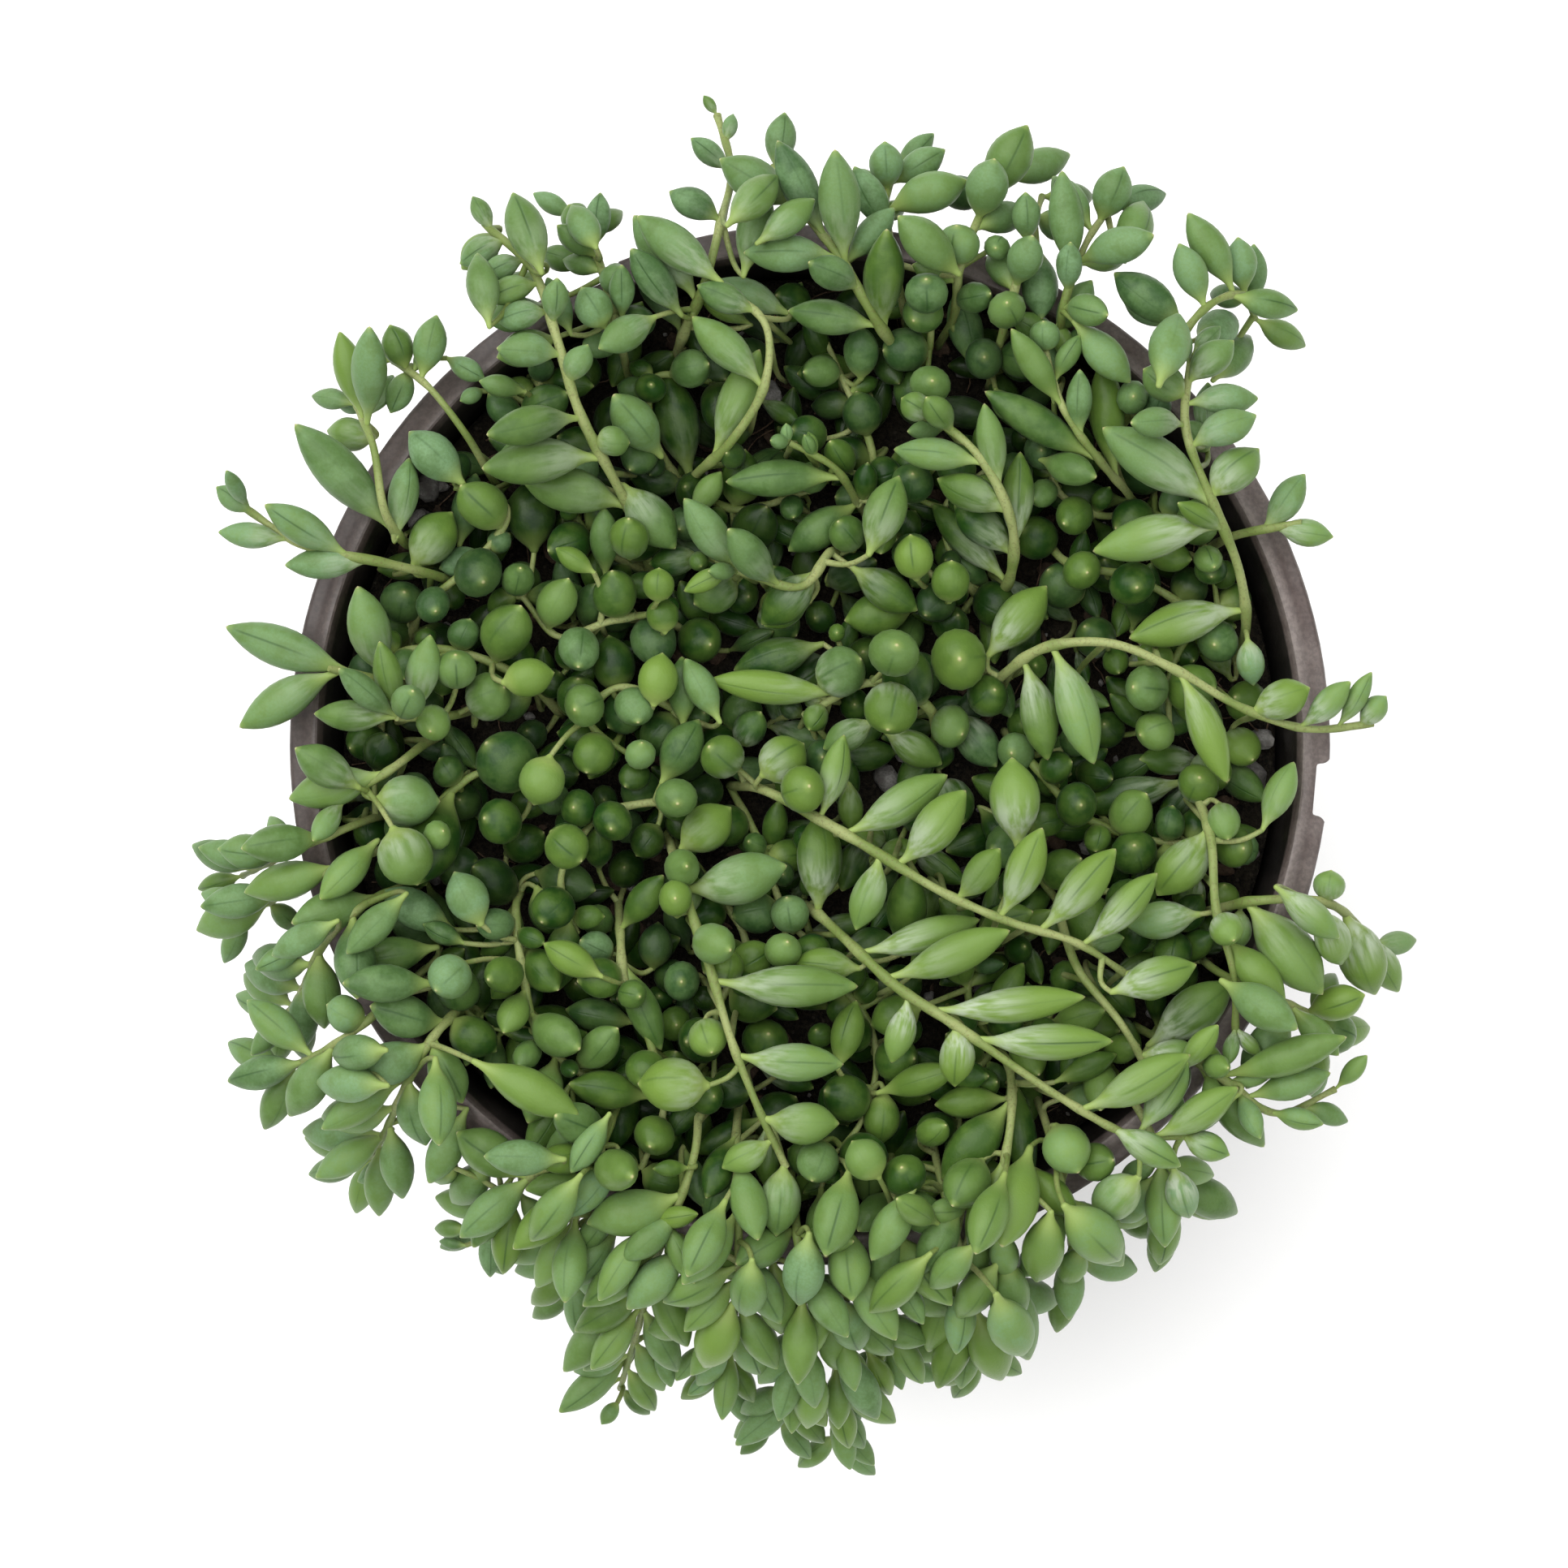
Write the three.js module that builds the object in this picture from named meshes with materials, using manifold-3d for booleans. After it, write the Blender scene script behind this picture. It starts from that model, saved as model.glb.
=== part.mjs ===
// A potted string of raindrops, seen in the order in which it is put together: a six inch plastic
// nursery pot, the soil that fills it, and the trailing stems with their plump leaves.
// Millimetres, +Z up. The origin is the middle of the flat underside of the pot.

import * as THREE from 'three';
import { mergeVertices } from 'three/addons/utils/BufferGeometryUtils.js';
import Module from 'manifold-3d';

const wasm = await Module();
wasm.setup();

// Driving dimensions of the pot
const POT_HEIGHT = 115;
const RIM_RADIUS = 75;
const FOOT_RADIUS = 53;
const WALL = 1.8;
const SKIRT_DEPTH = 13;
const FLANGE_WIDTH = 1.9;
const LIP_WIDTH = 3.2;
const POT_SIDES = 40;
const NOTCH_COUNT = 3;
const NOTCH_LENGTH = 10;
const NOTCH_FIRST_ANGLE = -5;
const DRAIN_COUNT = 6;
const DRAIN_RADIUS = 4;
const DRAIN_SIDES = 8;
const DRAIN_CIRCLE = 36;

// Driving dimensions of the soil
const SOIL_DEPTH_AT_WALL = 13.5;
const SOIL_CROWN = 3;
const SOIL_BUMP = 0.6;
const SOIL_SIDES = 20;
const SOIL_RINGS = 4;
const CLEARANCE = 0.3;

// Driving dimensions of the plant
const STEM_RADIUS = 1;
const STEM_SIDES = 3;
const ROOT_DEPTH = 4.5;
const RISER = 2.6;
const HOLE_RADIUS = 1.95;
const BEAD = 2.1;
const BEADS_PER_STEP = 5;
const STEM_GAP = 3.4;
const LEAF_GAP = 0.32;
const PEA_STALK = 0.1;
const SEED = 20417;

// The plan view: one unit of the routes below is this many millimetres at the height of the rim,
// seen from an eye this far above it, with the pot's axis at this point.
const PLAN_UNIT = 0.11664;
const PLAN_CENTRE_X = 998;
const PLAN_CENTRE_Y = 918;
const EYE_HEIGHT = 900;

// Each stem has a name, a route, its hand-placed leaves and the habit of the leaves that follow a rule.
// A row with no name is a fork of the stem above it, and leaves it at the top of its root.
// A route point is [across, down, height above the rim]; a stem's first point is its root, at the soil.
// A hand-placed leaf is [place along the stem, tip across, tip down, rise of the tip, width].
// A habit is [first place, last place, spacing, length at first, length at last,
//             plumpness at first, plumpness at last, opening angle, spread angle].
const STEMS = [
  ['stem_northwest_arch',
    [[800, 705, 0], [792, 660, 0], [768, 612, 6], [738, 558, 10], [706, 495, 13], [688, 440, 14],
      [680, 385, 13], [664, 335, 11], [632, 305, 8], [596, 276, 5]],
    [[0.24, 643, 592, 3, 7], [0.38, 592, 578, 1, 7], [0.48, 598, 537, 1, 5.8], [0.42, 776, 546, 1, 4.6],
      [0.62, 611, 430, 3, 5.2], [0.56, 724, 425, 2, 4.2], [0.72, 601, 398, 3, 5.2], [0.79, 588, 371, 3, 5],
      [0.69, 686, 343, 4, 4], [0.86, 583, 346, 2, 4.6], [0.93, 566, 326, 1, 4.4], [0.9, 655, 290, 3, 3.2]],
    [0.97, 1, 5, 6, 5, 0.5, 0.6, 30, 60]],
  ['',
    [[752, 680, -3], [702, 650, -2], [690, 602, -2], [642, 560, -1], [632, 505, -2], [668, 470, -3]],
    [],
    [0.1, 1, 6, 9, 10, 0.72, 0.6, 68, 62]],
  ['stem_middle_curl',
    [[1042, 700, 0], [1022, 668, 2], [1018, 700, 6], [1002, 726, 7], [972, 738, 7], [935, 726, 7],
      [905, 702, 7]],
    [[0.95, 842, 614, 3, 5.6], [0.78, 896, 652, 2, 5.6], [0.5, 938, 770, -1, 6.2]],
    [0.97, 1, 5, 8, 8, 0.4, 0.4, 30, 60]],
  ['stem_centre_hook',
    [[1072, 640, 0], [1046, 602, 3], [1018, 562, 7], [992, 541, 8], [972, 546, 8]],
    [[0.55, 893, 594, 1, 5.7], [0.3, 957, 689, 1, 6.6]],
    [0.8, 1, 4, 4.5, 4, 0.5, 0.6, 40, 70]],
  ['',
    [[1102, 664, -4], [1136, 690, -2], [1160, 722, -2]],
    [],
    [0.2, 1, 5.5, 7.5, 7.5, 0.86, 0.8, 74, 60]],
  ['',
    [[1086, 604, -3], [1074, 545, -2], [1058, 495, -1], [1036, 462, -3]],
    [[0.3, 1108, 580, 4, 6.2], [0.6, 1055, 482, 3, 6]],
    [0.15, 1, 5.5, 8, 8.5, 0.82, 0.6, 70, 62]],
  ['stem_centre_right',
    [[1222, 748, 0], [1246, 712, 1], [1257, 675, 6], [1246, 638, 9], [1231, 600, 11], [1209, 558, 12],
      [1172, 528, 11], [1128, 500, 9]],
    [[0.52, 1154, 590, 0, 5.6], [0.34, 1164, 611, 0, 6.6], [0.2, 1148, 620, -1, 5.3],
      [0.36, 1257, 556, 1, 5], [0.7, 1100, 554, -1, 5], [0.6, 1212, 497, 2, 4.4],
      [0.94, 1110, 491, 1, 4.4], [0.85, 1140, 490, 3, 4.4]],
    [0.97, 1, 5, 7, 6, 0.4, 0.5, 30, 60]],
  ['',
    [[1190, 722, -3], [1165, 692, -2], [1150, 645, -2], [1175, 600, -3], [1228, 570, -3]],
    [],
    [0.1, 1, 6, 8, 8, 0.84, 0.7, 72, 60]],
  ['stem_northeast_sprig',
    [[1402, 622, 0], [1384, 598, 3], [1346, 560, 7], [1311, 512, 9], [1292, 460, 9], [1286, 425, 8]],
    [[0.5, 1212, 482, 2, 5.6], [0.36, 1358, 440, 2, 5.4], [0.97, 1285, 396, 3, 4.6],
      [0.12, 1278, 609, 0, 5.4], [0.62, 1330, 455, 3, 4], [0.75, 1245, 405, 2, 4.4]],
    [0.85, 1, 5, 8, 7, 0.42, 0.5, 40, 70]],
  ['',
    [[1440, 642, -1], [1476, 655, 0], [1500, 700, -2], [1500, 745, -4]],
    [],
    [0.2, 1, 6.2, 8.6, 7.6, 0.9, 0.84, 76, 55]],
  ['',
    [[1362, 640, -3], [1312, 618, -2], [1282, 580, -2], [1300, 540, -3]],
    [],
    [0.15, 1, 6, 9, 9, 0.66, 0.6, 66, 62]],
  ['stem_east_runner',
    [[1528, 812, 0], [1538, 768, 1], [1531, 710, 6], [1502, 640, 10], [1484, 598, 12], [1462, 545, 13],
      [1452, 510, 12], [1462, 470, 10], [1468, 440, 8]],
    [[0.52, 1345, 680, 1, 6.6], [0.57, 1357, 527, 3, 7.6], [0.26, 1390, 787, 1, 6.6],
      [0.6, 1551, 553, 0, 6.4], [0.74, 1548, 512, 0, 5.4], [0.8, 1392, 522, 3, 4.6],
      [0.88, 1408, 455, 2, 5.6], [0.92, 1520, 420, 1, 5.2], [0.86, 1565, 490, -1, 5.6],
      [0.5, 1450, 620, 3, 3.4]],
    [0.97, 1, 5, 8, 8, 0.42, 0.45, 35, 70]],
  ['stem_long_east_runner',
    [[1212, 856, 0], [1242, 826, 4], [1290, 793, 9], [1340, 786, 11], [1400, 800, 12], [1470, 838, 11],
      [1530, 875, 9], [1580, 893, 8], [1640, 905, 7], [1678, 903, 6], [1692, 892, 6]],
    [[0.22, 1291, 938, 0, 5.8], [0.3, 1348, 943, 0, 6.4], [0.57, 1512, 966, -1, 5.4],
      [0.74, 1614, 848, 2, 6], [0.84, 1664, 840, 3, 4.2], [0.92, 1690, 828, 3, 3.2],
      [0.97, 1708, 858, 2, 3.8]],
    [1, 1, 5, 5, 5, 0.5, 0.5, 30, 60]],
  ['stem_long_southeast_runner',
    [[898, 968, 0], [945, 972, 3], [1008, 1010, 8], [1060, 1040, 11], [1130, 1080, 13], [1190, 1120, 14],
      [1240, 1137, 14], [1300, 1150, 14], [1350, 1172, 12], [1392, 1204, 8]],
    [[0.36, 1168, 955, 1, 6], [0.48, 1190, 974, 2, 6.6], [0.61, 1232, 1046, 3, 5],
      [0.7, 1284, 1020, 3, 5.8], [0.78, 1375, 1046, 2, 6], [0.87, 1426, 1076, 1, 5.2],
      [0.44, 1054, 1147, 0, 5.2], [0.47, 1090, 1202, 0, 7], [0.3, 1040, 905, 2, 4.6],
      [0.98, 1440, 1225, 0, 5]],
    [1, 1, 5, 9, 9, 0.4, 0.4, 35, 60]],
  ['',
    [[922, 1012, -4], [950, 1062, -2], [966, 1120, 0], [988, 1178, -1], [1042, 1186, -2]],
    [],
    [0.15, 1, 6, 8, 8, 0.8, 0.8, 72, 60]],
  ['stem_southeast_fork',
    [[1306, 1112, 0], [1314, 1160, 4], [1340, 1222, 8], [1372, 1248, 9], [1400, 1284, 8], [1418, 1325, 5]],
    [[0.58, 1489, 1182, 2, 7], [0.76, 1524, 1214, 1, 6.8], [0.9, 1480, 1300, -1, 5.4]],
    [0.97, 1, 5, 9, 8, 0.42, 0.42, 35, 60]],
  ['',
    [[1284, 1070, -4], [1244, 1034, -3], [1250, 985, -2]],
    [],
    [0.2, 1, 6, 8.5, 9, 0.72, 0.8, 70, 60]],
  ['',
    [[1352, 1090, -3], [1402, 1108, -2], [1442, 1148, -2]],
    [],
    [0.2, 1, 6, 8.5, 9, 0.8, 0.7, 70, 60]],
  ['stem_long_south_runner',
    [[985, 1112, 0], [1016, 1132, 5], [1056, 1172, 10], [1085, 1205, 12], [1140, 1240, 14],
      [1190, 1272, 15], [1250, 1316, 15], [1320, 1362, 13], [1380, 1395, 11], [1440, 1415, 9],
      [1468, 1400, 8]],
    [[0.13, 1010, 1000, 2, 7], [0.28, 1208, 1133, -1, 5.2], [0.35, 1245, 1147, 2, 6],
      [0.45, 1338, 1229, 1, 5.4], [0.54, 1372, 1284, 1, 5.6], [0.66, 1375, 1298, 1, 5],
      [0.77, 1467, 1300, 2, 6], [0.92, 1526, 1340, 2, 5.2], [0.98, 1515, 1424, 1, 4.4],
      [0.4, 1098, 1311, -1, 4.6], [0.83, 1455, 1438, -1, 4.8], [0.5, 1176, 1340, -2, 5.4]],
    [1, 1, 5, 9, 9, 0.4, 0.4, 35, 60]],
  ['',
    [[1012, 1180, -4], [1040, 1240, -3], [1092, 1256, -1], [1082, 1312, -2], [1056, 1372, 1],
      [1062, 1420, 3], [1014, 1436, 3]],
    [],
    [0.15, 1, 6.2, 7.6, 7.6, 0.84, 0.88, 74, 58]],
  ['stem_middle_south_runner',
    [[820, 1026, 0], [832, 1060, 3], [850, 1120, 8], [868, 1175, 10], [885, 1225, 12], [905, 1300, 12],
      [935, 1370, 11], [958, 1412, 9], [968, 1438, 7]],
    [[0.28, 970, 1067, 2, 7.6], [0.2, 846, 1068, 7, 5.8], [0.4, 900, 1172, 7, 6.2],
      [0.44, 951, 1168, 1, 5.6], [0.52, 1058, 1216, 1, 6.4], [0.7, 1040, 1312, 1, 5.8],
      [0.86, 1034, 1385, 1, 6.4], [0.92, 889, 1440, -1, 4.8], [0.99, 956, 1524, 0, 6.4]],
    [1, 1, 5, 9, 9, 0.4, 0.4, 35, 60]],
  ['',
    [[862, 1080, -5], [902, 1112, -4], [930, 1160, -3], [902, 1222, -3], [862, 1272, -3], [880, 1330, -2]],
    [],
    [0.15, 1, 6.2, 8, 8, 0.84, 0.84, 74, 58]],
  ['stem_east_descent',
    [[1464, 952, 0], [1484, 1000, 3], [1496, 1050, 8], [1495, 1090, 9], [1500, 1150, 9], [1522, 1200, 8],
      [1530, 1245, 6], [1522, 1275, 4]],
    [[0.34, 1425, 1104, 1, 7], [0.42, 1384, 1141, 1, 6.2], [0.06, 1325, 996, 2, 5.6],
      [0.12, 1478, 958, 7, 6.4], [0.62, 1520, 1160, 5, 5.2], [0.6, 1440, 1175, 0, 4.6],
      [0.94, 1470, 1300, -1, 5.2]],
    [0.97, 1, 5, 8, 8, 0.42, 0.42, 35, 60]],
  ['stem_south_cascade',
    [[1232, 1292, 0], [1250, 1332, 5], [1245, 1385, 9], [1237, 1440, 9], [1226, 1500, 6], [1228, 1550, 1],
      [1226, 1605, -12], [1222, 1640, -28]],
    [[0.12, 1272, 1490, 0, 5.8], [0.24, 1160, 1456, 0, 7], [0.36, 1196, 1546, -1, 6],
      [0.4, 1262, 1530, -2, 5.6], [0.55, 1178, 1622, -6, 6.2], [0.6, 1268, 1676, -10, 7]],
    [0.62, 1, 6, 14, 10, 0.42, 0.4, 34, 80]],
  ['',
    [[1272, 1250, -3], [1312, 1258, -2], [1350, 1298, -3]],
    [],
    [0.15, 1, 6, 10, 10, 0.5, 0.5, 58, 66]],
  ['',
    [[1200, 1242, -3], [1172, 1192, -2], [1204, 1150, -3]],
    [],
    [0.15, 1, 6, 10, 10, 0.5, 0.5, 58, 66]],
  ['',
    [[1190, 1332, -3], [1168, 1382, -1], [1180, 1432, 0]],
    [],
    [0.15, 1, 6, 9, 9, 0.6, 0.6, 62, 62]],
  ['stem_north_crown',
    [[1120, 462, 0], [1100, 422, 3], [1076, 395, 8], [1052, 345, 10], [1025, 300, 9], [988, 262, 6],
      [962, 228, 2], [952, 205, -2]],
    [[0.8, 886, 196, 1, 6.4], [0.66, 957, 173, 3, 5.6], [0.56, 1028, 184, 3, 6.4],
      [0.3, 1092, 282, 3, 6.2], [0.58, 915, 312, 1, 5.8], [0.42, 1083, 262, 1, 5],
      [0.34, 970, 383, 1, 5.4], [0.97, 967, 138, 0, 4.8], [0.48, 985, 318, 1, 6]],
    [1, 1, 5, 9, 9, 0.4, 0.4, 35, 60]],
  ['',
    [[1150, 450, -2], [1142, 408, 1], [1146, 362, 4], [1180, 318, 5], [1226, 304, 5]],
    [],
    [0.1, 1, 6.2, 7.8, 7.8, 0.9, 0.86, 76, 55]],
  ['stem_north_sprig',
    [[828, 446, 0], [846, 400, 3], [870, 350, 8], [884, 300, 9], [889, 262, 6], [900, 230, 2],
      [905, 195, -2], [890, 160, -5], [884, 142, -6]],
    [[0.34, 780, 265, 2, 6.2], [0.2, 775, 310, 1, 5.4], [0.6, 824, 236, 1, 4.8], [0.68, 847, 203, 1, 4.8],
      [0.8, 851, 170, 1, 3.6], [0.78, 908, 142, 1, 4.8], [0.72, 936, 180, 1, 4.2]],
    [0.9, 1, 3.5, 5, 4, 0.5, 0.5, 30, 70]],
  ['stem_inner_curl',
    [[845, 600, 0], [868, 572, 4], [905, 545, 8], [938, 490, 10], [955, 435, 11], [948, 395, 10],
      [918, 368, 9], [884, 354, 8]],
    [[0.1, 820, 456, 2, 7], [0.05, 745, 487, 1, 6.6], [0.3, 936, 430, 3, 6], [0.6, 852, 390, 1, 5.6],
      [0.86, 858, 352, 0, 4.6], [0.04, 775, 587, 1, 5]],
    [1, 1, 5, 9, 9, 0.4, 0.4, 35, 60]],
  ['',
    [[815, 560, -3], [790, 512, -2], [792, 462, -1], [840, 444, -1], [876, 470, -3]],
    [],
    [0.1, 1, 6, 9, 8.5, 0.62, 0.72, 66, 62]],
  ['',
    [[884, 622, -3], [928, 640, -2], [962, 612, -2], [1000, 604, -3]],
    [],
    [0.15, 1, 6, 8.5, 8.5, 0.72, 0.78, 70, 62]],
  ['stem_west_sprig',
    [[568, 722, 0], [530, 706, 3], [470, 692, 8], [415, 685, 10], [362, 672, 9], [330, 655, 8],
      [300, 625, 6]],
    [[0.52, 350, 697, 1, 4.8], [0.6, 325, 622, 2, 5.2], [0.74, 315, 583, 2, 4.6], [0.8, 268, 656, 0, 4],
      [0.96, 266, 600, 1, 3.6], [0.98, 278, 580, 2, 2.6], [0.1, 602, 680, 5, 5.4],
      [0.08, 550, 752, 4, 5.8], [0.04, 632, 655, 5, 4]],
    [1, 1, 5, 9, 9, 0.4, 0.4, 35, 60]],
  ['stem_west_fan',
    [[512, 846, 0], [470, 838, 3], [432, 828, 5], [405, 824, 6]],
    [[0.8, 277, 772, 1, 6.2], [0.9, 294, 897, 0, 6], [0.5, 440, 722, 4, 6.6]],
    [1, 1, 5, 9, 9, 0.4, 0.4, 35, 60]],
  ['stem_west_rosette',
    [[582, 872, 0], [548, 884, 3], [515, 890, 7], [488, 884, 9]],
    [[0.94, 467, 790, 3, 4.4], [0.8, 530, 782, 3, 5.2], [0.97, 416, 824, 2, 4.2], [0.98, 386, 880, 0, 4.8],
      [0.9, 508, 852, 6, 5.2], [0.6, 528, 905, 7, 6.4]],
    [1, 1, 5, 9, 9, 0.4, 0.4, 35, 60]],
  ['stem_left_middle',
    [[540, 905, 0], [505, 928, 4], [476, 955, 6], [450, 974, 6], [425, 985, 5]],
    [[0.72, 355, 985, 0, 6.2], [0.62, 362, 922, 1, 5.4], [0.3, 550, 985, 3, 8.4]],
    [0.95, 1, 5, 9, 9, 0.42, 0.42, 35, 60]],
  ['stem_far_west_leaf',
    [[512, 668, 0], [492, 668, 2], [478, 656, 4], [468, 610, 7], [462, 560, 7], [455, 520, 4],
      [440, 500, 0]],
    [[0.34, 362, 522, 3, 6.9], [0.1, 500, 560, 3, 5.2], [0.8, 400, 558, 1, 4.8], [0.9, 418, 408, 2, 4.8],
      [0.86, 455, 402, 3, 5.6]],
    [0.9, 1, 5, 9, 8, 0.42, 0.42, 40, 80]],
  ['stem_northwest_sprig',
    [[612, 600, 0], [592, 566, 3], [568, 525, 7], [545, 492, 8], [510, 460, 5], [485, 445, 0]],
    [[0.8, 538, 388, 1, 5], [0.9, 480, 400, 2, 4.8], [0.2, 500, 530, 1, 6.4]],
    [0.86, 1, 4, 8, 7, 0.42, 0.45, 45, 85]],
  ['stem_centre_peas',
    [[1158, 930, 0], [1150, 880, 1], [1140, 845, 3], [1098, 838, 4], [1055, 838, 3], [1020, 850, 2],
      [990, 882, 0]],
    [[0.36, 1104, 800, 8, 7.8], [0.28, 1200, 806, 7, 9.4], [0.42, 1094, 896, 6, 8],
      [0.22, 1186, 905, 5, 8.2], [0.62, 1030, 818, 6, 7.6], [0.8, 872, 838, 2, 5.2],
      [0.72, 902, 818, -1, 5.8], [0.12, 1160, 948, 1, 5.2]],
    [0.9, 1, 5, 7, 7, 0.8, 0.8, 60, 60]],
  ['stem_east_fringe_upper',
    [[1486, 1128, 0], [1512, 1116, 4], [1552, 1108, 7], [1600, 1107, 7], [1640, 1110, 4], [1668, 1132, -2],
      [1690, 1165, -12]],
    [[0.34, 1630, 1226, -1, 8.2], [0.5, 1662, 1178, -1, 6.8], [0.72, 1695, 1226, -4, 7.4],
      [0.62, 1640, 1072, 1, 5.2], [0.84, 1720, 1190, -5, 6.4]],
    [0.9, 1, 5, 10, 9, 0.45, 0.45, 40, 80]],
  ['stem_east_bud',
    [[1490, 676, 0], [1530, 655, 5], [1580, 642, 6], [1604, 644, 6]],
    [[0.72, 1608, 584, 2, 4.8], [0.8, 1643, 662, 1, 4.2]],
    [1, 1, 5, 9, 9, 0.4, 0.4, 35, 60]],
  ['stem_northeast_corner',
    [[1386, 522, 0], [1424, 468, 4], [1460, 412, 8], [1484, 376, 9], [1514, 356, 7], [1538, 362, 2],
      [1546, 392, -6]],
    [[0.74, 1463, 262, 3, 5.4], [0.82, 1525, 292, 2, 5], [0.5, 1372, 336, 1, 6.2],
      [0.42, 1383, 368, 0, 4.8], [0.6, 1452, 300, 2, 5], [0.93, 1545, 300, 1, 4.4]],
    [0.72, 1, 5, 11, 9, 0.42, 0.42, 42, 80]],
  ['stem_north_east_tall',
    [[1158, 420, 0], [1168, 372, 4], [1180, 325, 8], [1198, 282, 8], [1215, 250, 4], [1232, 220, -4]],
    [[0.8, 1266, 154, 3, 6.8], [0.7, 1225, 196, 2, 6.4], [0.5, 1178, 278, 4, 6.4]],
    [0.3, 1, 6, 12, 12, 0.5, 0.45, 42, 75]],
  ['stem_north_east_wide',
    [[1302, 470, 0], [1306, 420, 3], [1310, 372, 8], [1322, 325, 9], [1345, 288, 5], [1366, 258, -2]],
    [[0.9, 1385, 205, 2, 5.8], [0.66, 1422, 290, 1, 5.6], [0.6, 1308, 210, 3, 5.4]],
    [0.3, 1, 6, 12, 11, 0.48, 0.44, 42, 80]],
  ['stem_north_east_middle',
    [[1222, 470, 0], [1232, 420, 3], [1246, 370, 7], [1262, 318, 8], [1274, 272, 4], [1284, 242, -5]],
    [],
    [0.2, 1, 6, 10, 12, 0.62, 0.44, 45, 75]],
  ['stem_north_middle',
    [[1118, 395, 0], [1108, 350, 3], [1096, 306, 7], [1090, 268, 5], [1092, 236, 0], [1102, 212, -6]],
    [[0.9, 1165, 184, 1, 4.8], [0.84, 1090, 174, 2, 5.2], [0.7, 1192, 222, 1, 6.2],
      [0.6, 1052, 205, 1, 5]],
    [0.66, 1, 4.5, 9, 8, 0.42, 0.42, 42, 80]],
  ['stem_north_west_bud',
    [[775, 470, 0], [762, 410, 3], [750, 358, 7], [738, 318, 5], [722, 288, 0], [710, 268, -4]],
    [[0.9, 700, 252, 2, 5], [0.4, 808, 395, 1, 5], [0.56, 766, 330, 4, 4.4]],
    [0.3, 1, 5, 8, 8, 0.6, 0.42, 45, 80]],
  ['stem_south_fringe_one',
    [[868, 1322, 0], [860, 1380, 4], [855, 1440, 8], [834, 1490, 6], [810, 1540, 1], [797, 1590, -8],
      [786, 1640, -20], [774, 1680, -32], [766, 1708, -44]],
    [[0.3, 722, 1508, -1, 7], [0.42, 800, 1430, 3, 5]],
    [0.42, 1, 5.5, 15, 9, 0.4, 0.38, 46, 80]],
  ['stem_south_fringe_two',
    [[772, 1330, 0], [752, 1385, 4], [730, 1440, 6], [712, 1490, 1], [704, 1535, -10], [706, 1570, -26],
      [712, 1595, -42]],
    [],
    [0.2, 1, 5.5, 15, 10, 0.42, 0.38, 46, 80]],
  ['stem_south_fringe_three',
    [[912, 1350, 0], [905, 1420, 5], [908, 1500, 7], [912, 1560, 3], [906, 1610, -6], [900, 1655, -20],
      [893, 1690, -38]],
    [],
    [0.16, 1, 5.5, 15, 9.5, 0.42, 0.38, 46, 80]],
  ['stem_south_fringe_four',
    [[975, 1452, 0], [980, 1500, 5], [986, 1560, 5], [990, 1620, -4], [984, 1675, -18], [970, 1718, -36],
      [956, 1752, -54]],
    [],
    [0.2, 1, 5.5, 15, 8.5, 0.42, 0.38, 46, 80]],
  ['stem_south_fringe_five',
    [[1022, 1408, 0], [1032, 1480, 4], [1046, 1550, 4], [1042, 1610, -3], [1032, 1665, -16],
      [1030, 1725, -36], [1036, 1775, -58]],
    [],
    [0.2, 1, 5.5, 15, 8.5, 0.42, 0.38, 46, 80]],
  ['stem_south_fringe_six',
    [[1098, 1420, 0], [1102, 1490, 5], [1098, 1550, 4], [1092, 1600, -6], [1096, 1640, -20],
      [1102, 1668, -36]],
    [],
    [0.2, 1, 5.5, 15, 10, 0.42, 0.38, 46, 80]],
  ['stem_south_fringe_seven',
    [[1150, 1392, 0], [1158, 1450, 5], [1172, 1505, 6], [1188, 1556, 3], [1196, 1600, -8],
      [1206, 1640, -26], [1212, 1668, -44]],
    [[0.3, 1100, 1475, 0, 6], [0.4, 1068, 1556, -2, 6.6]],
    [0.44, 1, 5.5, 15, 10, 0.42, 0.38, 46, 80]],
  ['stem_south_fringe_eight',
    [[1278, 1352, 0], [1292, 1392, 4], [1304, 1440, 7], [1314, 1490, 3], [1320, 1530, -6],
      [1322, 1556, -20]],
    [[0.5, 1384, 1560, -5, 7], [0.3, 1278, 1582, -4, 6.8], [0.12, 1316, 1408, 6, 7.6]],
    [0.5, 1, 6, 14, 12, 0.42, 0.4, 48, 80]],
  ['stem_southeast_fringe',
    [[1368, 1312, 0], [1404, 1368, 5], [1430, 1420, 4], [1442, 1462, -6], [1444, 1488, -22]],
    [[0.7, 1352, 1500, -6, 7.4], [0.9, 1382, 1510, -6, 7.4]],
    [0.5, 1, 5.5, 14, 11, 0.42, 0.4, 48, 80]],
  ['stem_east_fringe_middle',
    [[1474, 1172, 0], [1520, 1214, 6], [1566, 1226, 6], [1602, 1240, 3], [1622, 1262, -8],
      [1626, 1285, -22]],
    [[0.6, 1694, 1222, 0, 6.4], [0.72, 1670, 1282, -3, 6.4], [0.5, 1535, 1342, -3, 6.6],
      [0.56, 1572, 1330, -2, 6]],
    [0.5, 1, 6, 13, 11, 0.42, 0.4, 46, 80]],
  ['stem_east_fringe_lower',
    [[1404, 1268, 0], [1462, 1300, 5], [1520, 1336, 6], [1556, 1372, 3], [1592, 1384, 1], [1628, 1362, 0],
      [1645, 1342, -1]],
    [[0.62, 1640, 1322, 2, 4.8], [0.5, 1660, 1278, 2, 5.4], [0.4, 1558, 1414, -4, 6],
      [0.34, 1512, 1300, 1, 4.6]],
    [0.3, 1, 5.5, 10, 7, 0.42, 0.42, 38, 80]],
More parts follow.
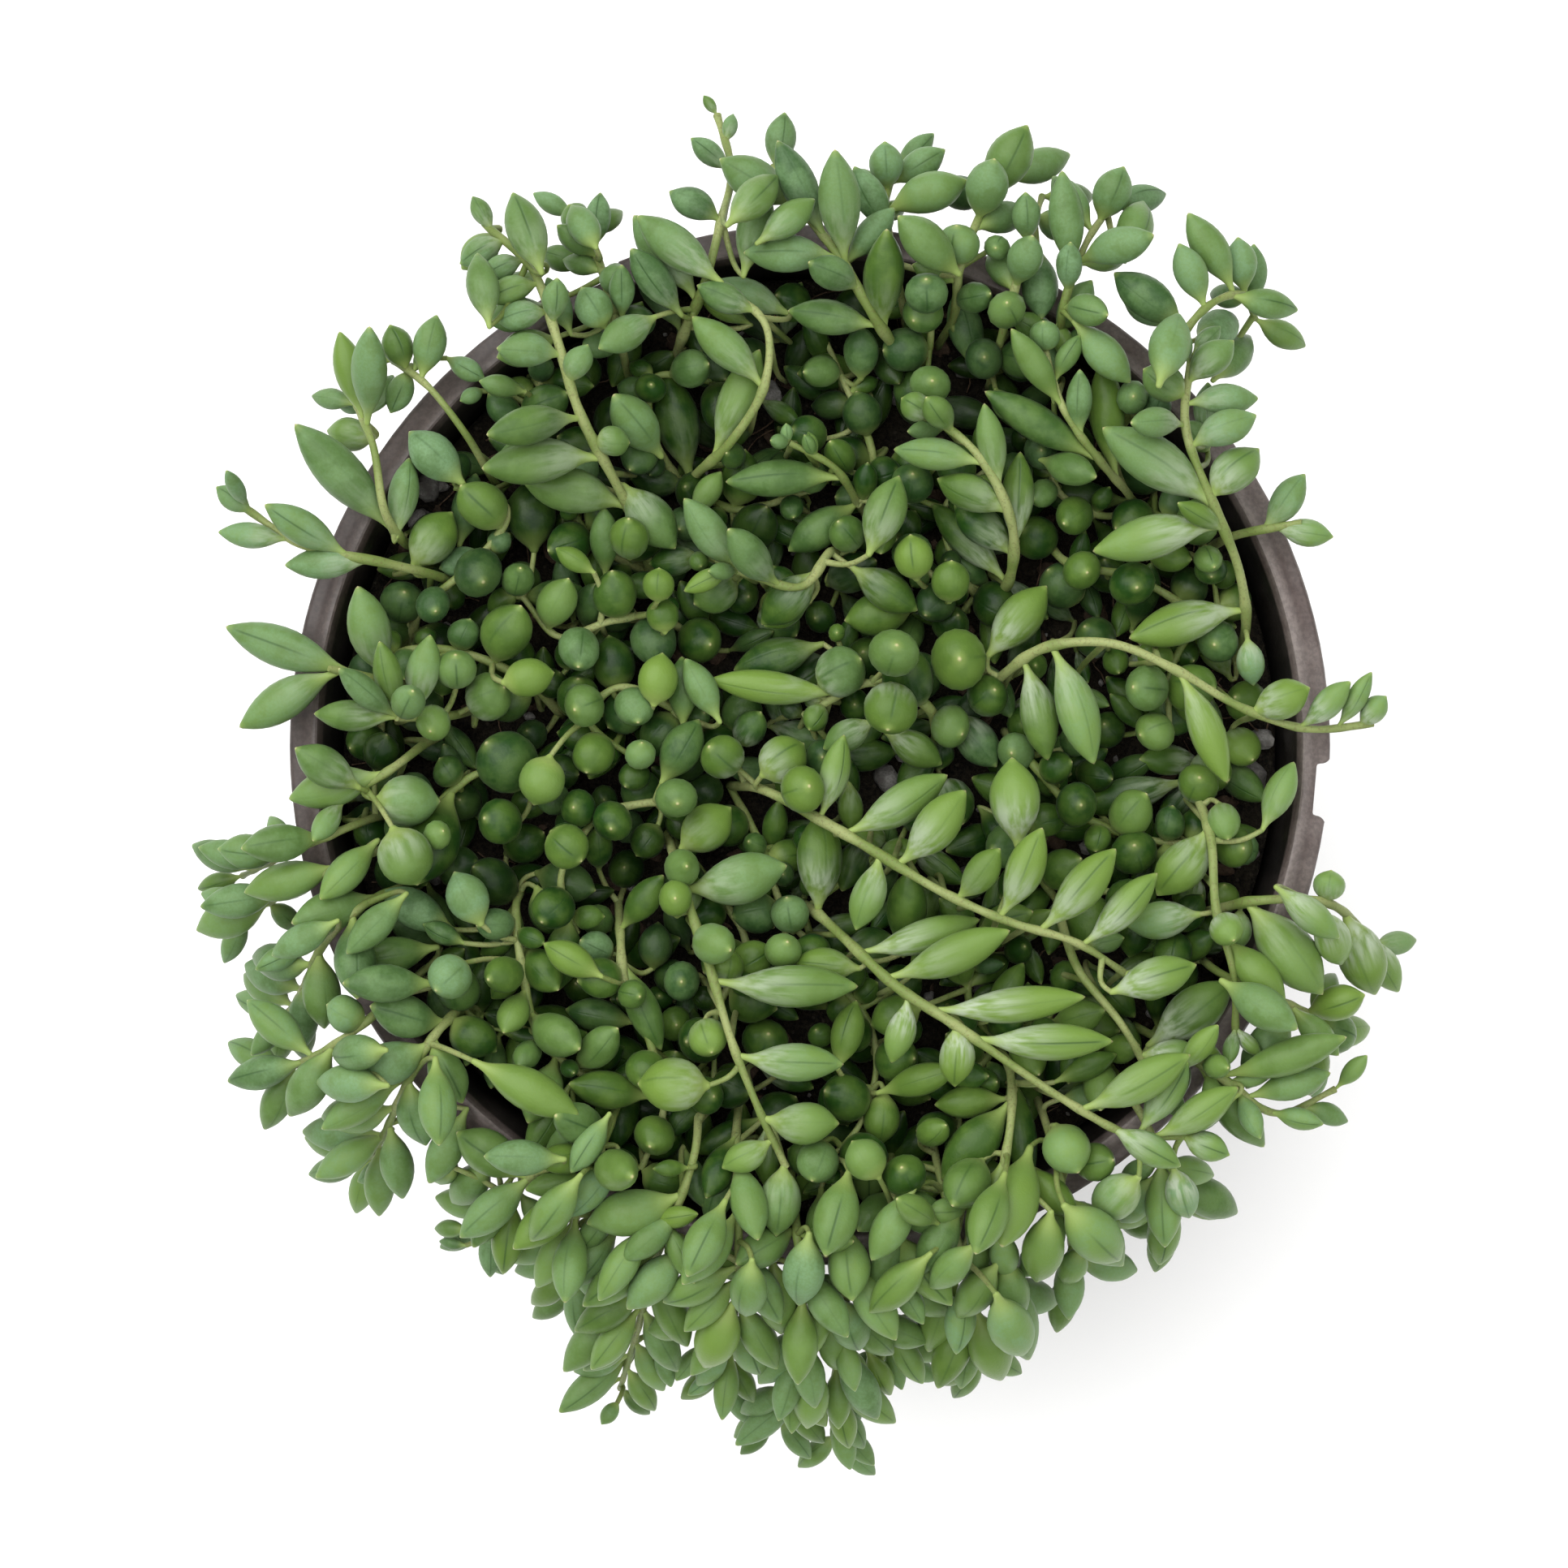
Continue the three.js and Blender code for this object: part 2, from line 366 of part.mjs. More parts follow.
  ['stem_southwest_fringe_one',
    [[730, 1385, 0], [700, 1420, 4], [655, 1444, 5], [628, 1478, -1], [606, 1502, -12], [590, 1520, -26]],
    [[0.42, 562, 1395, -1, 6.8], [0.36, 672, 1424, 1, 4]],
    [0.4, 1, 5.5, 13, 9, 0.42, 0.38, 46, 80]],
  ['stem_southwest_fringe_two',
    [[578, 1226, 0], [560, 1250, 4], [532, 1275, 7], [506, 1322, 5], [486, 1370, -2], [468, 1408, -16],
      [452, 1430, -34]],
    [[0.22, 455, 1240, 2, 6.6], [0.3, 438, 1326, 0, 6.6], [0.28, 570, 1360, 0, 5.6],
      [0.4, 525, 1412, -3, 5.8], [0.12, 558, 1198, 7, 6.8], [0.2, 612, 1296, 1, 6.4]],
    [0.5, 1, 5.5, 14, 11, 0.42, 0.38, 46, 80]],
  ['stem_southwest_fringe_three',
    [[520, 1196, 0], [478, 1234, 5], [440, 1270, 6], [398, 1298, 2], [362, 1312, -8], [338, 1318, -22]],
    [[0.36, 402, 1238, 1, 5.6], [0.5, 356, 1376, -4, 6], [0.66, 280, 1332, -4, 5.2]],
    [0.6, 1, 5.5, 13, 10, 0.42, 0.38, 46, 80]],
  ['stem_west_fringe_one',
    [[512, 1092, 0], [470, 1100, 4], [425, 1132, 6], [398, 1160, 3], [382, 1200, -6], [366, 1232, -20],
      [352, 1250, -36]],
    [[0.2, 358, 1138, 1, 6.2], [0.3, 440, 1232, -1, 6.4], [0.44, 400, 1268, -4, 6]],
    [0.5, 1, 5.5, 14, 10.5, 0.42, 0.38, 46, 80]],
  ['stem_west_fringe_two',
    [[482, 1040, 0], [448, 1056, 4], [408, 1072, 6], [368, 1092, 2], [330, 1112, -8], [306, 1124, -22]],
    [[0.34, 300, 1100, -1, 5.8], [0.1, 405, 1052, 6, 7], [0.7, 242, 1146, -3, 6.4]],
    [0.6, 1, 5.5, 13, 10, 0.42, 0.38, 46, 80]],
  ['stem_west_fringe_three',
    [[478, 1004, 0], [444, 1012, 4], [405, 1030, 6], [365, 1048, 2], [325, 1066, -8], [300, 1078, -20]],
    [[0.4, 296, 1046, 0, 5.8], [0.6, 268, 1046, 0, 5.4]],
    [0.56, 1, 5.5, 13, 10, 0.42, 0.38, 46, 80]],
  ['stem_west_carpet_upper',
    [[500, 790, 0], [512, 750, -2], [545, 716, 0], [600, 680, 0], [640, 640, 1], [620, 600, 0],
      [560, 600, 0]],
    [[0.3, 560, 625, 3, 6.6], [0.8, 655, 600, 5, 8.6]],
    [0.1, 1, 6.5, 8.5, 9, 0.86, 0.7, 78, 60]],
  ['stem_west_carpet_middle',
    [[690, 880, 0], [660, 840, -1], [610, 820, 1], [560, 800, 0], [500, 790, 1], [480, 830, -3],
      [470, 900, -6]],
    [[0.36, 642, 746, 4, 7.8], [0.3, 610, 850, 7, 7.4], [0.12, 690, 828, 3, 6.2]],
    [0.05, 1, 6.5, 8, 8, 0.9, 0.86, 78, 60]],
  ['stem_west_carpet_lower',
    [[700, 1010, 0], [668, 972, -1], [610, 940, 1], [570, 960, 1], [520, 1010, 0], [492, 1056, -2]],
    [[0.3, 598, 915, 7, 9.4], [0.1, 662, 948, 7, 7.4], [0.66, 515, 1090, 5, 8.4]],
    [0.05, 1, 6.5, 8, 8, 0.9, 0.88, 78, 60]],
  ['stem_middle_carpet_upper',
    [[860, 790, 0], [815, 765, -2], [790, 740, 0], [740, 770, 1], [710, 800, 1], [660, 770, 0],
      [640, 730, 0]],
    [],
    [0.05, 1, 6.2, 8, 8.5, 0.86, 0.62, 76, 62]],
  ['stem_middle_carpet_centre',
    [[880, 910, 0], [840, 880, 0], [800, 850, 2], [755, 840, 2], [712, 860, 2], [730, 910, 1],
      [790, 940, 0]],
    [[0.16, 868, 878, 3, 5.6]],
    [0.05, 1, 6.2, 8, 7.6, 0.88, 0.82, 76, 62]],
  ['stem_middle_carpet_lower',
    [[862, 1000, 0], [836, 992, 0], [790, 980, 1], [740, 1000, 1], [700, 1050, 2], [680, 1110, 2],
      [712, 1150, -1]],
    [[0.9, 689, 1220, -2, 5.8]],
    [0.05, 1, 6.2, 8, 8.4, 0.9, 0.8, 76, 62]],
  ['stem_south_carpet',
    [[760, 1110, 0], [766, 1180, 4], [772, 1235, 4], [810, 1300, 3], [822, 1350, 2], [812, 1405, 2],
      [790, 1440, 0]],
    [[0.24, 662, 1158, 2, 5.4], [0.3, 815, 1295, 1, 5], [0.18, 818, 1078, 4, 4.8],
      [0.62, 790, 1336, 5, 8.8]],
    [0.34, 1, 6.2, 9, 9, 0.8, 0.86, 72, 66]],
  ['stem_southwest_carpet',
    [[640, 1090, 0], [632, 1130, 3], [650, 1190, 3], [640, 1250, 2], [680, 1300, 2], [740, 1340, 2]],
    [[0.7, 588, 1302, 3, 6.4], [0.1, 612, 1226, 2, 6], [0.04, 462, 1095, 3, 6.2]],
    [0.1, 1, 6.2, 11, 11, 0.6, 0.5, 62, 70]],
  ['stem_east_carpet',
    [[1290, 660, 0], [1310, 700, 0], [1365, 700, 1], [1420, 720, -1], [1490, 780, -2], [1420, 840, -1],
      [1440, 900, 0]],
    [[0.98, 1404, 906, 4, 7.4]],
    [0.05, 1, 6.5, 8.4, 8.4, 0.88, 0.86, 76, 60]],
  ['stem_lower_east_carpet',
    [[1240, 900, 0], [1270, 930, 0], [1290, 975, 0], [1340, 1010, -1], [1390, 1040, -1], [1450, 1030, -2],
      [1500, 1040, -3]],
    [[0.12, 1246, 928, 6, 7.6]],
    [0.05, 1, 6.5, 8.6, 8.6, 0.82, 0.86, 74, 62]],
];

// The pot stands on its flat foot, and its wall rises to a skirted rim. From above the rim is a
// raised lip with a lower flange round it. The section runs from the axis up the outside, and back
// down the inside.
const WALL_TOP_RADIUS = RIM_RADIUS - 4.2;
const SKIRT_FOOT = POT_HEIGHT - SKIRT_DEPTH;
const LIP_OUTER = RIM_RADIUS - FLANGE_WIDTH;
const LIP_INNER = LIP_OUTER - LIP_WIDTH;
const INNER_TOP = LIP_INNER - 1.1;
const INNER_FOOT = FOOT_RADIUS - WALL;
const FLOOR = 2.4;
const POT_SECTION = [
  [0, 0],
  [FOOT_RADIUS - 2, 0],
  [FOOT_RADIUS, 2],
  [WALL_TOP_RADIUS, SKIRT_FOOT - 2],
  [RIM_RADIUS - 1.1, SKIRT_FOOT],
  [RIM_RADIUS - 0.4, SKIRT_FOOT + 1],
  [RIM_RADIUS, POT_HEIGHT - 2.6],
  [RIM_RADIUS - 0.5, POT_HEIGHT - 1.7],
  [LIP_OUTER, POT_HEIGHT - 1.5],
  [LIP_OUTER - 0.7, POT_HEIGHT],
  [LIP_INNER + 0.6, POT_HEIGHT],
  [LIP_INNER, POT_HEIGHT - 0.7],
  [INNER_TOP, SKIRT_FOOT - 1],
  [INNER_FOOT, FLOOR],
  [0, FLOOR],
];

// A closed solid from a three.js geometry: its seams are merged and its flat slivers dropped.
function solidOf(geometry) {
  const bare = new THREE.BufferGeometry();
  bare.setAttribute('position', geometry.getAttribute('position'));
  bare.setIndex(geometry.getIndex());
  const merged = mergeVertices(bare, 1e-4);
  const corners = merged.getIndex().array;
  const kept = [];
  for (let i = 0; i < corners.length; i += 3) {
    const [a, b, c] = [corners[i], corners[i + 1], corners[i + 2]];
    if (a !== b && b !== c && c !== a) kept.push(a, b, c);
  }
  return new wasm.Manifold(new wasm.Mesh({
    numProp: 3,
    vertProperties: new Float32Array(merged.getAttribute('position').array),
    triVerts: new Uint32Array(kept),
  }));
}

// A named mesh from a solid.
function meshOf(name, solid, material) {
  const data = solid.getMesh();
  const geometry = new THREE.BufferGeometry();
  geometry.setAttribute('position', new THREE.BufferAttribute(new Float32Array(data.vertProperties), 3));
  geometry.setIndex(new THREE.BufferAttribute(new Uint32Array(data.triVerts), 1));
  geometry.computeVertexNormals();
  const mesh = new THREE.Mesh(geometry, material);
  mesh.name = name;
  return mesh;
}

// A solid turned about the pot's axis from a section of radius and height.
function turned(section, sides) {
  const profile = section.map(([radius, height]) => new THREE.Vector2(radius, height));
  const geometry = new THREE.LatheGeometry(profile, sides);
  geometry.rotateX(Math.PI / 2);
  return geometry;
}

// The height of the soil's top at a place: it is crowned in the middle and has low lumps.
function soilTop(x, y) {
  const reach = Math.min(1, Math.hypot(x, y) / INNER_TOP);
  const crown = SOIL_CROWN * (1 - reach * reach);
  const lumps = SOIL_BUMP * Math.sin(x * 0.23 + 1.3) * Math.cos(y * 0.19 - 0.4);
  return POT_HEIGHT - SOIL_DEPTH_AT_WALL + crown + lumps;
}

// A place in space from a point of the plan view and its height above the rim.
function place([across, down, height]) {
  const unit = PLAN_UNIT * (EYE_HEIGHT - height) / EYE_HEIGHT;
  const x = (across - PLAN_CENTRE_X) * unit;
  const y = (PLAN_CENTRE_Y - down) * unit;
  return new THREE.Vector3(x, y, POT_HEIGHT + height);
}

// How far a place is from the pot's section, and the way out from it in radius and height.
function awayFromPot(point) {
  const radius = Math.hypot(point.x, point.y);
  let nearest = Infinity;
  let way = [1, 0];
  for (let i = 1; i < POT_SECTION.length; i++) {
    const [r0, z0] = POT_SECTION[i - 1];
    const [r1, z1] = POT_SECTION[i];
    const span = (r1 - r0) ** 2 + (z1 - z0) ** 2;
    const along = ((radius - r0) * (r1 - r0) + (point.z - z0) * (z1 - z0)) / span;
    const t = Math.min(1, Math.max(0, along));
    const dr = radius - r0 - (r1 - r0) * t;
    const dz = point.z - z0 - (z1 - z0) * t;
    const far = Math.hypot(dr, dz);
    if (far < nearest) {
      nearest = far;
      way = [dr / (far + 1e-9), dz / (far + 1e-9)];
    }
  }
  return { nearest, way };
}

// What already fills the space, as balls, each with the stem that it belongs to.
const crowd = [];
function addBall({ x, y, z }, radius, owner, stem = false) {
  crowd.push({ x, y, z, radius, owner, stem });
}

// A smooth line through marked places, as beads a set distance apart, after Catmull and Rom.
function beadsThrough(marks) {
  const dense = [];
  const last = marks.length - 1;
  for (let i = 0; i < last; i++) {
    const before = i > 0 ? marks[i - 1] : marks[0].clone().add(new THREE.Vector3(0, 0, -6));
    const after = i + 2 <= last ? marks[i + 2] : marks[last].clone().multiplyScalar(2).sub(marks[last - 1]);
    for (let k = 0; k < 12; k++) {
      const t = k / 12;
      const point = new THREE.Vector3();
      for (const axis of ['x', 'y', 'z']) {
        const [a, b, c, d] = [before[axis], marks[i][axis], marks[i + 1][axis], after[axis]];
        point[axis] = 0.5 * (2 * b + (c - a) * t + (2 * a - 5 * b + 4 * c - d) * t * t
          + (3 * b - a - 3 * c + d) * t * t * t);
      }
      dense.push(point);
    }
  }
  dense.push(marks[last].clone());
  const reached = [0];
  for (let i = 1; i < dense.length; i++) reached.push(reached[i - 1] + dense[i].distanceTo(dense[i - 1]));
  const total = reached[reached.length - 1];
  const steps = Math.max(2, Math.round(total / (BEAD * BEADS_PER_STEP)));
  const count = steps * BEADS_PER_STEP;
  const beads = [];
  let at = 0;
  for (let i = 0; i <= count; i++) {
    const goal = total * i / count;
    while (at < dense.length - 2 && reached[at + 1] < goal) at++;
    const t = (goal - reached[at]) / (reached[at + 1] - reached[at]);
    beads.push(dense[at].clone().lerp(dense[at + 1], Math.min(1, t)));
  }
  return beads;
}

// A stem's beads, bent clear of the pot, the soil and the stems that are there already.
function bendClear(beads, owner) {
  for (let pass = 0; pass < 8; pass++) {
    for (let i = 1; i < beads.length; i++) {
      const bead = beads[i];
      for (const ball of crowd) {
        const away = new THREE.Vector3(bead.x - ball.x, bead.y - ball.y, bead.z - ball.z);
        const far = away.length();
        if (ball.owner === owner || far >= STEM_GAP) continue;
        away.z += 0.8;
        bead.addScaledVector(away.normalize(), STEM_GAP - far);
      }
      const ground = soilTop(bead.x, bead.y) + 1.7;
      const radius = Math.hypot(bead.x, bead.y);
      if (radius < INNER_TOP && bead.z < ground) bead.z = ground;
      const { nearest, way } = awayFromPot(bead);
      const short = STEM_RADIUS + 1.5 - nearest;
      if (short > 0) {
        bead.z += way[1] * short;
        bead.x += way[0] * short * bead.x / radius;
        bead.y += way[0] * short * bead.y / radius;
      }
    }
    for (let i = 1; i < beads.length - 1; i++) {
      const mean = beads[i - 1].clone().add(beads[i + 1]).multiplyScalar(0.5);
      beads[i].lerp(mean, 0.35);
    }
  }
}

// Lays a stem or a fork. Its corners are the root's foot, the top of its riser and then every few beads.
const stems = [];
function layStem([name, route, placed, habit]) {
  const forks = name === '';
  const parent = stems[stems.length - 1];
  const owner = forks ? parent.owner : name;
  const root = forks ? parent.root : place(route[0]);
  const ground = soilTop(root.x, root.y);
  const riser = new THREE.Vector3(root.x, root.y, ground + RISER);
  const foot = new THREE.Vector3(root.x, root.y, ground - ROOT_DEPTH);
  const beads = beadsThrough([riser, ...route.slice(forks ? 0 : 1).map(place)]);
  bendClear(beads, owner);
  const corners = [foot, ...beads.filter((bead, i) => i % BEADS_PER_STEP === 0)];
  for (let i = 1; i < corners.length; i++) {
    for (let k = 0; k < BEADS_PER_STEP; k++) {
      addBall(corners[i - 1].clone().lerp(corners[i], (k + 1) / BEADS_PER_STEP), STEM_RADIUS, owner, true);
    }
  }
  stems.push({ owner, forks, placed, habit, root, corners, leaves: [] });
}

// A place along a stem, counted from the top of its riser, and the way the stem runs there.
function alongStem(stem, share) {
  const spans = stem.corners.length - 2;
  const at = Math.min(spans - 1e-6, Math.max(0, share * spans));
  const i = Math.floor(at) + 1;
  const way = stem.corners[i + 1].clone().sub(stem.corners[i]);
  const point = stem.corners[i].clone().addScaledVector(way, at - Math.floor(at));
  return { point, way: way.normalize() };
}

function stemLength(stem) {
  let total = 0;
  for (let i = 2; i < stem.corners.length; i++) total += stem.corners[i].distanceTo(stem.corners[i - 1]);
  return total;
}

// Half the breadth of a leaf, as a share of its full breadth, at a share of its length. A plump
// leaf is a ball, and a slim one is a spindle with a narrow foot and a pointed tip.
function leafOutline(share, plumpness) {
  const round = Math.max(0, (share - PEA_STALK) / (1 - PEA_STALK));
  const ball = Math.sqrt(round * (1 - round));
  const spindle = 0.5 * Math.sin(Math.PI * Math.max(0, share) ** 1.1) ** 1.3;
  const blend = Math.min(1, Math.max(0, (plumpness - 0.5) / 0.3));
  return spindle + (ball - spindle) * blend;
}

const TESTED_SHARES = [0.14, 0.3, 0.46, 0.62, 0.78, 0.9, 1];
const LEAF_THICKNESS = 0.86;

// Whether a leaf has room: clear of the pot, the soil, the ground and what is there already.
function hasRoom(base, way, length, width, owner) {
  const plumpness = width / length;
  for (const share of TESTED_SHARES) {
    const radius = leafOutline(share, plumpness) * width * 1.05 + 0.12;
    const point = base.clone().addScaledVector(way, length * share);
    if (point.z - radius < 4) return false;
    const reach = Math.hypot(point.x, point.y);
    if (reach < INNER_TOP && point.z - radius < soilTop(point.x, point.y) + 0.7) return false;
    if (awayFromPot(point).nearest < radius + 0.35) return false;
    for (const ball of crowd) {
      const own = ball.owner === owner;
      if (own && (ball.stem || share < 0.4)) continue;
      const need = radius + ball.radius + (own ? -0.5 : LEAF_GAP);
      const dx = point.x - ball.x;
      const dy = point.y - ball.y;
      const dz = point.z - ball.z;
      if (dx * dx + dy * dy + dz * dz < need * need) return false;
    }
  }
  return true;
}

function addLeaf(stem, share, way, length, width) {
  const { point } = alongStem(stem, share);
  const plumpness = width / length;
  stem.leaves.push({ base: point, way, length, width });
  for (const part of TESTED_SHARES) {
    const middle = point.clone().addScaledVector(way, length * part);
    addBall(middle, leafOutline(part, plumpness) * width * 1.05 + 0.12, stem.owner);
  }
}

let drawn = SEED;
function draw() {
  drawn = (drawn * 1664525 + 1013904223) % 4294967296;
  return drawn / 4294967296;
}

// The hand-placed leaves: each points from its place on the stem to its tip, raised or shortened a
// little where it has no room.
function placeByHand(stem) {
  for (const [share, across, down, rise, width] of stem.placed) {
    const { point } = alongStem(stem, share);
    for (let attempt = 0; attempt < 12; attempt++) {
      const lift = rise + (attempt % 6) * 1.3;
      const tip = place([across, down, point.z - POT_HEIGHT + lift]);
      const way = tip.sub(point);
      const shrink = attempt < 6 ? 1 : 0.86;
      const length = way.length() * shrink;
      way.normalize();
      const breadth = Math.min(width * shrink, length * 0.98);
      if (!hasRoom(point, way, length, breadth, stem.owner)) continue;
      addLeaf(stem, share, way, length, breadth);
      break;
    }
  }
}

// The way that a leaf leaves its stem: opened from the way the stem runs, and turned round it from
// the free side, which is up on a lying stem and outwards on a hanging one.
function leafWay(point, way, opening, turn) {
  const steep = Math.max(0, -way.z);
  const outward = new THREE.Vector3(point.x, point.y, 0).normalize();
  const free = new THREE.Vector3(0, 0, 1 - steep).addScaledVector(outward, steep + 0.1);
  free.addScaledVector(way, -free.dot(way)).normalize();
  const side = new THREE.Vector3().crossVectors(way, free);
  const across = free.multiplyScalar(Math.cos(turn)).addScaledVector(side, Math.sin(turn));
  const ahead = way.clone().multiplyScalar(Math.cos(opening));
  return ahead.addScaledVector(across, Math.sin(opening)).normalize();
}

// The leaves that follow the rule: one every few millimetres, left and right in turn, and tried
// at other angles and smaller where there is no room.
const RADIAN = Math.PI / 180;
const WANDER = [0, -0.5, 0.35, -0.9, 0.7, -1.3, 1, -1.7, 0.2, -0.2, -1, 0.5];
function placeByRule(stem) {
  const [first, last, spacing, lengthFirst, lengthLast, plumpFirst, plumpLast, opening, spread] = stem.habit;
  if (first >= 1) return;
  const total = stemLength(stem);
  const count = Math.max(1, Math.floor(total * (last - first) / spacing));
  for (let i = 0; i <= count; i++) {
    const part = i / count;
    const share = first + (last - first) * part;
    const { point, way } = alongStem(stem, share);
    const hand = i % 2 === 0 ? 1 : -1;
    const turnDraw = draw();
    const openDraw = draw();
    const sizeDraw = draw();
    for (let attempt = 0; attempt < WANDER.length; attempt++) {
      const turn = hand * spread * (0.45 + 0.55 * turnDraw + WANDER[attempt]) * RADIAN;
      const open = (opening + 16 * (openDraw - 0.5) + (attempt % 3) * 7) * RADIAN;
      const shrink = (0.88 + 0.24 * sizeDraw) * (1 - 0.03 * attempt);
      const length = (lengthFirst + (lengthLast - lengthFirst) * part) * shrink;
      const plump = plumpFirst + (plumpLast - plumpFirst) * part;
      const leafDirection = leafWay(point, way, open, turn);
      if (!hasRoom(point, leafDirection, length, length * plump, stem.owner)) continue;
      addLeaf(stem, share, leafDirection, length, length * plump);
      break;
    }
  }
}

// A path that runs straight from corner to corner, for the extruded stem.
class StemPath extends THREE.Curve {
  constructor(corners) {
    super();
    this.corners = corners;
  }

  getPoint(t, target = new THREE.Vector3()) {
    const at = Math.min(1, Math.max(0, t)) * (this.corners.length - 1);
    const i = Math.min(this.corners.length - 2, Math.floor(at));
    return target.copy(this.corners[i]).lerp(this.corners[i + 1], at - i);
  }

  getPointAt(u, target) {
    return this.getPoint(u, target);
  }

  getTangentAt(u, target) {
    return this.getTangent(u, target);
  }
}

function stemSolid(stem) {
  const section = new THREE.Shape();
  for (let i = 0; i < STEM_SIDES; i++) {
    const angle = 2 * Math.PI * i / STEM_SIDES;
    section[i === 0 ? 'moveTo' : 'lineTo'](STEM_RADIUS * Math.cos(angle), STEM_RADIUS * Math.sin(angle));
  }
  section.closePath();
  const corners = stem.forks ? stem.corners.slice(1) : stem.corners;
  const geometry = new THREE.ExtrudeGeometry(section, {
    steps: corners.length - 1,
    extrudePath: new StemPath(corners),
    curveSegments: 1,
  });
  return solidOf(geometry);
}

// A leaf with two rings of corners between its foot, sunk in the stem, and its tip.
const SUNK = 0.5;
const TWO_RINGS_FROM = 10.5;
function leafSolid({ base, way, length, width }) {
  const plumpness = width / length;
  const blend = Math.min(1, Math.max(0, (plumpness - 0.5) / 0.3));
  const sides = blend > 0.4 ? 4 : 3;
  const swell = sides === 3 ? 1.13 : 1.05;
  const rings = length < TWO_RINGS_FROM ? [0.5 + 0.05 * blend] : [0.31 - 0.06 * blend, 0.64 + 0.1 * blend];
  const profile = [new THREE.Vector2(0, -SUNK)];
  for (const share of rings) {
    profile.push(new THREE.Vector2(leafOutline(share, plumpness) * width * swell, share * length));
  }
  profile.push(new THREE.Vector2(0, length));
  const geometry = new THREE.LatheGeometry(profile, sides);
  geometry.rotateY(Math.PI);
  geometry.scale(1, 1, LEAF_THICKNESS);
  const up = new THREE.Vector3(0, 0, 1).addScaledVector(way, -way.z);
  if (up.length() < 0.05) up.set(1, 0, 0).addScaledVector(way, -way.x);
  up.normalize();
  const across = new THREE.Vector3().crossVectors(way, up);
  geometry.applyMatrix4(new THREE.Matrix4().makeBasis(across, way, up));
  geometry.translate(base.x, base.y, base.z);
  return solidOf(geometry);
}

// A stem with its forks and all their leaves, joined into one solid.
function leafyStem(owner) {
  const shoots = stems.filter((stem) => stem.owner === owner);
  let body = stemSolid(shoots[0]);
  for (const shoot of shoots.slice(1)) body = body.add(stemSolid(shoot));
  for (const leaf of shoots.flatMap((shoot) => shoot.leaves)) body = body.add(leafSolid(leaf));
  return body;
}

// Stones in the soil's top: [across, down, radius]. Each is a lump sunk by half in the soil.
const STONES = [
  [872, 780, 2.4], [905, 770, 1.9], [950, 490, 2.2], [1092, 958, 2.2], [1118, 930, 1.6],
  [1540, 955, 2.9], [530, 600, 2.3], [1555, 910, 1.8], [520, 640, 1.7], [1190, 452, 2],
];

function stoneSolid([across, down, radius], index) {
  const { x, y } = place([across, down, -SOIL_DEPTH_AT_WALL]);
  const geometry = new THREE.IcosahedronGeometry(radius, 0);
  geometry.scale(1, 0.8, 0.75);
  geometry.rotateZ(index * 1.9);
  geometry.translate(x, y, soilTop(x, y) + radius * 0.15);
  return { solid: solidOf(geometry), x, y, radius };
}

// The soil fills the pot, a hair's breadth clear of its wall and floor, and each stem stands in a
// plain hole.
function soilSolid(stones) {
  const footRadius = INNER_FOOT - CLEARANCE;
  const edge = INNER_TOP - 0.55 - CLEARANCE;
  const section = [[0, FLOOR + CLEARANCE], [footRadius, FLOOR + CLEARANCE]];
  const level = POT_HEIGHT - SOIL_DEPTH_AT_WALL;
  for (let i = 0; i <= SOIL_RINGS; i++) section.push([edge * (1 - i / SOIL_RINGS), level]);
  const geometry = turned(section, SOIL_SIDES);
  const positions = geometry.getAttribute('position');
  for (let i = 0; i < positions.count; i++) {
    if (positions.getZ(i) < POT_HEIGHT / 2) continue;
    positions.setZ(i, soilTop(positions.getX(i), positions.getY(i)));
  }
  let body = solidOf(geometry);
  for (const stone of stones) body = body.add(stone.solid);
  for (const stem of stems.filter(({ forks }) => !forks)) {
    const depth = ROOT_DEPTH + CLEARANCE;
    const hole = new THREE.CylinderGeometry(HOLE_RADIUS, HOLE_RADIUS, depth + 6, 4);
    hole.rotateX(Math.PI / 2);
    hole.translate(stem.root.x, stem.root.y, soilTop(stem.root.x, stem.root.y) - depth + (depth + 6) / 2);
    body = body.subtract(solidOf(hole));
  }
  return body;
}

// The pot, with three notches in the rim's flange for a hanger's hooks and drain holes in its floor.
function potSolid() {
  let body = solidOf(turned(POT_SECTION, POT_SIDES));
  for (let i = 0; i < NOTCH_COUNT; i++) {
    const outline = new THREE.Shape();
    outline.absarc(NOTCH_LENGTH / 2 - 1.6, 0, 1.6, -Math.PI / 2, Math.PI / 2, false);
    outline.absarc(1.6 - NOTCH_LENGTH / 2, 0, 1.6, Math.PI / 2, Math.PI * 1.5, false);
    outline.closePath();
    const notch = new THREE.ExtrudeGeometry(outline, {
      depth: SKIRT_DEPTH + 4,
      bevelEnabled: false,
      curveSegments: 3,
    });
    notch.rotateZ(Math.PI / 2);
    notch.translate(RIM_RADIUS + 0.1, 0, POT_HEIGHT - SKIRT_DEPTH - 2);
    notch.rotateZ((NOTCH_FIRST_ANGLE + 360 / NOTCH_COUNT * i) * RADIAN);
    body = body.subtract(solidOf(notch));
  }
  for (let i = 0; i < DRAIN_COUNT; i++) {
    const drain = new THREE.CylinderGeometry(DRAIN_RADIUS, DRAIN_RADIUS, FLOOR * 3, DRAIN_SIDES);
    drain.rotateX(Math.PI / 2);
    drain.translate(DRAIN_CIRCLE, 0, FLOOR / 2);
    drain.rotateZ((i + 0.5) * 360 / DRAIN_COUNT * RADIAN);
    body = body.subtract(solidOf(drain));
  }
  return body;
}

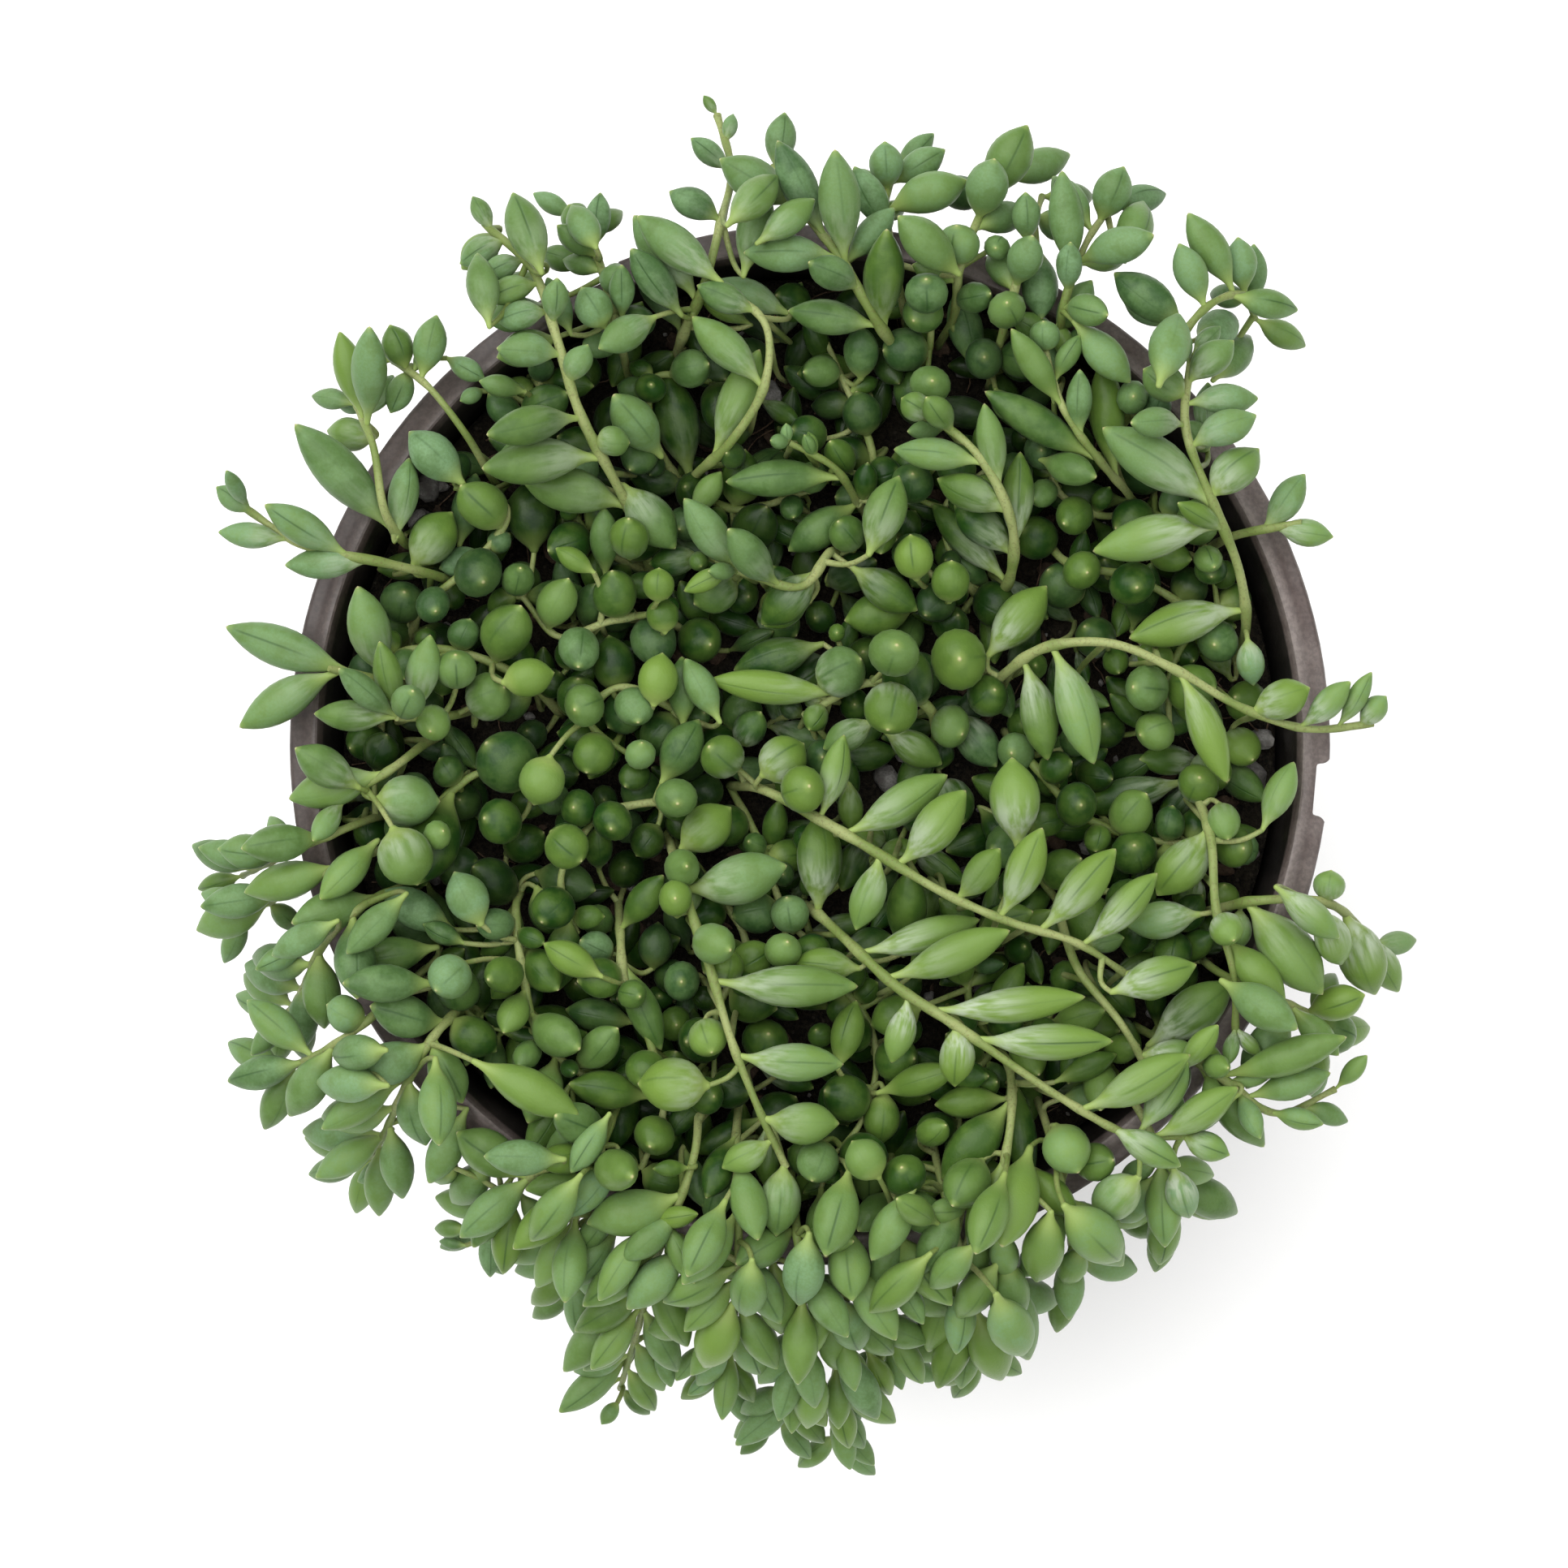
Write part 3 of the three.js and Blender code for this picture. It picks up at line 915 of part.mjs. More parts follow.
const POT_PLASTIC = new THREE.MeshStandardMaterial({ color: 0x5e504d, roughness: 0.55, metalness: 0 });
const SOIL_EARTH = new THREE.MeshStandardMaterial({ color: 0x2e2620, roughness: 0.95, metalness: 0 });
const LEAF_GREEN = new THREE.MeshStandardMaterial({ color: 0x5f8a4c, roughness: 0.5, metalness: 0 });

const stones = STONES.map(stoneSolid);
for (const stone of stones) {
  addBall(new THREE.Vector3(stone.x, stone.y, soilTop(stone.x, stone.y)), stone.radius, 'stone');
}
STEMS.forEach(layStem);
for (const stem of stems) placeByHand(stem);
for (const stem of stems) placeByRule(stem);

const plant = new THREE.Group();
plant.add(meshOf('pot', potSolid(), POT_PLASTIC));
plant.add(meshOf('soil', soilSolid(stones), SOIL_EARTH));
for (const { owner } of stems.filter(({ forks }) => !forks)) {
  plant.add(meshOf(owner, leafyStem(owner), LEAF_GREEN));
}

export default plant;
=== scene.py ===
"""The looks of a potted string of raindrops: a taupe nursery pot, its soil, and the trailing leafy stems."""
import math

import bpy
import numpy as np
from mathutils import Matrix, Vector, noise


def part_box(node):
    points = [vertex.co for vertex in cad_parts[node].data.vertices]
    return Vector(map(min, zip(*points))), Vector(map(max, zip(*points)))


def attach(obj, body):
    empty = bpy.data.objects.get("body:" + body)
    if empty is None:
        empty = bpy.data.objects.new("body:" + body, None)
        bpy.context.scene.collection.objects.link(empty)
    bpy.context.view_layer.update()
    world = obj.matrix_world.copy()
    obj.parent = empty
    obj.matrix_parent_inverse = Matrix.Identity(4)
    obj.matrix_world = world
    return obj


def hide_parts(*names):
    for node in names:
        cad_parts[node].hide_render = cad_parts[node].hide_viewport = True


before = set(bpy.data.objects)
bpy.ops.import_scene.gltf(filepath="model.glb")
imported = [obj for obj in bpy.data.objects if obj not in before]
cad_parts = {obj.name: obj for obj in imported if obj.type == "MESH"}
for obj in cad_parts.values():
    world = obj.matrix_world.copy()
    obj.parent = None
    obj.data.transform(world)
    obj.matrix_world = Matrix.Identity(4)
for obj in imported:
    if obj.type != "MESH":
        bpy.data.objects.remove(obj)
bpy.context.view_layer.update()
MM = 0.001


# The pot
# A six inch nursery pot of taupe polypropylene, moulded in one piece: a plain cone with a skirted rim,
# which has a raised bead inside a lower flange, and slots in the flange for the hooks of a hanger.
POT_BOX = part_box("pot")
RIM_RADIUS = POT_BOX[1].x / MM
POT_HEIGHT = POT_BOX[1].z / MM
FOOT_RADIUS = 53
WALL = 1.8
SKIRT_DEPTH = 13
FLANGE_WIDTH = 1.9
LIP_WIDTH = 3.2
POT_SIDES = 128
FLOOR = 2.4
WALL_TOP_RADIUS = RIM_RADIUS - 4.2
SKIRT_FOOT = POT_HEIGHT - SKIRT_DEPTH
LIP_OUTER = RIM_RADIUS - FLANGE_WIDTH
LIP_INNER = LIP_OUTER - LIP_WIDTH
INNER_TOP = LIP_INNER - 1.1
INNER_FOOT = FOOT_RADIUS - WALL
NOTCH_COUNT = 3
NOTCH_LENGTH = 7.5
NOTCH_DEPTH = 2.1
NOTCH_ROUND = 1.6
NOTCH_FIRST_ANGLE = -5
NOTCH_ARC_STEPS = 6
DRAIN_COUNT = 6
DRAIN_RADIUS = 4
DRAIN_CIRCLE = 36
DRAIN_SIDES = 32
POT_SHARP_ANGLE = 32


def arc(centre, radius, first, last, steps):
    """Points on an arc, as radius from the pot's axis and height."""
    angles = [math.radians(first + (last - first) * i / steps) for i in range(steps + 1)]
    return [(centre[0] + radius * math.cos(a), centre[1] + radius * math.sin(a)) for a in angles]


def draw_up(outline):
    """Extrudes the selected disc from ring to ring of an outline of radius and height."""
    for (radius, height), (next_radius, next_height) in zip(outline, outline[1:]):
        lift = {"value": (0, 0, (next_height - height) * MM)}
        bpy.ops.mesh.extrude_region_move(TRANSFORM_OT_translate=lift)
        grow = next_radius / radius
        bpy.ops.transform.resize(value=(grow, grow, 1), center_override=(0, 0, 0))


def pick(*pieces):
    """Selects these pieces and no others, and makes the first one active."""
    bpy.ops.object.select_all(action="DESELECT")
    for piece in pieces:
        piece.select_set(True)
    bpy.context.view_layer.objects.active = pieces[0]


def cut_away(piece, cutter):
    """Cuts one mesh out of another with a Boolean modifier, which is then applied."""
    cut = piece.modifiers.new("cut", "BOOLEAN")
    cut.operation = "DIFFERENCE"
    cut.solver = "EXACT"
    cut.object = cutter
    pick(piece)
    bpy.ops.object.modifier_apply(modifier=cut.name)
    bpy.data.objects.remove(cutter)


def settle(piece):
    """Puts the object's place, turn and size into its mesh."""
    pick(piece)
    bpy.ops.object.transform_apply(location=True, rotation=True, scale=True)


def open_mesh():
    """Goes into edit mode with the whole mesh selected."""
    bpy.ops.object.mode_set(mode="EDIT")
    bpy.ops.mesh.select_all(action="SELECT")


def close_mesh():
    """Turns all faces outwards and leaves edit mode."""
    bpy.ops.mesh.select_all(action="SELECT")
    bpy.ops.mesh.normals_make_consistent(inside=False)
    bpy.ops.object.mode_set(mode="OBJECT")


pot_outline = [
    (FOOT_RADIUS - 2.2, 0), (FOOT_RADIUS - 1.2, 0.15), (FOOT_RADIUS - 0.5, 0.7), (FOOT_RADIUS, 2),
    (FOOT_RADIUS + 0.95, 7.6), (FOOT_RADIUS + 1.55, 8.2), (FOOT_RADIUS + 1.75, 9.4),
    (WALL_TOP_RADIUS - 0.3, SKIRT_FOOT - 3), (WALL_TOP_RADIUS + 0.2, SKIRT_FOOT - 1.6),
    (WALL_TOP_RADIUS + 1.4, SKIRT_FOOT - 0.9), (RIM_RADIUS - 1.5, SKIRT_FOOT - 0.3),
    *arc((RIM_RADIUS - 1.35, SKIRT_FOOT + 0.75), 1, -70, 0, 4),
    (RIM_RADIUS - 0.02, POT_HEIGHT - 3.2),
    *arc((RIM_RADIUS - 1, POT_HEIGHT - 2.6), 1, 20, 80, 4), (LIP_OUTER + 0.2, POT_HEIGHT - 1.35),
    (LIP_OUTER - 0.5, POT_HEIGHT - 0.9), (LIP_OUTER - 1.1, POT_HEIGHT - 0.35),
    (LIP_OUTER - 1.6, POT_HEIGHT - 0.06), (LIP_OUTER - 1.9, POT_HEIGHT), (LIP_OUTER - 2.2, POT_HEIGHT - 0.14),
    (LIP_OUTER - 2.5, POT_HEIGHT - 0.7), (LIP_OUTER - 2.8, POT_HEIGHT - 1.5),
    (LIP_INNER + 0.1, POT_HEIGHT - 2.5), (LIP_INNER - 0.2, POT_HEIGHT - 3.6),
    (LIP_INNER - 0.5, POT_HEIGHT - 5), (INNER_TOP, SKIRT_FOOT - 1), (INNER_FOOT + 0.8, FLOOR + 2.4),
    (INNER_FOOT - 0.6, FLOOR + 0.5), (INNER_FOOT - 2, FLOOR),
]
bpy.ops.object.select_all(action="DESELECT")
bpy.ops.mesh.primitive_circle_add(vertices=POT_SIDES, radius=pot_outline[0][0] * MM, fill_type="NGON")
pot = bpy.context.active_object
pot.name = "pot_shell"
open_mesh()
draw_up(pot_outline)
close_mesh()
# The plan of half a notch from its floor out, as radius and half its length, with rounded corners.
notch_floor = RIM_RADIUS - NOTCH_DEPTH
notch_plan = [(notch_floor, NOTCH_LENGTH / 2 - 0.4), (notch_floor + 0.12, NOTCH_LENGTH / 2 - 0.12)]
for step in range(NOTCH_ARC_STEPS + 1):
    turn = math.radians(90 / NOTCH_ARC_STEPS * step)
    notch_plan.append((RIM_RADIUS - NOTCH_ROUND * (1 - math.sin(turn)),
                       NOTCH_LENGTH / 2 + NOTCH_ROUND * (1 - math.cos(turn))))
notch_plan.append((RIM_RADIUS + 1, NOTCH_LENGTH / 2 + NOTCH_ROUND))
for i in range(NOTCH_COUNT):
    bpy.ops.object.select_all(action="DESELECT")
    bpy.ops.mesh.primitive_plane_add(size=2 * notch_plan[0][1] * MM, rotation=(0, math.pi / 2, 0),
                                     location=(notch_plan[0][0] * MM, 0, SKIRT_FOOT * MM))
    notch = bpy.context.active_object
    notch.scale = (SKIRT_DEPTH * 3 / (2 * notch_plan[0][1]), 1, 1)
    settle(notch)
    open_mesh()
    for (radius, half), (next_radius, next_half) in zip(notch_plan, notch_plan[1:]):
        outward = {"value": ((next_radius - radius) * MM, 0, 0)}
        bpy.ops.mesh.extrude_region_move(TRANSFORM_OT_translate=outward)
        bpy.ops.transform.resize(value=(1, next_half / half, 1), center_override=(0, 0, 0))
    close_mesh()
    notch.rotation_euler = (0, 0, math.radians(NOTCH_FIRST_ANGLE + 360 / NOTCH_COUNT * i))
    settle(notch)
    cut_away(pot, notch)
for i in range(DRAIN_COUNT):
    angle = 2 * math.pi * (i + 0.5) / DRAIN_COUNT
    middle = (DRAIN_CIRCLE * MM * math.cos(angle), DRAIN_CIRCLE * MM * math.sin(angle), FLOOR / 2 * MM)
    bpy.ops.mesh.primitive_cylinder_add(vertices=DRAIN_SIDES, radius=DRAIN_RADIUS * MM, depth=FLOOR * 3 * MM,
                                        location=middle)
    drain = bpy.context.active_object
    settle(drain)
    cut_away(pot, drain)
pick(pot)
bpy.ops.object.shade_smooth_by_angle(angle=math.radians(POT_SHARP_ANGLE))


def add_node(tree, kind, **settings):
    """A shader node with its settings, and with the values of its named or numbered inputs."""
    made = tree.nodes.new(kind)
    values = settings.pop("inputs", {})
    for name, value in settings.items():
        setattr(made, name, value)
    for name, value in values.items():
        made.inputs[name].default_value = value
    return made


def join_up(tree, *pairs):
    """Links each output to its input."""
    for output, inlet in pairs:
        tree.links.new(output, inlet)


def spread(tree, value, low, high, to_low=0.0, to_high=1.0):
    """A value from low to high, spread smoothly over another range."""
    made = add_node(tree, "ShaderNodeMapRange", interpolation_type="SMOOTHSTEP",
                    inputs={"From Min": low, "From Max": high, "To Min": to_low, "To Max": to_high})
    join_up(tree, (value, made.inputs["Value"]))
    return made.outputs["Result"]


def work_out(tree, operation, first, second):
    """A Math node's result, of two outputs or numbers."""
    made = add_node(tree, "ShaderNodeMath", operation=operation)
    for value, inlet in ((first, made.inputs[0]), (second, made.inputs[1])):
        if isinstance(value, (int, float)):
            inlet.default_value = value
        else:
            join_up(tree, (value, inlet))
    return made.outputs[0]


def product(tree, first, second):
    """The product of two outputs, or of an output and a number."""
    return work_out(tree, "MULTIPLY", first, second)


def blend_colours(tree, share, first, second, mode="MIX"):
    """A mix of two colours, each an output or three numbers, by a share."""
    made = add_node(tree, "ShaderNodeMix", data_type="RGBA", blend_type=mode, clamp_result=True)
    for value, inlet in ((share, made.inputs[0]), (first, made.inputs[6]), (second, made.inputs[7])):
        if isinstance(value, (int, float)):
            inlet.default_value = value
        elif isinstance(value, tuple):
            inlet.default_value = (*value, 1)
        else:
            join_up(tree, (value, inlet))
    return made.outputs[2]


def make_group(name, inlets, outlets):
    """An empty node group with named inputs, each a kind and a value, and named outputs."""
    tree = bpy.data.node_groups.new(name, "ShaderNodeTree")
    for label, (kind, value) in inlets.items():
        socket = tree.interface.new_socket(label, in_out="INPUT", socket_type=kind)
        if value is not None:
            socket.default_value = value
    for label, kind in outlets.items():
        tree.interface.new_socket(label, in_out="OUTPUT", socket_type=kind)
    return tree, tree.nodes.new("NodeGroupInput").outputs, tree.nodes.new("NodeGroupOutput").inputs


NUMBER = "NodeSocketFloat"


def make_mottle():
    """Soft blotches and fine grain at two sizes, as masks from 0 to 1, and their height for a bump."""
    tree, given, wanted = make_group(
        "mottle", {"Blotches per metre": (NUMBER, 100.0), "Grains per metre": (NUMBER, 1500.0)},
        {"Blotches": NUMBER, "Grains": NUMBER, "Height": NUMBER})
    place = add_node(tree, "ShaderNodeTexCoord").outputs["Object"]
    blotches = add_node(tree, "ShaderNodeTexNoise", inputs={"Detail": 3.0, "Roughness": 0.55})
    grains = add_node(tree, "ShaderNodeTexNoise", inputs={"Detail": 2.0, "Roughness": 0.6})
    join_up(tree, (place, blotches.inputs["Vector"]), (place, grains.inputs["Vector"]),
            (given["Blotches per metre"], blotches.inputs["Scale"]),
            (given["Grains per metre"], grains.inputs["Scale"]))
    join_up(tree, (spread(tree, blotches.outputs["Fac"], 0.36, 0.64), wanted["Blotches"]),
            (spread(tree, grains.outputs["Fac"], 0.36, 0.64), wanted["Grains"]),
            (work_out(tree, "ADD", product(tree, blotches.outputs["Fac"], 2.0), grains.outputs["Fac"]),
             wanted["Height"]))
    return tree


MOTTLE = make_mottle()


def place_mottle(tree, blotches, grains):
    """The mottle group in a material, with its two sizes."""
    return add_node(tree, "ShaderNodeGroup", node_tree=MOTTLE,
                    inputs={"Blotches per metre": float(blotches), "Grains per metre": float(grains)}).outputs


def start_material(name, **values):
    """A material with a Principled BSDF, whose plain values are set on its own sockets."""
    material = bpy.data.materials.new(name)
    material.use_nodes = True
    tree = material.node_tree
    surface = tree.nodes["Principled BSDF"]
    for label, value in values.items():
        surface.inputs[label.replace("_", " ")].default_value = value
    return material, tree, surface


def add_bump(tree, surface, height, strength, distance):
    """A bump of a real depth in metres, from a height."""
    bump = add_node(tree, "ShaderNodeBump", inputs={"Strength": strength, "Distance": distance})
    join_up(tree, (height, bump.inputs["Height"]), (bump.outputs["Normal"], surface.inputs["Normal"]))


POT_TAUPE = (0.125, 0.097, 0.089)
POT_TAUPE_DARK = (0.088, 0.065, 0.059)
POT_TAUPE_PALE = (0.235, 0.20, 0.185)
# The next colour is painted shade, multiplied into the half of the pot away from the lower right; the
# direction after it points to that lit side.
POT_PAINTED_SHADE = (0.42, 0.38, 0.37)
PAINTED_LIGHT_SIDE = (0.8, -0.6, 0)
POT_INSIDE = (0.009, 0.007, 0.006)
POT_INSIDE_PALE = (0.028, 0.022, 0.019)


def paint_pot():
    """Satin taupe plastic, mottled, with painted shade on the half away from the lower right, a painted
    highlight along the top of the rim, and nearly black inside.
    """
    material, tree, surface = start_material("pot_plastic", Specular_IOR_Level=0.45)
    mottle = place_mottle(tree, 70, 1400)
    place = add_node(tree, "ShaderNodeTexCoord").outputs["Object"]
    streaks = add_node(tree, "ShaderNodeTexNoise", inputs={"Scale": 160.0, "Detail": 2.0})
    drawn = add_node(tree, "ShaderNodeMapping", inputs={"Scale": (1, 1, 0.06)})
    join_up(tree, (place, drawn.inputs["Vector"]), (drawn.outputs["Vector"], streaks.inputs["Vector"]))
    apart = add_node(tree, "ShaderNodeSeparateXYZ")
    flat = add_node(tree, "ShaderNodeCombineXYZ")
    radius = add_node(tree, "ShaderNodeVectorMath", operation="LENGTH")
    join_up(tree, (place, apart.inputs[0]), (apart.outputs[0], flat.inputs[0]),
            (apart.outputs[1], flat.inputs[1]), (flat.outputs[0], radius.inputs[0]))
    slope = (INNER_TOP - INNER_FOOT) / (SKIRT_FOOT - 1 - FLOOR)
    wall = product(tree, apart.outputs[2], slope)
    depth = work_out(tree, "SUBTRACT", radius.outputs["Value"], wall)
    foot = (INNER_FOOT - slope * FLOOR) * MM
    outside = work_out(tree, "MAXIMUM", spread(tree, depth, foot + 0.3 * MM, foot + 1.2 * MM),
                       spread(tree, apart.outputs[2], (POT_HEIGHT - 2.4) * MM, (POT_HEIGHT - 1.5) * MM))
    taupe = blend_colours(tree, mottle["Blotches"], POT_TAUPE_DARK, POT_TAUPE)
    taupe = blend_colours(tree, spread(tree, streaks.outputs["Fac"], 0.35, 0.75, 0.0, 0.35), taupe,
                          POT_TAUPE_PALE)
    # Painted highlight: the top millimetre of the rim is mixed toward pale taupe.
    painted_rim_highlight = spread(tree, apart.outputs[2], (POT_HEIGHT - 1.1) * MM, POT_HEIGHT * MM, 0.0, 0.55)
    taupe = blend_colours(tree, painted_rim_highlight, taupe, POT_TAUPE_PALE)
    # Painted shade: the half of the pot away from the lower right is darkened, as if lit from there.
    facing_lit_side = add_node(tree, "ShaderNodeVectorMath", operation="DOT_PRODUCT")
    facing_lit_side.inputs[1].default_value = PAINTED_LIGHT_SIDE
    join_up(tree, (place, facing_lit_side.inputs[0]))
    painted_side_shade = spread(tree, facing_lit_side.outputs["Value"], -0.06, 0.045, 0.8, 0.0)
    taupe = blend_colours(tree, painted_side_shade, taupe, POT_PAINTED_SHADE, "MULTIPLY")
    inside = blend_colours(tree, spread(tree, streaks.outputs["Fac"], 0.4, 0.75), POT_INSIDE, POT_INSIDE_PALE)
    colour = blend_colours(tree, outside, inside, taupe)
    dimmed = product(tree, mottle["Grains"], 0.25)
    speckled = blend_colours(tree, dimmed, colour, (0, 0, 0), "MULTIPLY")
    join_up(tree, (speckled, surface.inputs["Base Color"]),
            (spread(tree, mottle["Blotches"], 0.0, 1.0, 0.42, 0.6), surface.inputs["Roughness"]))
    add_bump(tree, surface, mottle["Height"], 0.35, 0.00012)
    return material


pot.data.materials.append(paint_pot())
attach(pot, "root")
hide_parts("pot")


# The soil
# A damp mix of bark, coir and pumice fills the pot to a finger's breadth below the rim. Its top is
# crowned and crumbly, with grains and chips that lie loose on it.
SOIL_DEPTH_AT_WALL = 13.5
SOIL_CROWN = 3
SOIL_BUMP = 0.6
CLEARANCE = 0.3
PLAN_UNIT = 0.11664
PLAN_CENTRE_X = 998
PLAN_CENTRE_Y = 918
EYE_HEIGHT = 900


def soil_top(x, y):
    """The height of the soil's top at a place, in millimetres."""
    reach = min(1, math.hypot(x, y) / INNER_TOP)
    crown = SOIL_CROWN * (1 - reach * reach)
    lumps = SOIL_BUMP * math.sin(x * 0.23 + 1.3) * math.cos(y * 0.19 - 0.4)
    return POT_HEIGHT - SOIL_DEPTH_AT_WALL + crown + lumps


def place(mark):
    """A place in millimetres from a point of the plan view and its height above the rim."""
    across, down, height = mark
    unit = PLAN_UNIT * (EYE_HEIGHT - height) / EYE_HEIGHT
    return np.array([(across - PLAN_CENTRE_X) * unit, (PLAN_CENTRE_Y - down) * unit, POT_HEIGHT + height])


# The lumps, crumbs and grit of the top: how many to a millimetre, the layer of the noise, and the height.
CRUMB_SIZES = [(0.16, 1.7, 0.55), (0.55, 4.1, 0.55), (1.5, 9.3, 0.3)]


def crumbs(x, y):
    """How far the crumbly top stands above or below its smooth form, in millimetres."""
    return sum(height * noise.noise(Vector((x * fine, y * fine, layer)))
               for fine, layer, height in CRUMB_SIZES)


SOIL_SIDES = 150
SOIL_RINGS = 62
SOIL_EDGE = INNER_TOP - 0.55 - CLEARANCE
bpy.ops.object.select_all(action="DESELECT")
bpy.ops.mesh.primitive_circle_add(vertices=SOIL_SIDES, radius=(INNER_FOOT - CLEARANCE - 1.2) * MM,
                                  location=(0, 0, (FLOOR + CLEARANCE) * MM), fill_type="NGON")
soil = bpy.context.active_object
soil.name = "soil_mix"
settle(soil)
open_mesh()
soil_level = POT_HEIGHT - SOIL_DEPTH_AT_WALL
draw_up([(INNER_FOOT - CLEARANCE - 1.2, FLOOR + CLEARANCE), (INNER_FOOT - CLEARANCE + 0.6, FLOOR + 3),
         (SOIL_EDGE - 0.4, soil_level - 1.2), (SOIL_EDGE, soil_level)])
for ring in range(SOIL_RINGS - 1):
    bpy.ops.mesh.inset(thickness=SOIL_EDGE / SOIL_RINGS * MM, use_boundary=True)
close_mesh()
for corner in soil.data.vertices:
    x, y = corner.co.x / MM, corner.co.y / MM
    if corner.co.z > (soil_level - 0.5) * MM:
        corner.co.z = (soil_top(x, y) + crumbs(x, y)) * MM
pick(soil)
bpy.ops.object.shade_smooth()

SOIL_BLACK = (0.003, 0.0025, 0.0018)
SOIL_BROWN = (0.011, 0.009, 0.0055)
SOIL_TAN = (0.03, 0.024, 0.015)
SOIL_DRY = (0.065, 0.055, 0.04)


def paint_soil():
    """Damp black brown earth, in crumbs of several browns with dry specks."""
    material, tree, surface = start_material("soil", Roughness=0.95, Specular_IOR_Level=0.2)
    mottle = place_mottle(tree, 260, 1700)
    specks = add_node(tree, "ShaderNodeTexVoronoi", inputs={"Scale": 620.0, "Randomness": 1.0})
    join_up(tree, (add_node(tree, "ShaderNodeTexCoord").outputs["Object"], specks.inputs["Vector"]))
    earth = blend_colours(tree, mottle["Blotches"], SOIL_BLACK, SOIL_BROWN)
    earth = blend_colours(tree, product(tree, mottle["Grains"], 0.5), earth, SOIL_TAN)
    dry = spread(tree, specks.outputs["Distance"], 0.1, 0.22, 0.45, 0.0)
    join_up(tree, (blend_colours(tree, dry, earth, SOIL_DRY), surface.inputs["Base Color"]))
    add_bump(tree, surface, mottle["Height"], 0.9, 0.0005)
    return material


soil.data.materials.append(paint_soil())
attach(soil, "root")
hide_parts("soil")


def copy_of(master, place_in_mm, turn, size):
    """A copy of a master piece with its own mesh, sized, turned and put in its place in the mesh."""
    made = master.copy()
    made.data = master.data.copy()
    matrix = Matrix.Translation(Vector(place_in_mm) * MM) @ turn @ Matrix.Diagonal((*size, 1))
    made.data.transform(matrix)
    bpy.context.collection.objects.link(made)
    return made


def join_pieces(pieces, name):
    """One piece of several, joined as one mesh."""
    pick(*pieces)
    bpy.ops.object.join()
    joined = bpy.context.active_object
    joined.name = name
    return joined


# The grains and chips on the soil
# Pumice grains up to six millimetres across, flakes of composted bark, and coir fibres, which lie
# where the mix was levelled by hand. The ten largest grains are where the solid has them.
STONES = [
    [872, 780, 2.4], [905, 770, 1.9], [950, 490, 2.2], [1092, 958, 2.2], [1118, 930, 1.6],
    [1540, 955, 2.9], [530, 600, 2.3], [1555, 910, 1.8], [520, 640, 1.7], [1190, 452, 2],
]
GRAINS = 150
CHIPS = 240
FIBRES = 150
FIBRE_RADIUS = 0.13
chance = np.random.default_rng(20417)


def make_lump(name, roughness, seed):
    """A stone or crumb a millimetre in radius: a ball of few faces, dented at random."""
    bpy.ops.object.select_all(action="DESELECT")
    bpy.ops.mesh.primitive_ico_sphere_add(subdivisions=2, radius=MM)
    lump = bpy.context.active_object
    lump.name = name
    for corner in lump.data.vertices:
        corner.co *= 1 + roughness * noise.noise(corner.co / MM * 1.1 + Vector((seed, 0, 0)))
    bpy.ops.object.shade_smooth_by_angle(angle=math.radians(40))
    return lump


def lie_on_soil(x, y, sunk):
    """A place on the crumbly top, sunk in it by a little."""
    return (x, y, soil_top(x, y) + crumbs(x, y) - sunk)


def random_turn():
    """A turn about the upright axis, and a tilt."""
    turned = Matrix.Rotation(chance.uniform(0, 6.28), 4, "Z")
    return turned @ Matrix.Rotation(chance.uniform(-0.6, 0.6), 4, "X")


def scatter(share):
    """A random place on the soil, in radius and angle."""
    return SOIL_EDGE * share * math.sqrt(chance.uniform(0.05, 1)), chance.uniform(0, 2 * math.pi)


lumps = [make_lump("lump", 0.45, seed) for seed in (0.3, 2.9, 7.7)]
grains = []
for across, down, radius in STONES:
    x, y, _ = place([across, down, -SOIL_DEPTH_AT_WALL])
    spot = (x, y, soil_top(x, y) + radius * 0.2)
    grains.append(copy_of(lumps[len(grains) % 3], spot, random_turn(), (radius, radius * 0.85, radius * 0.8)))
for i in range(GRAINS):
    reach, angle = scatter(0.985)
    radius = 0.35 + 1.1 * chance.uniform(0, 1) ** 2.5
    spot = lie_on_soil(reach * math.cos(angle), reach * math.sin(angle), -radius * 0.25)
    grains.append(copy_of(lumps[i % 3], spot, random_turn(), (radius, radius * 0.8, radius * 0.75)))
pumice = join_pieces(grains, "pumice_grains")

chips = []
for i in range(CHIPS):
    reach, angle = scatter(0.975)
    length = chance.uniform(0.7, 2.6)
    spot = lie_on_soil(reach * math.cos(angle), reach * math.sin(angle), -0.25)
    size = (length, length * chance.uniform(0.35, 0.8), length * chance.uniform(0.15, 0.4))
    chips.append(copy_of(lumps[i % 3], spot, random_turn(), size))
bark = join_pieces(chips, "bark_chips")


def make_tube(points, radii, sides, name):
    """A closed tube through points in millimetres, with a radius at each."""
    curve = bpy.data.curves.new(name, "CURVE")
    curve.dimensions = "3D"
    curve.bevel_depth = MM
    curve.bevel_resolution = sides // 2 - 2
    curve.use_fill_caps = True
    line = curve.splines.new("POLY")
    line.points.add(len(points) - 1)
    for spot, point, radius in zip(line.points, points, radii):
        spot.co = (point[0] * MM, point[1] * MM, point[2] * MM, 1)
        spot.radius = radius
    tube = bpy.data.objects.new(name, curve)
    bpy.context.collection.objects.link(tube)
    pick(tube)
    bpy.ops.object.convert(target="MESH")
    bpy.ops.object.shade_smooth()
    return bpy.context.active_object


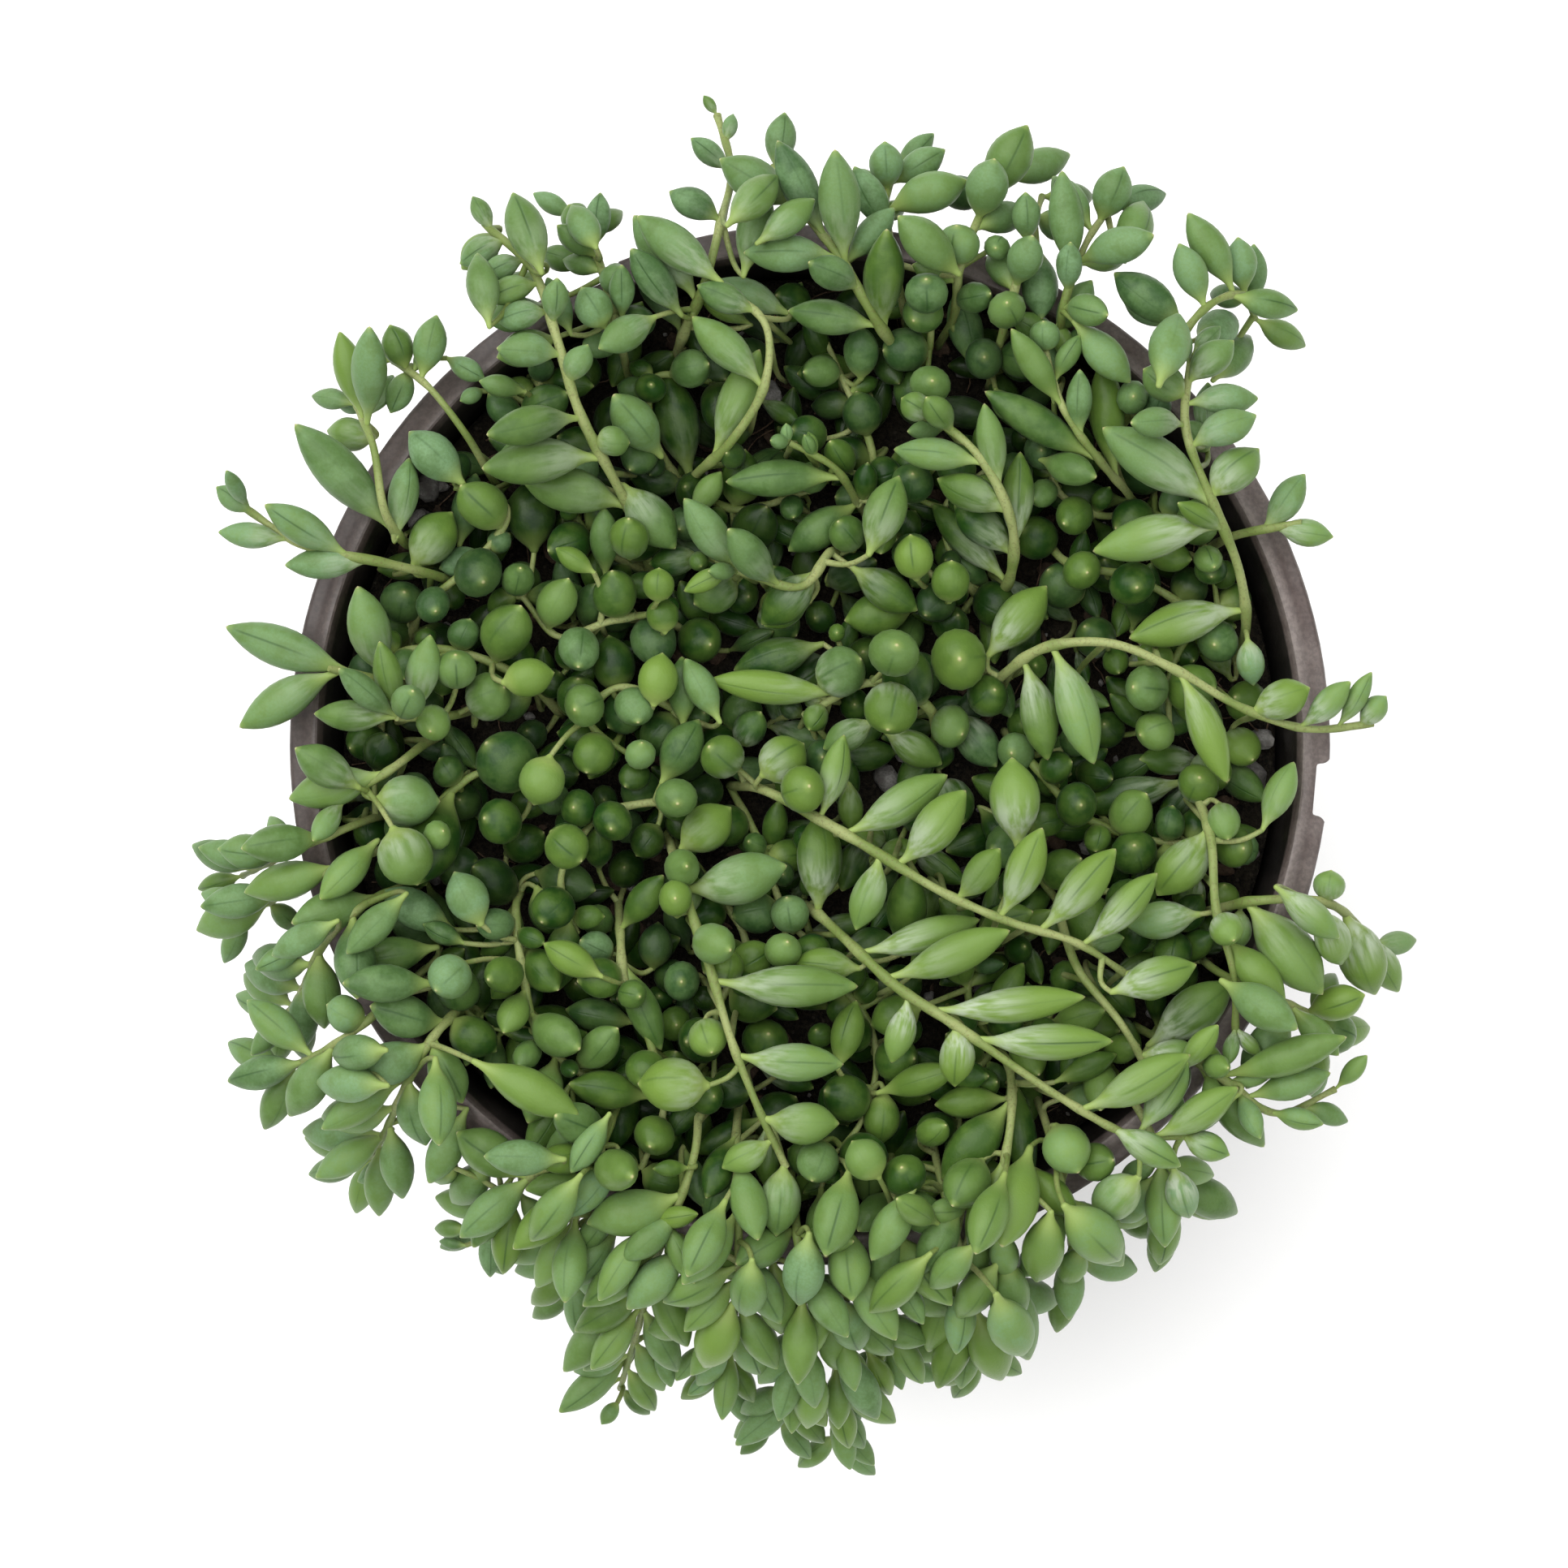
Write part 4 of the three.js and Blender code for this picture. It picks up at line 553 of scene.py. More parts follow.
strands = []
for i in range(FIBRES):
    reach = SOIL_EDGE * (1 - 0.5 * chance.uniform(0, 1) ** 2) - 3
    angle = chance.uniform(0, 2 * math.pi)
    heading = chance.uniform(0, 2 * math.pi)
    x, y = reach * math.cos(angle), reach * math.sin(angle)
    track = []
    for k in range(5):
        if math.hypot(x, y) < SOIL_EDGE - 0.8:
            track.append((x, y, lie_on_soil(x, y, 0)[2] + 0.3 + 0.5 * chance.uniform(0, 1)))
        heading += chance.uniform(-0.5, 0.5)
        x, y = x + 1.5 * math.cos(heading), y + 1.5 * math.sin(heading)
    if len(track) > 1:
        strands.append(make_tube(track, [FIBRE_RADIUS] * len(track), 4, "strand"))
coir = join_pieces(strands, "coir_fibres")

PUMICE_PALE = (0.30, 0.29, 0.27)
PUMICE_GREY = (0.13, 0.12, 0.11)
BARK_BROWN = (0.035, 0.022, 0.014)
BARK_TAN = (0.10, 0.066, 0.042)
COIR_TAN = (0.17, 0.115, 0.072)
COIR_BROWN = (0.07, 0.045, 0.028)


def paint_bits(name, dark, pale, roughness):
    """A dry, dull surface of two colours in blotches, with fine pores."""
    material, tree, surface = start_material(name, Roughness=roughness, Specular_IOR_Level=0.25)
    mottle = place_mottle(tree, 420, 3200)
    colour = blend_colours(tree, mottle["Blotches"], dark, pale)
    pores = product(tree, mottle["Grains"], 0.45)
    join_up(tree, (blend_colours(tree, pores, colour, dark), surface.inputs["Base Color"]))
    add_bump(tree, surface, mottle["Height"], 0.6, 0.0002)
    return material


for piece, paint in ((pumice, paint_bits("pumice", PUMICE_GREY, PUMICE_PALE, 0.9)),
                     (bark, paint_bits("bark", BARK_BROWN, BARK_TAN, 0.8)),
                     (coir, paint_bits("coir", COIR_BROWN, COIR_TAN, 0.85))):
    piece.data.materials.append(paint)
    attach(piece, "root")
for lump in lumps:
    bpy.data.objects.remove(lump)


# The stems
# Soft green stems about two millimetres thick, rooted in the soil, which run over the pot and hang
# from its rim. Each is listed with its way in plan view as [across, down, rise], its leaves that can be
# made out as [share of its length, tip across and down, rise, width], and the habit of the rest: the
# shares where they begin and end, their spacing, first and last length, first and last plumpness, how far
# they open, and how far they fan out. A stem without a name is a fork of the one before it.
STEM_RADIUS = 1
ROOT_DEPTH = 4.5
RISER = 2.6
BEAD = 2.1
BEADS_PER_STEP = 5
STEM_GAP = 3.4
BEND_REACH = STEM_GAP + 4
STEM_OVER_SOIL = 1.7
STEM_OFF_POT = 1.5
BEND_ROUNDS = 8
BEND_EASE = 0.35
PASS_OVER = 0.8
# The gaps that a leaf keeps from others, from its own stem's leaves, the pot, the soil and the ground.
LEAF_GAP = 0.32
OWN_GAP = -0.5
POT_GAP = 0.35
SOIL_GAP = 0.7
GROUND_GAP = 4
# A leaf keeps clear of its own stem from this share of its length on.
FREE_SHARE = 0.4
LEAF_MIDDLE = 0.55
LARGEST_BALL = 5
PEA_STALK = 0.1
SEED = 20417
STEMS = [
    ("stem_northwest_arch", [[800, 705, 0], [792, 660, 0], [768, 612, 6], [738, 558, 10], [706, 495, 13],
     [688, 440, 14], [680, 385, 13], [664, 335, 11], [632, 305, 8], [596, 276, 5]],
     [[0.24, 643, 592, 3, 7], [0.38, 592, 578, 1, 7], [0.48, 598, 537, 1, 5.8], [0.42, 776, 546, 1, 4.6],
     [0.62, 611, 430, 3, 5.2], [0.56, 724, 425, 2, 4.2], [0.72, 601, 398, 3, 5.2], [0.79, 588, 371, 3, 5],
     [0.69, 686, 343, 4, 4], [0.86, 583, 346, 2, 4.6], [0.93, 566, 326, 1, 4.4], [0.9, 655, 290, 3, 3.2]],
     [0.97, 1, 5, 6, 5, 0.5, 0.6, 30, 60]),
    ("", [[752, 680, -3], [702, 650, -2], [690, 602, -2], [642, 560, -1], [632, 505, -2], [668, 470, -3]],
     [], [0.1, 1, 6, 9, 10, 0.72, 0.6, 68, 62]),
    ("stem_middle_curl", [[1042, 700, 0], [1022, 668, 2], [1018, 700, 6], [1002, 726, 7], [972, 738, 7],
     [935, 726, 7], [905, 702, 7]],
     [[0.95, 842, 614, 3, 5.6], [0.78, 896, 652, 2, 5.6], [0.5, 938, 770, -1, 6.2]],
     [0.97, 1, 5, 8, 8, 0.4, 0.4, 30, 60]),
    ("stem_centre_hook", [[1072, 640, 0], [1046, 602, 3], [1018, 562, 7], [992, 541, 8], [972, 546, 8]],
     [[0.55, 893, 594, 1, 5.7], [0.3, 957, 689, 1, 6.6]], [0.8, 1, 4, 4.5, 4, 0.5, 0.6, 40, 70]),
    ("", [[1102, 664, -4], [1136, 690, -2], [1160, 722, -2]], [],
     [0.2, 1, 5.5, 7.5, 7.5, 0.86, 0.8, 74, 60]),
    ("", [[1086, 604, -3], [1074, 545, -2], [1058, 495, -1], [1036, 462, -3]], [[0.3, 1108, 580, 4, 6.2],
     [0.6, 1055, 482, 3, 6]], [0.15, 1, 5.5, 8, 8.5, 0.82, 0.6, 70, 62]),
    ("stem_centre_right", [[1222, 748, 0], [1246, 712, 1], [1257, 675, 6], [1246, 638, 9], [1231, 600, 11],
     [1209, 558, 12], [1172, 528, 11], [1128, 500, 9]],
     [[0.52, 1154, 590, 0, 5.6], [0.34, 1164, 611, 0, 6.6], [0.2, 1148, 620, -1, 5.3],
     [0.36, 1257, 556, 1, 5], [0.7, 1100, 554, -1, 5], [0.6, 1212, 497, 2, 4.4], [0.94, 1110, 491, 1, 4.4],
     [0.85, 1140, 490, 3, 4.4]], [0.97, 1, 5, 7, 6, 0.4, 0.5, 30, 60]),
    ("", [[1190, 722, -3], [1165, 692, -2], [1150, 645, -2], [1175, 600, -3], [1228, 570, -3]], [],
     [0.1, 1, 6, 8, 8, 0.84, 0.7, 72, 60]),
    ("stem_northeast_sprig", [[1402, 622, 0], [1384, 598, 3], [1346, 560, 7], [1311, 512, 9],
     [1292, 460, 9], [1286, 425, 8]],
     [[0.5, 1212, 482, 2, 5.6], [0.36, 1358, 440, 2, 5.4], [0.97, 1285, 396, 3, 4.6],
     [0.12, 1278, 609, 0, 5.4], [0.62, 1330, 455, 3, 4], [0.75, 1245, 405, 2, 4.4]],
     [0.85, 1, 5, 8, 7, 0.42, 0.5, 40, 70]),
    ("", [[1440, 642, -1], [1476, 655, 0], [1500, 700, -2], [1500, 745, -4]], [],
     [0.2, 1, 6.2, 8.6, 7.6, 0.9, 0.84, 76, 55]),
    ("", [[1362, 640, -3], [1312, 618, -2], [1282, 580, -2], [1300, 540, -3]], [],
     [0.15, 1, 6, 9, 9, 0.66, 0.6, 66, 62]),
    ("stem_east_runner", [[1528, 812, 0], [1538, 768, 1], [1531, 710, 6], [1502, 640, 10], [1484, 598, 12],
     [1462, 545, 13], [1452, 510, 12], [1462, 470, 10], [1468, 440, 8]],
     [[0.52, 1345, 680, 1, 6.6], [0.57, 1357, 527, 3, 7.6], [0.26, 1390, 787, 1, 6.6],
     [0.6, 1551, 553, 0, 6.4], [0.74, 1548, 512, 0, 5.4], [0.8, 1392, 522, 3, 4.6],
     [0.88, 1408, 455, 2, 5.6], [0.92, 1520, 420, 1, 5.2], [0.86, 1565, 490, -1, 5.6],
     [0.5, 1450, 620, 3, 3.4]], [0.97, 1, 5, 8, 8, 0.42, 0.45, 35, 70]),
    ("stem_long_east_runner", [[1212, 856, 0], [1242, 826, 4], [1290, 793, 9], [1340, 786, 11],
     [1400, 800, 12], [1470, 838, 11], [1530, 875, 9], [1580, 893, 8], [1640, 905, 7], [1678, 903, 6],
     [1692, 892, 6]],
     [[0.22, 1291, 938, 0, 5.8], [0.3, 1348, 943, 0, 6.4], [0.57, 1512, 966, -1, 5.4],
     [0.74, 1614, 848, 2, 6], [0.84, 1664, 840, 3, 4.2], [0.92, 1690, 828, 3, 3.2],
     [0.97, 1708, 858, 2, 3.8]], [1, 1, 5, 5, 5, 0.5, 0.5, 30, 60]),
    ("stem_long_southeast_runner", [[898, 968, 0], [945, 972, 3], [1008, 1010, 8], [1060, 1040, 11],
     [1130, 1080, 13], [1190, 1120, 14], [1240, 1137, 14], [1300, 1150, 14], [1350, 1172, 12],
     [1392, 1204, 8]],
     [[0.36, 1168, 955, 1, 6], [0.48, 1190, 974, 2, 6.6], [0.61, 1232, 1046, 3, 5],
     [0.7, 1284, 1020, 3, 5.8], [0.78, 1375, 1046, 2, 6], [0.87, 1426, 1076, 1, 5.2],
     [0.44, 1054, 1147, 0, 5.2], [0.47, 1090, 1202, 0, 7], [0.3, 1040, 905, 2, 4.6],
     [0.98, 1440, 1225, 0, 5]], [1, 1, 5, 9, 9, 0.4, 0.4, 35, 60]),
    ("", [[922, 1012, -4], [950, 1062, -2], [966, 1120, 0], [988, 1178, -1], [1042, 1186, -2]], [],
     [0.15, 1, 6, 8, 8, 0.8, 0.8, 72, 60]),
    ("stem_southeast_fork", [[1306, 1112, 0], [1314, 1160, 4], [1340, 1222, 8], [1372, 1248, 9],
     [1400, 1284, 8], [1418, 1325, 5]],
     [[0.58, 1489, 1182, 2, 7], [0.76, 1524, 1214, 1, 6.8], [0.9, 1480, 1300, -1, 5.4]],
     [0.97, 1, 5, 9, 8, 0.42, 0.42, 35, 60]),
    ("", [[1284, 1070, -4], [1244, 1034, -3], [1250, 985, -2]], [], [0.2, 1, 6, 8.5, 9, 0.72, 0.8, 70, 60]),
    ("", [[1352, 1090, -3], [1402, 1108, -2], [1442, 1148, -2]], [], [0.2, 1, 6, 8.5, 9, 0.8, 0.7, 70, 60]),
    ("stem_long_south_runner", [[985, 1112, 0], [1016, 1132, 5], [1056, 1172, 10], [1085, 1205, 12],
     [1140, 1240, 14], [1190, 1272, 15], [1250, 1316, 15], [1320, 1362, 13], [1380, 1395, 11],
     [1440, 1415, 9], [1468, 1400, 8]],
     [[0.13, 1010, 1000, 2, 7], [0.28, 1208, 1133, -1, 5.2], [0.35, 1245, 1147, 2, 6],
     [0.45, 1338, 1229, 1, 5.4], [0.54, 1372, 1284, 1, 5.6], [0.66, 1375, 1298, 1, 5],
     [0.77, 1467, 1300, 2, 6], [0.92, 1526, 1340, 2, 5.2], [0.98, 1515, 1424, 1, 4.4],
     [0.4, 1098, 1311, -1, 4.6], [0.83, 1455, 1438, -1, 4.8], [0.5, 1176, 1340, -2, 5.4]],
     [1, 1, 5, 9, 9, 0.4, 0.4, 35, 60]),
    ("", [[1012, 1180, -4], [1040, 1240, -3], [1092, 1256, -1], [1082, 1312, -2], [1056, 1372, 1],
     [1062, 1420, 3], [1014, 1436, 3]], [], [0.15, 1, 6.2, 7.6, 7.6, 0.84, 0.88, 74, 58]),
    ("stem_middle_south_runner", [[820, 1026, 0], [832, 1060, 3], [850, 1120, 8], [868, 1175, 10],
     [885, 1225, 12], [905, 1300, 12], [935, 1370, 11], [958, 1412, 9], [968, 1438, 7]],
     [[0.28, 970, 1067, 2, 7.6], [0.2, 846, 1068, 7, 5.8], [0.4, 900, 1172, 7, 6.2],
     [0.44, 951, 1168, 1, 5.6], [0.52, 1058, 1216, 1, 6.4], [0.7, 1040, 1312, 1, 5.8],
     [0.86, 1034, 1385, 1, 6.4], [0.92, 889, 1440, -1, 4.8], [0.99, 956, 1524, 0, 6.4]],
     [1, 1, 5, 9, 9, 0.4, 0.4, 35, 60]),
    ("", [[862, 1080, -5], [902, 1112, -4], [930, 1160, -3], [902, 1222, -3], [862, 1272, -3],
     [880, 1330, -2]], [], [0.15, 1, 6.2, 8, 8, 0.84, 0.84, 74, 58]),
    ("stem_east_descent", [[1464, 952, 0], [1484, 1000, 3], [1496, 1050, 8], [1495, 1090, 9],
     [1500, 1150, 9], [1522, 1200, 8], [1530, 1245, 6], [1522, 1275, 4]],
     [[0.34, 1425, 1104, 1, 7], [0.42, 1384, 1141, 1, 6.2], [0.06, 1325, 996, 2, 5.6],
     [0.12, 1478, 958, 7, 6.4], [0.62, 1520, 1160, 5, 5.2], [0.6, 1440, 1175, 0, 4.6],
     [0.94, 1470, 1300, -1, 5.2]], [0.97, 1, 5, 8, 8, 0.42, 0.42, 35, 60]),
    ("stem_south_cascade", [[1232, 1292, 0], [1250, 1332, 5], [1245, 1385, 9], [1237, 1440, 9],
     [1226, 1500, 6], [1228, 1550, 1], [1226, 1605, -12], [1222, 1640, -28]],
     [[0.12, 1272, 1490, 0, 5.8], [0.24, 1160, 1456, 0, 7], [0.36, 1196, 1546, -1, 6],
     [0.4, 1262, 1530, -2, 5.6], [0.55, 1178, 1622, -6, 6.2], [0.6, 1268, 1676, -10, 7]],
     [0.62, 1, 6, 14, 10, 0.42, 0.4, 34, 80]),
    ("", [[1272, 1250, -3], [1312, 1258, -2], [1350, 1298, -3]], [],
     [0.15, 1, 6, 10, 10, 0.5, 0.5, 58, 66]),
    ("", [[1200, 1242, -3], [1172, 1192, -2], [1204, 1150, -3]], [],
     [0.15, 1, 6, 10, 10, 0.5, 0.5, 58, 66]),
    ("", [[1190, 1332, -3], [1168, 1382, -1], [1180, 1432, 0]], [], [0.15, 1, 6, 9, 9, 0.6, 0.6, 62, 62]),
    ("stem_north_crown", [[1120, 462, 0], [1100, 422, 3], [1076, 395, 8], [1052, 345, 10], [1025, 300, 9],
     [988, 262, 6], [962, 228, 2], [952, 205, -2]],
     [[0.8, 886, 196, 1, 6.4], [0.66, 957, 173, 3, 5.6], [0.56, 1028, 184, 3, 6.4],
     [0.3, 1092, 282, 3, 6.2], [0.58, 915, 312, 1, 5.8], [0.42, 1083, 262, 1, 5], [0.34, 970, 383, 1, 5.4],
     [0.97, 967, 138, 0, 4.8], [0.48, 985, 318, 1, 6]], [1, 1, 5, 9, 9, 0.4, 0.4, 35, 60]),
    ("", [[1150, 450, -2], [1142, 408, 1], [1146, 362, 4], [1180, 318, 5], [1226, 304, 5]], [],
     [0.1, 1, 6.2, 7.8, 7.8, 0.9, 0.86, 76, 55]),
    ("stem_north_sprig", [[828, 446, 0], [846, 400, 3], [870, 350, 8], [884, 300, 9], [889, 262, 6],
     [900, 230, 2], [905, 195, -2], [890, 160, -5], [884, 142, -6]],
     [[0.34, 780, 265, 2, 6.2], [0.2, 775, 310, 1, 5.4], [0.6, 824, 236, 1, 4.8], [0.68, 847, 203, 1, 4.8],
     [0.8, 851, 170, 1, 3.6], [0.78, 908, 142, 1, 4.8], [0.72, 936, 180, 1, 4.2]],
     [0.9, 1, 3.5, 5, 4, 0.5, 0.5, 30, 70]),
    ("stem_inner_curl", [[845, 600, 0], [868, 572, 4], [905, 545, 8], [938, 490, 10], [955, 435, 11],
     [948, 395, 10], [918, 368, 9], [884, 354, 8]],
     [[0.1, 820, 456, 2, 7], [0.05, 745, 487, 1, 6.6], [0.3, 936, 430, 3, 6], [0.6, 852, 390, 1, 5.6],
     [0.86, 858, 352, 0, 4.6], [0.04, 775, 587, 1, 5]], [1, 1, 5, 9, 9, 0.4, 0.4, 35, 60]),
    ("", [[815, 560, -3], [790, 512, -2], [792, 462, -1], [840, 444, -1], [876, 470, -3]], [],
     [0.1, 1, 6, 9, 8.5, 0.62, 0.72, 66, 62]),
    ("", [[884, 622, -3], [928, 640, -2], [962, 612, -2], [1000, 604, -3]], [],
     [0.15, 1, 6, 8.5, 8.5, 0.72, 0.78, 70, 62]),
    ("stem_west_sprig", [[568, 722, 0], [530, 706, 3], [470, 692, 8], [415, 685, 10], [362, 672, 9],
     [330, 655, 8], [300, 625, 6]],
     [[0.52, 350, 697, 1, 4.8], [0.6, 325, 622, 2, 5.2], [0.74, 315, 583, 2, 4.6], [0.8, 268, 656, 0, 4],
     [0.96, 266, 600, 1, 3.6], [0.98, 278, 580, 2, 2.6], [0.1, 602, 680, 5, 5.4], [0.08, 550, 752, 4, 5.8],
     [0.04, 632, 655, 5, 4]], [1, 1, 5, 9, 9, 0.4, 0.4, 35, 60]),
    ("stem_west_fan", [[512, 846, 0], [470, 838, 3], [432, 828, 5], [405, 824, 6]],
     [[0.8, 277, 772, 1, 6.2], [0.9, 294, 897, 0, 6], [0.5, 440, 722, 4, 6.6]],
     [1, 1, 5, 9, 9, 0.4, 0.4, 35, 60]),
    ("stem_west_rosette", [[582, 872, 0], [548, 884, 3], [515, 890, 7], [488, 884, 9]],
     [[0.94, 467, 790, 3, 4.4], [0.8, 530, 782, 3, 5.2], [0.97, 416, 824, 2, 4.2], [0.98, 386, 880, 0, 4.8],
     [0.9, 508, 852, 6, 5.2], [0.6, 528, 905, 7, 6.4]], [1, 1, 5, 9, 9, 0.4, 0.4, 35, 60]),
    ("stem_left_middle", [[540, 905, 0], [505, 928, 4], [476, 955, 6], [450, 974, 6], [425, 985, 5]],
     [[0.72, 355, 985, 0, 6.2], [0.62, 362, 922, 1, 5.4], [0.3, 550, 985, 3, 8.4]],
     [0.95, 1, 5, 9, 9, 0.42, 0.42, 35, 60]),
    ("stem_far_west_leaf", [[512, 668, 0], [492, 668, 2], [478, 656, 4], [468, 610, 7], [462, 560, 7],
     [455, 520, 4], [440, 500, 0]],
     [[0.34, 362, 522, 3, 6.9], [0.1, 500, 560, 3, 5.2], [0.8, 400, 558, 1, 4.8], [0.9, 418, 408, 2, 4.8],
     [0.86, 455, 402, 3, 5.6]], [0.9, 1, 5, 9, 8, 0.42, 0.42, 40, 80]),
    ("stem_northwest_sprig", [[612, 600, 0], [592, 566, 3], [568, 525, 7], [545, 492, 8], [510, 460, 5],
     [485, 445, 0]],
     [[0.8, 538, 388, 1, 5], [0.9, 480, 400, 2, 4.8], [0.2, 500, 530, 1, 6.4]],
     [0.86, 1, 4, 8, 7, 0.42, 0.45, 45, 85]),
    ("stem_centre_peas", [[1158, 930, 0], [1150, 880, 1], [1140, 845, 3], [1098, 838, 4], [1055, 838, 3],
     [1020, 850, 2], [990, 882, 0]],
     [[0.36, 1104, 800, 8, 7.8], [0.28, 1200, 806, 7, 9.4], [0.42, 1094, 896, 6, 8],
     [0.22, 1186, 905, 5, 8.2], [0.62, 1030, 818, 6, 7.6], [0.8, 872, 838, 2, 5.2],
     [0.72, 902, 818, -1, 5.8], [0.12, 1160, 948, 1, 5.2]], [0.9, 1, 5, 7, 7, 0.8, 0.8, 60, 60]),
    ("stem_east_fringe_upper", [[1486, 1128, 0], [1512, 1116, 4], [1552, 1108, 7], [1600, 1107, 7],
     [1640, 1110, 4], [1668, 1132, -2], [1690, 1165, -12]],
     [[0.34, 1630, 1226, -1, 8.2], [0.5, 1662, 1178, -1, 6.8], [0.72, 1695, 1226, -4, 7.4],
     [0.62, 1640, 1072, 1, 5.2], [0.84, 1720, 1190, -5, 6.4]], [0.9, 1, 5, 10, 9, 0.45, 0.45, 40, 80]),
    ("stem_east_bud", [[1490, 676, 0], [1530, 655, 5], [1580, 642, 6], [1604, 644, 6]],
     [[0.72, 1608, 584, 2, 4.8], [0.8, 1643, 662, 1, 4.2]], [1, 1, 5, 9, 9, 0.4, 0.4, 35, 60]),
    ("stem_northeast_corner", [[1386, 522, 0], [1424, 468, 4], [1460, 412, 8], [1484, 376, 9],
     [1514, 356, 7], [1538, 362, 2], [1546, 392, -6]],
     [[0.74, 1463, 262, 3, 5.4], [0.82, 1525, 292, 2, 5], [0.5, 1372, 336, 1, 6.2],
     [0.42, 1383, 368, 0, 4.8], [0.6, 1452, 300, 2, 5], [0.93, 1545, 300, 1, 4.4]],
     [0.72, 1, 5, 11, 9, 0.42, 0.42, 42, 80]),
    ("stem_north_east_tall", [[1158, 420, 0], [1168, 372, 4], [1180, 325, 8], [1198, 282, 8],
     [1215, 250, 4], [1232, 220, -4]],
     [[0.8, 1266, 154, 3, 6.8], [0.7, 1225, 196, 2, 6.4], [0.5, 1178, 278, 4, 6.4]],
     [0.3, 1, 6, 12, 12, 0.5, 0.45, 42, 75]),
    ("stem_north_east_wide", [[1302, 470, 0], [1306, 420, 3], [1310, 372, 8], [1322, 325, 9],
     [1345, 288, 5], [1366, 258, -2]],
     [[0.9, 1385, 205, 2, 5.8], [0.66, 1422, 290, 1, 5.6], [0.6, 1308, 210, 3, 5.4]],
     [0.3, 1, 6, 12, 11, 0.48, 0.44, 42, 80]),
    ("stem_north_east_middle", [[1222, 470, 0], [1232, 420, 3], [1246, 370, 7], [1262, 318, 8],
     [1274, 272, 4], [1284, 242, -5]],
     [], [0.2, 1, 6, 10, 12, 0.62, 0.44, 45, 75]),
    ("stem_north_middle", [[1118, 395, 0], [1108, 350, 3], [1096, 306, 7], [1090, 268, 5], [1092, 236, 0],
     [1102, 212, -6]],
     [[0.9, 1165, 184, 1, 4.8], [0.84, 1090, 174, 2, 5.2], [0.7, 1192, 222, 1, 6.2],
     [0.6, 1052, 205, 1, 5]], [0.66, 1, 4.5, 9, 8, 0.42, 0.42, 42, 80]),
    ("stem_north_west_bud", [[775, 470, 0], [762, 410, 3], [750, 358, 7], [738, 318, 5], [722, 288, 0],
     [710, 268, -4]],
     [[0.9, 700, 252, 2, 5], [0.4, 808, 395, 1, 5], [0.56, 766, 330, 4, 4.4]],
     [0.3, 1, 5, 8, 8, 0.6, 0.42, 45, 80]),
    ("stem_south_fringe_one", [[868, 1322, 0], [860, 1380, 4], [855, 1440, 8], [834, 1490, 6],
     [810, 1540, 1], [797, 1590, -8], [786, 1640, -20], [774, 1680, -32], [766, 1708, -44]],
     [[0.3, 722, 1508, -1, 7], [0.42, 800, 1430, 3, 5]], [0.42, 1, 5.5, 15, 9, 0.4, 0.38, 46, 80]),
    ("stem_south_fringe_two", [[772, 1330, 0], [752, 1385, 4], [730, 1440, 6], [712, 1490, 1],
     [704, 1535, -10], [706, 1570, -26], [712, 1595, -42]],
     [], [0.2, 1, 5.5, 15, 10, 0.42, 0.38, 46, 80]),
    ("stem_south_fringe_three", [[912, 1350, 0], [905, 1420, 5], [908, 1500, 7], [912, 1560, 3],
     [906, 1610, -6], [900, 1655, -20], [893, 1690, -38]],
     [], [0.16, 1, 5.5, 15, 9.5, 0.42, 0.38, 46, 80]),
    ("stem_south_fringe_four", [[975, 1452, 0], [980, 1500, 5], [986, 1560, 5], [990, 1620, -4],
     [984, 1675, -18], [970, 1718, -36], [956, 1752, -54]],
     [], [0.2, 1, 5.5, 15, 8.5, 0.42, 0.38, 46, 80]),
    ("stem_south_fringe_five", [[1022, 1408, 0], [1032, 1480, 4], [1046, 1550, 4], [1042, 1610, -3],
     [1032, 1665, -16], [1030, 1725, -36], [1036, 1775, -58]],
     [], [0.2, 1, 5.5, 15, 8.5, 0.42, 0.38, 46, 80]),
    ("stem_south_fringe_six", [[1098, 1420, 0], [1102, 1490, 5], [1098, 1550, 4], [1092, 1600, -6],
     [1096, 1640, -20], [1102, 1668, -36]],
     [], [0.2, 1, 5.5, 15, 10, 0.42, 0.38, 46, 80]),
    ("stem_south_fringe_seven", [[1150, 1392, 0], [1158, 1450, 5], [1172, 1505, 6], [1188, 1556, 3],
     [1196, 1600, -8], [1206, 1640, -26], [1212, 1668, -44]],
     [[0.3, 1100, 1475, 0, 6], [0.4, 1068, 1556, -2, 6.6]], [0.44, 1, 5.5, 15, 10, 0.42, 0.38, 46, 80]),
    ("stem_south_fringe_eight", [[1278, 1352, 0], [1292, 1392, 4], [1304, 1440, 7], [1314, 1490, 3],
     [1320, 1530, -6], [1322, 1556, -20]],
     [[0.5, 1384, 1560, -5, 7], [0.3, 1278, 1582, -4, 6.8], [0.12, 1316, 1408, 6, 7.6]],
     [0.5, 1, 6, 14, 12, 0.42, 0.4, 48, 80]),
    ("stem_southeast_fringe", [[1368, 1312, 0], [1404, 1368, 5], [1430, 1420, 4], [1442, 1462, -6],
     [1444, 1488, -22]],
     [[0.7, 1352, 1500, -6, 7.4], [0.9, 1382, 1510, -6, 7.4]], [0.5, 1, 5.5, 14, 11, 0.42, 0.4, 48, 80]),
    ("stem_east_fringe_middle", [[1474, 1172, 0], [1520, 1214, 6], [1566, 1226, 6], [1602, 1240, 3],
     [1622, 1262, -8], [1626, 1285, -22]],
     [[0.6, 1694, 1222, 0, 6.4], [0.72, 1670, 1282, -3, 6.4], [0.5, 1535, 1342, -3, 6.6],
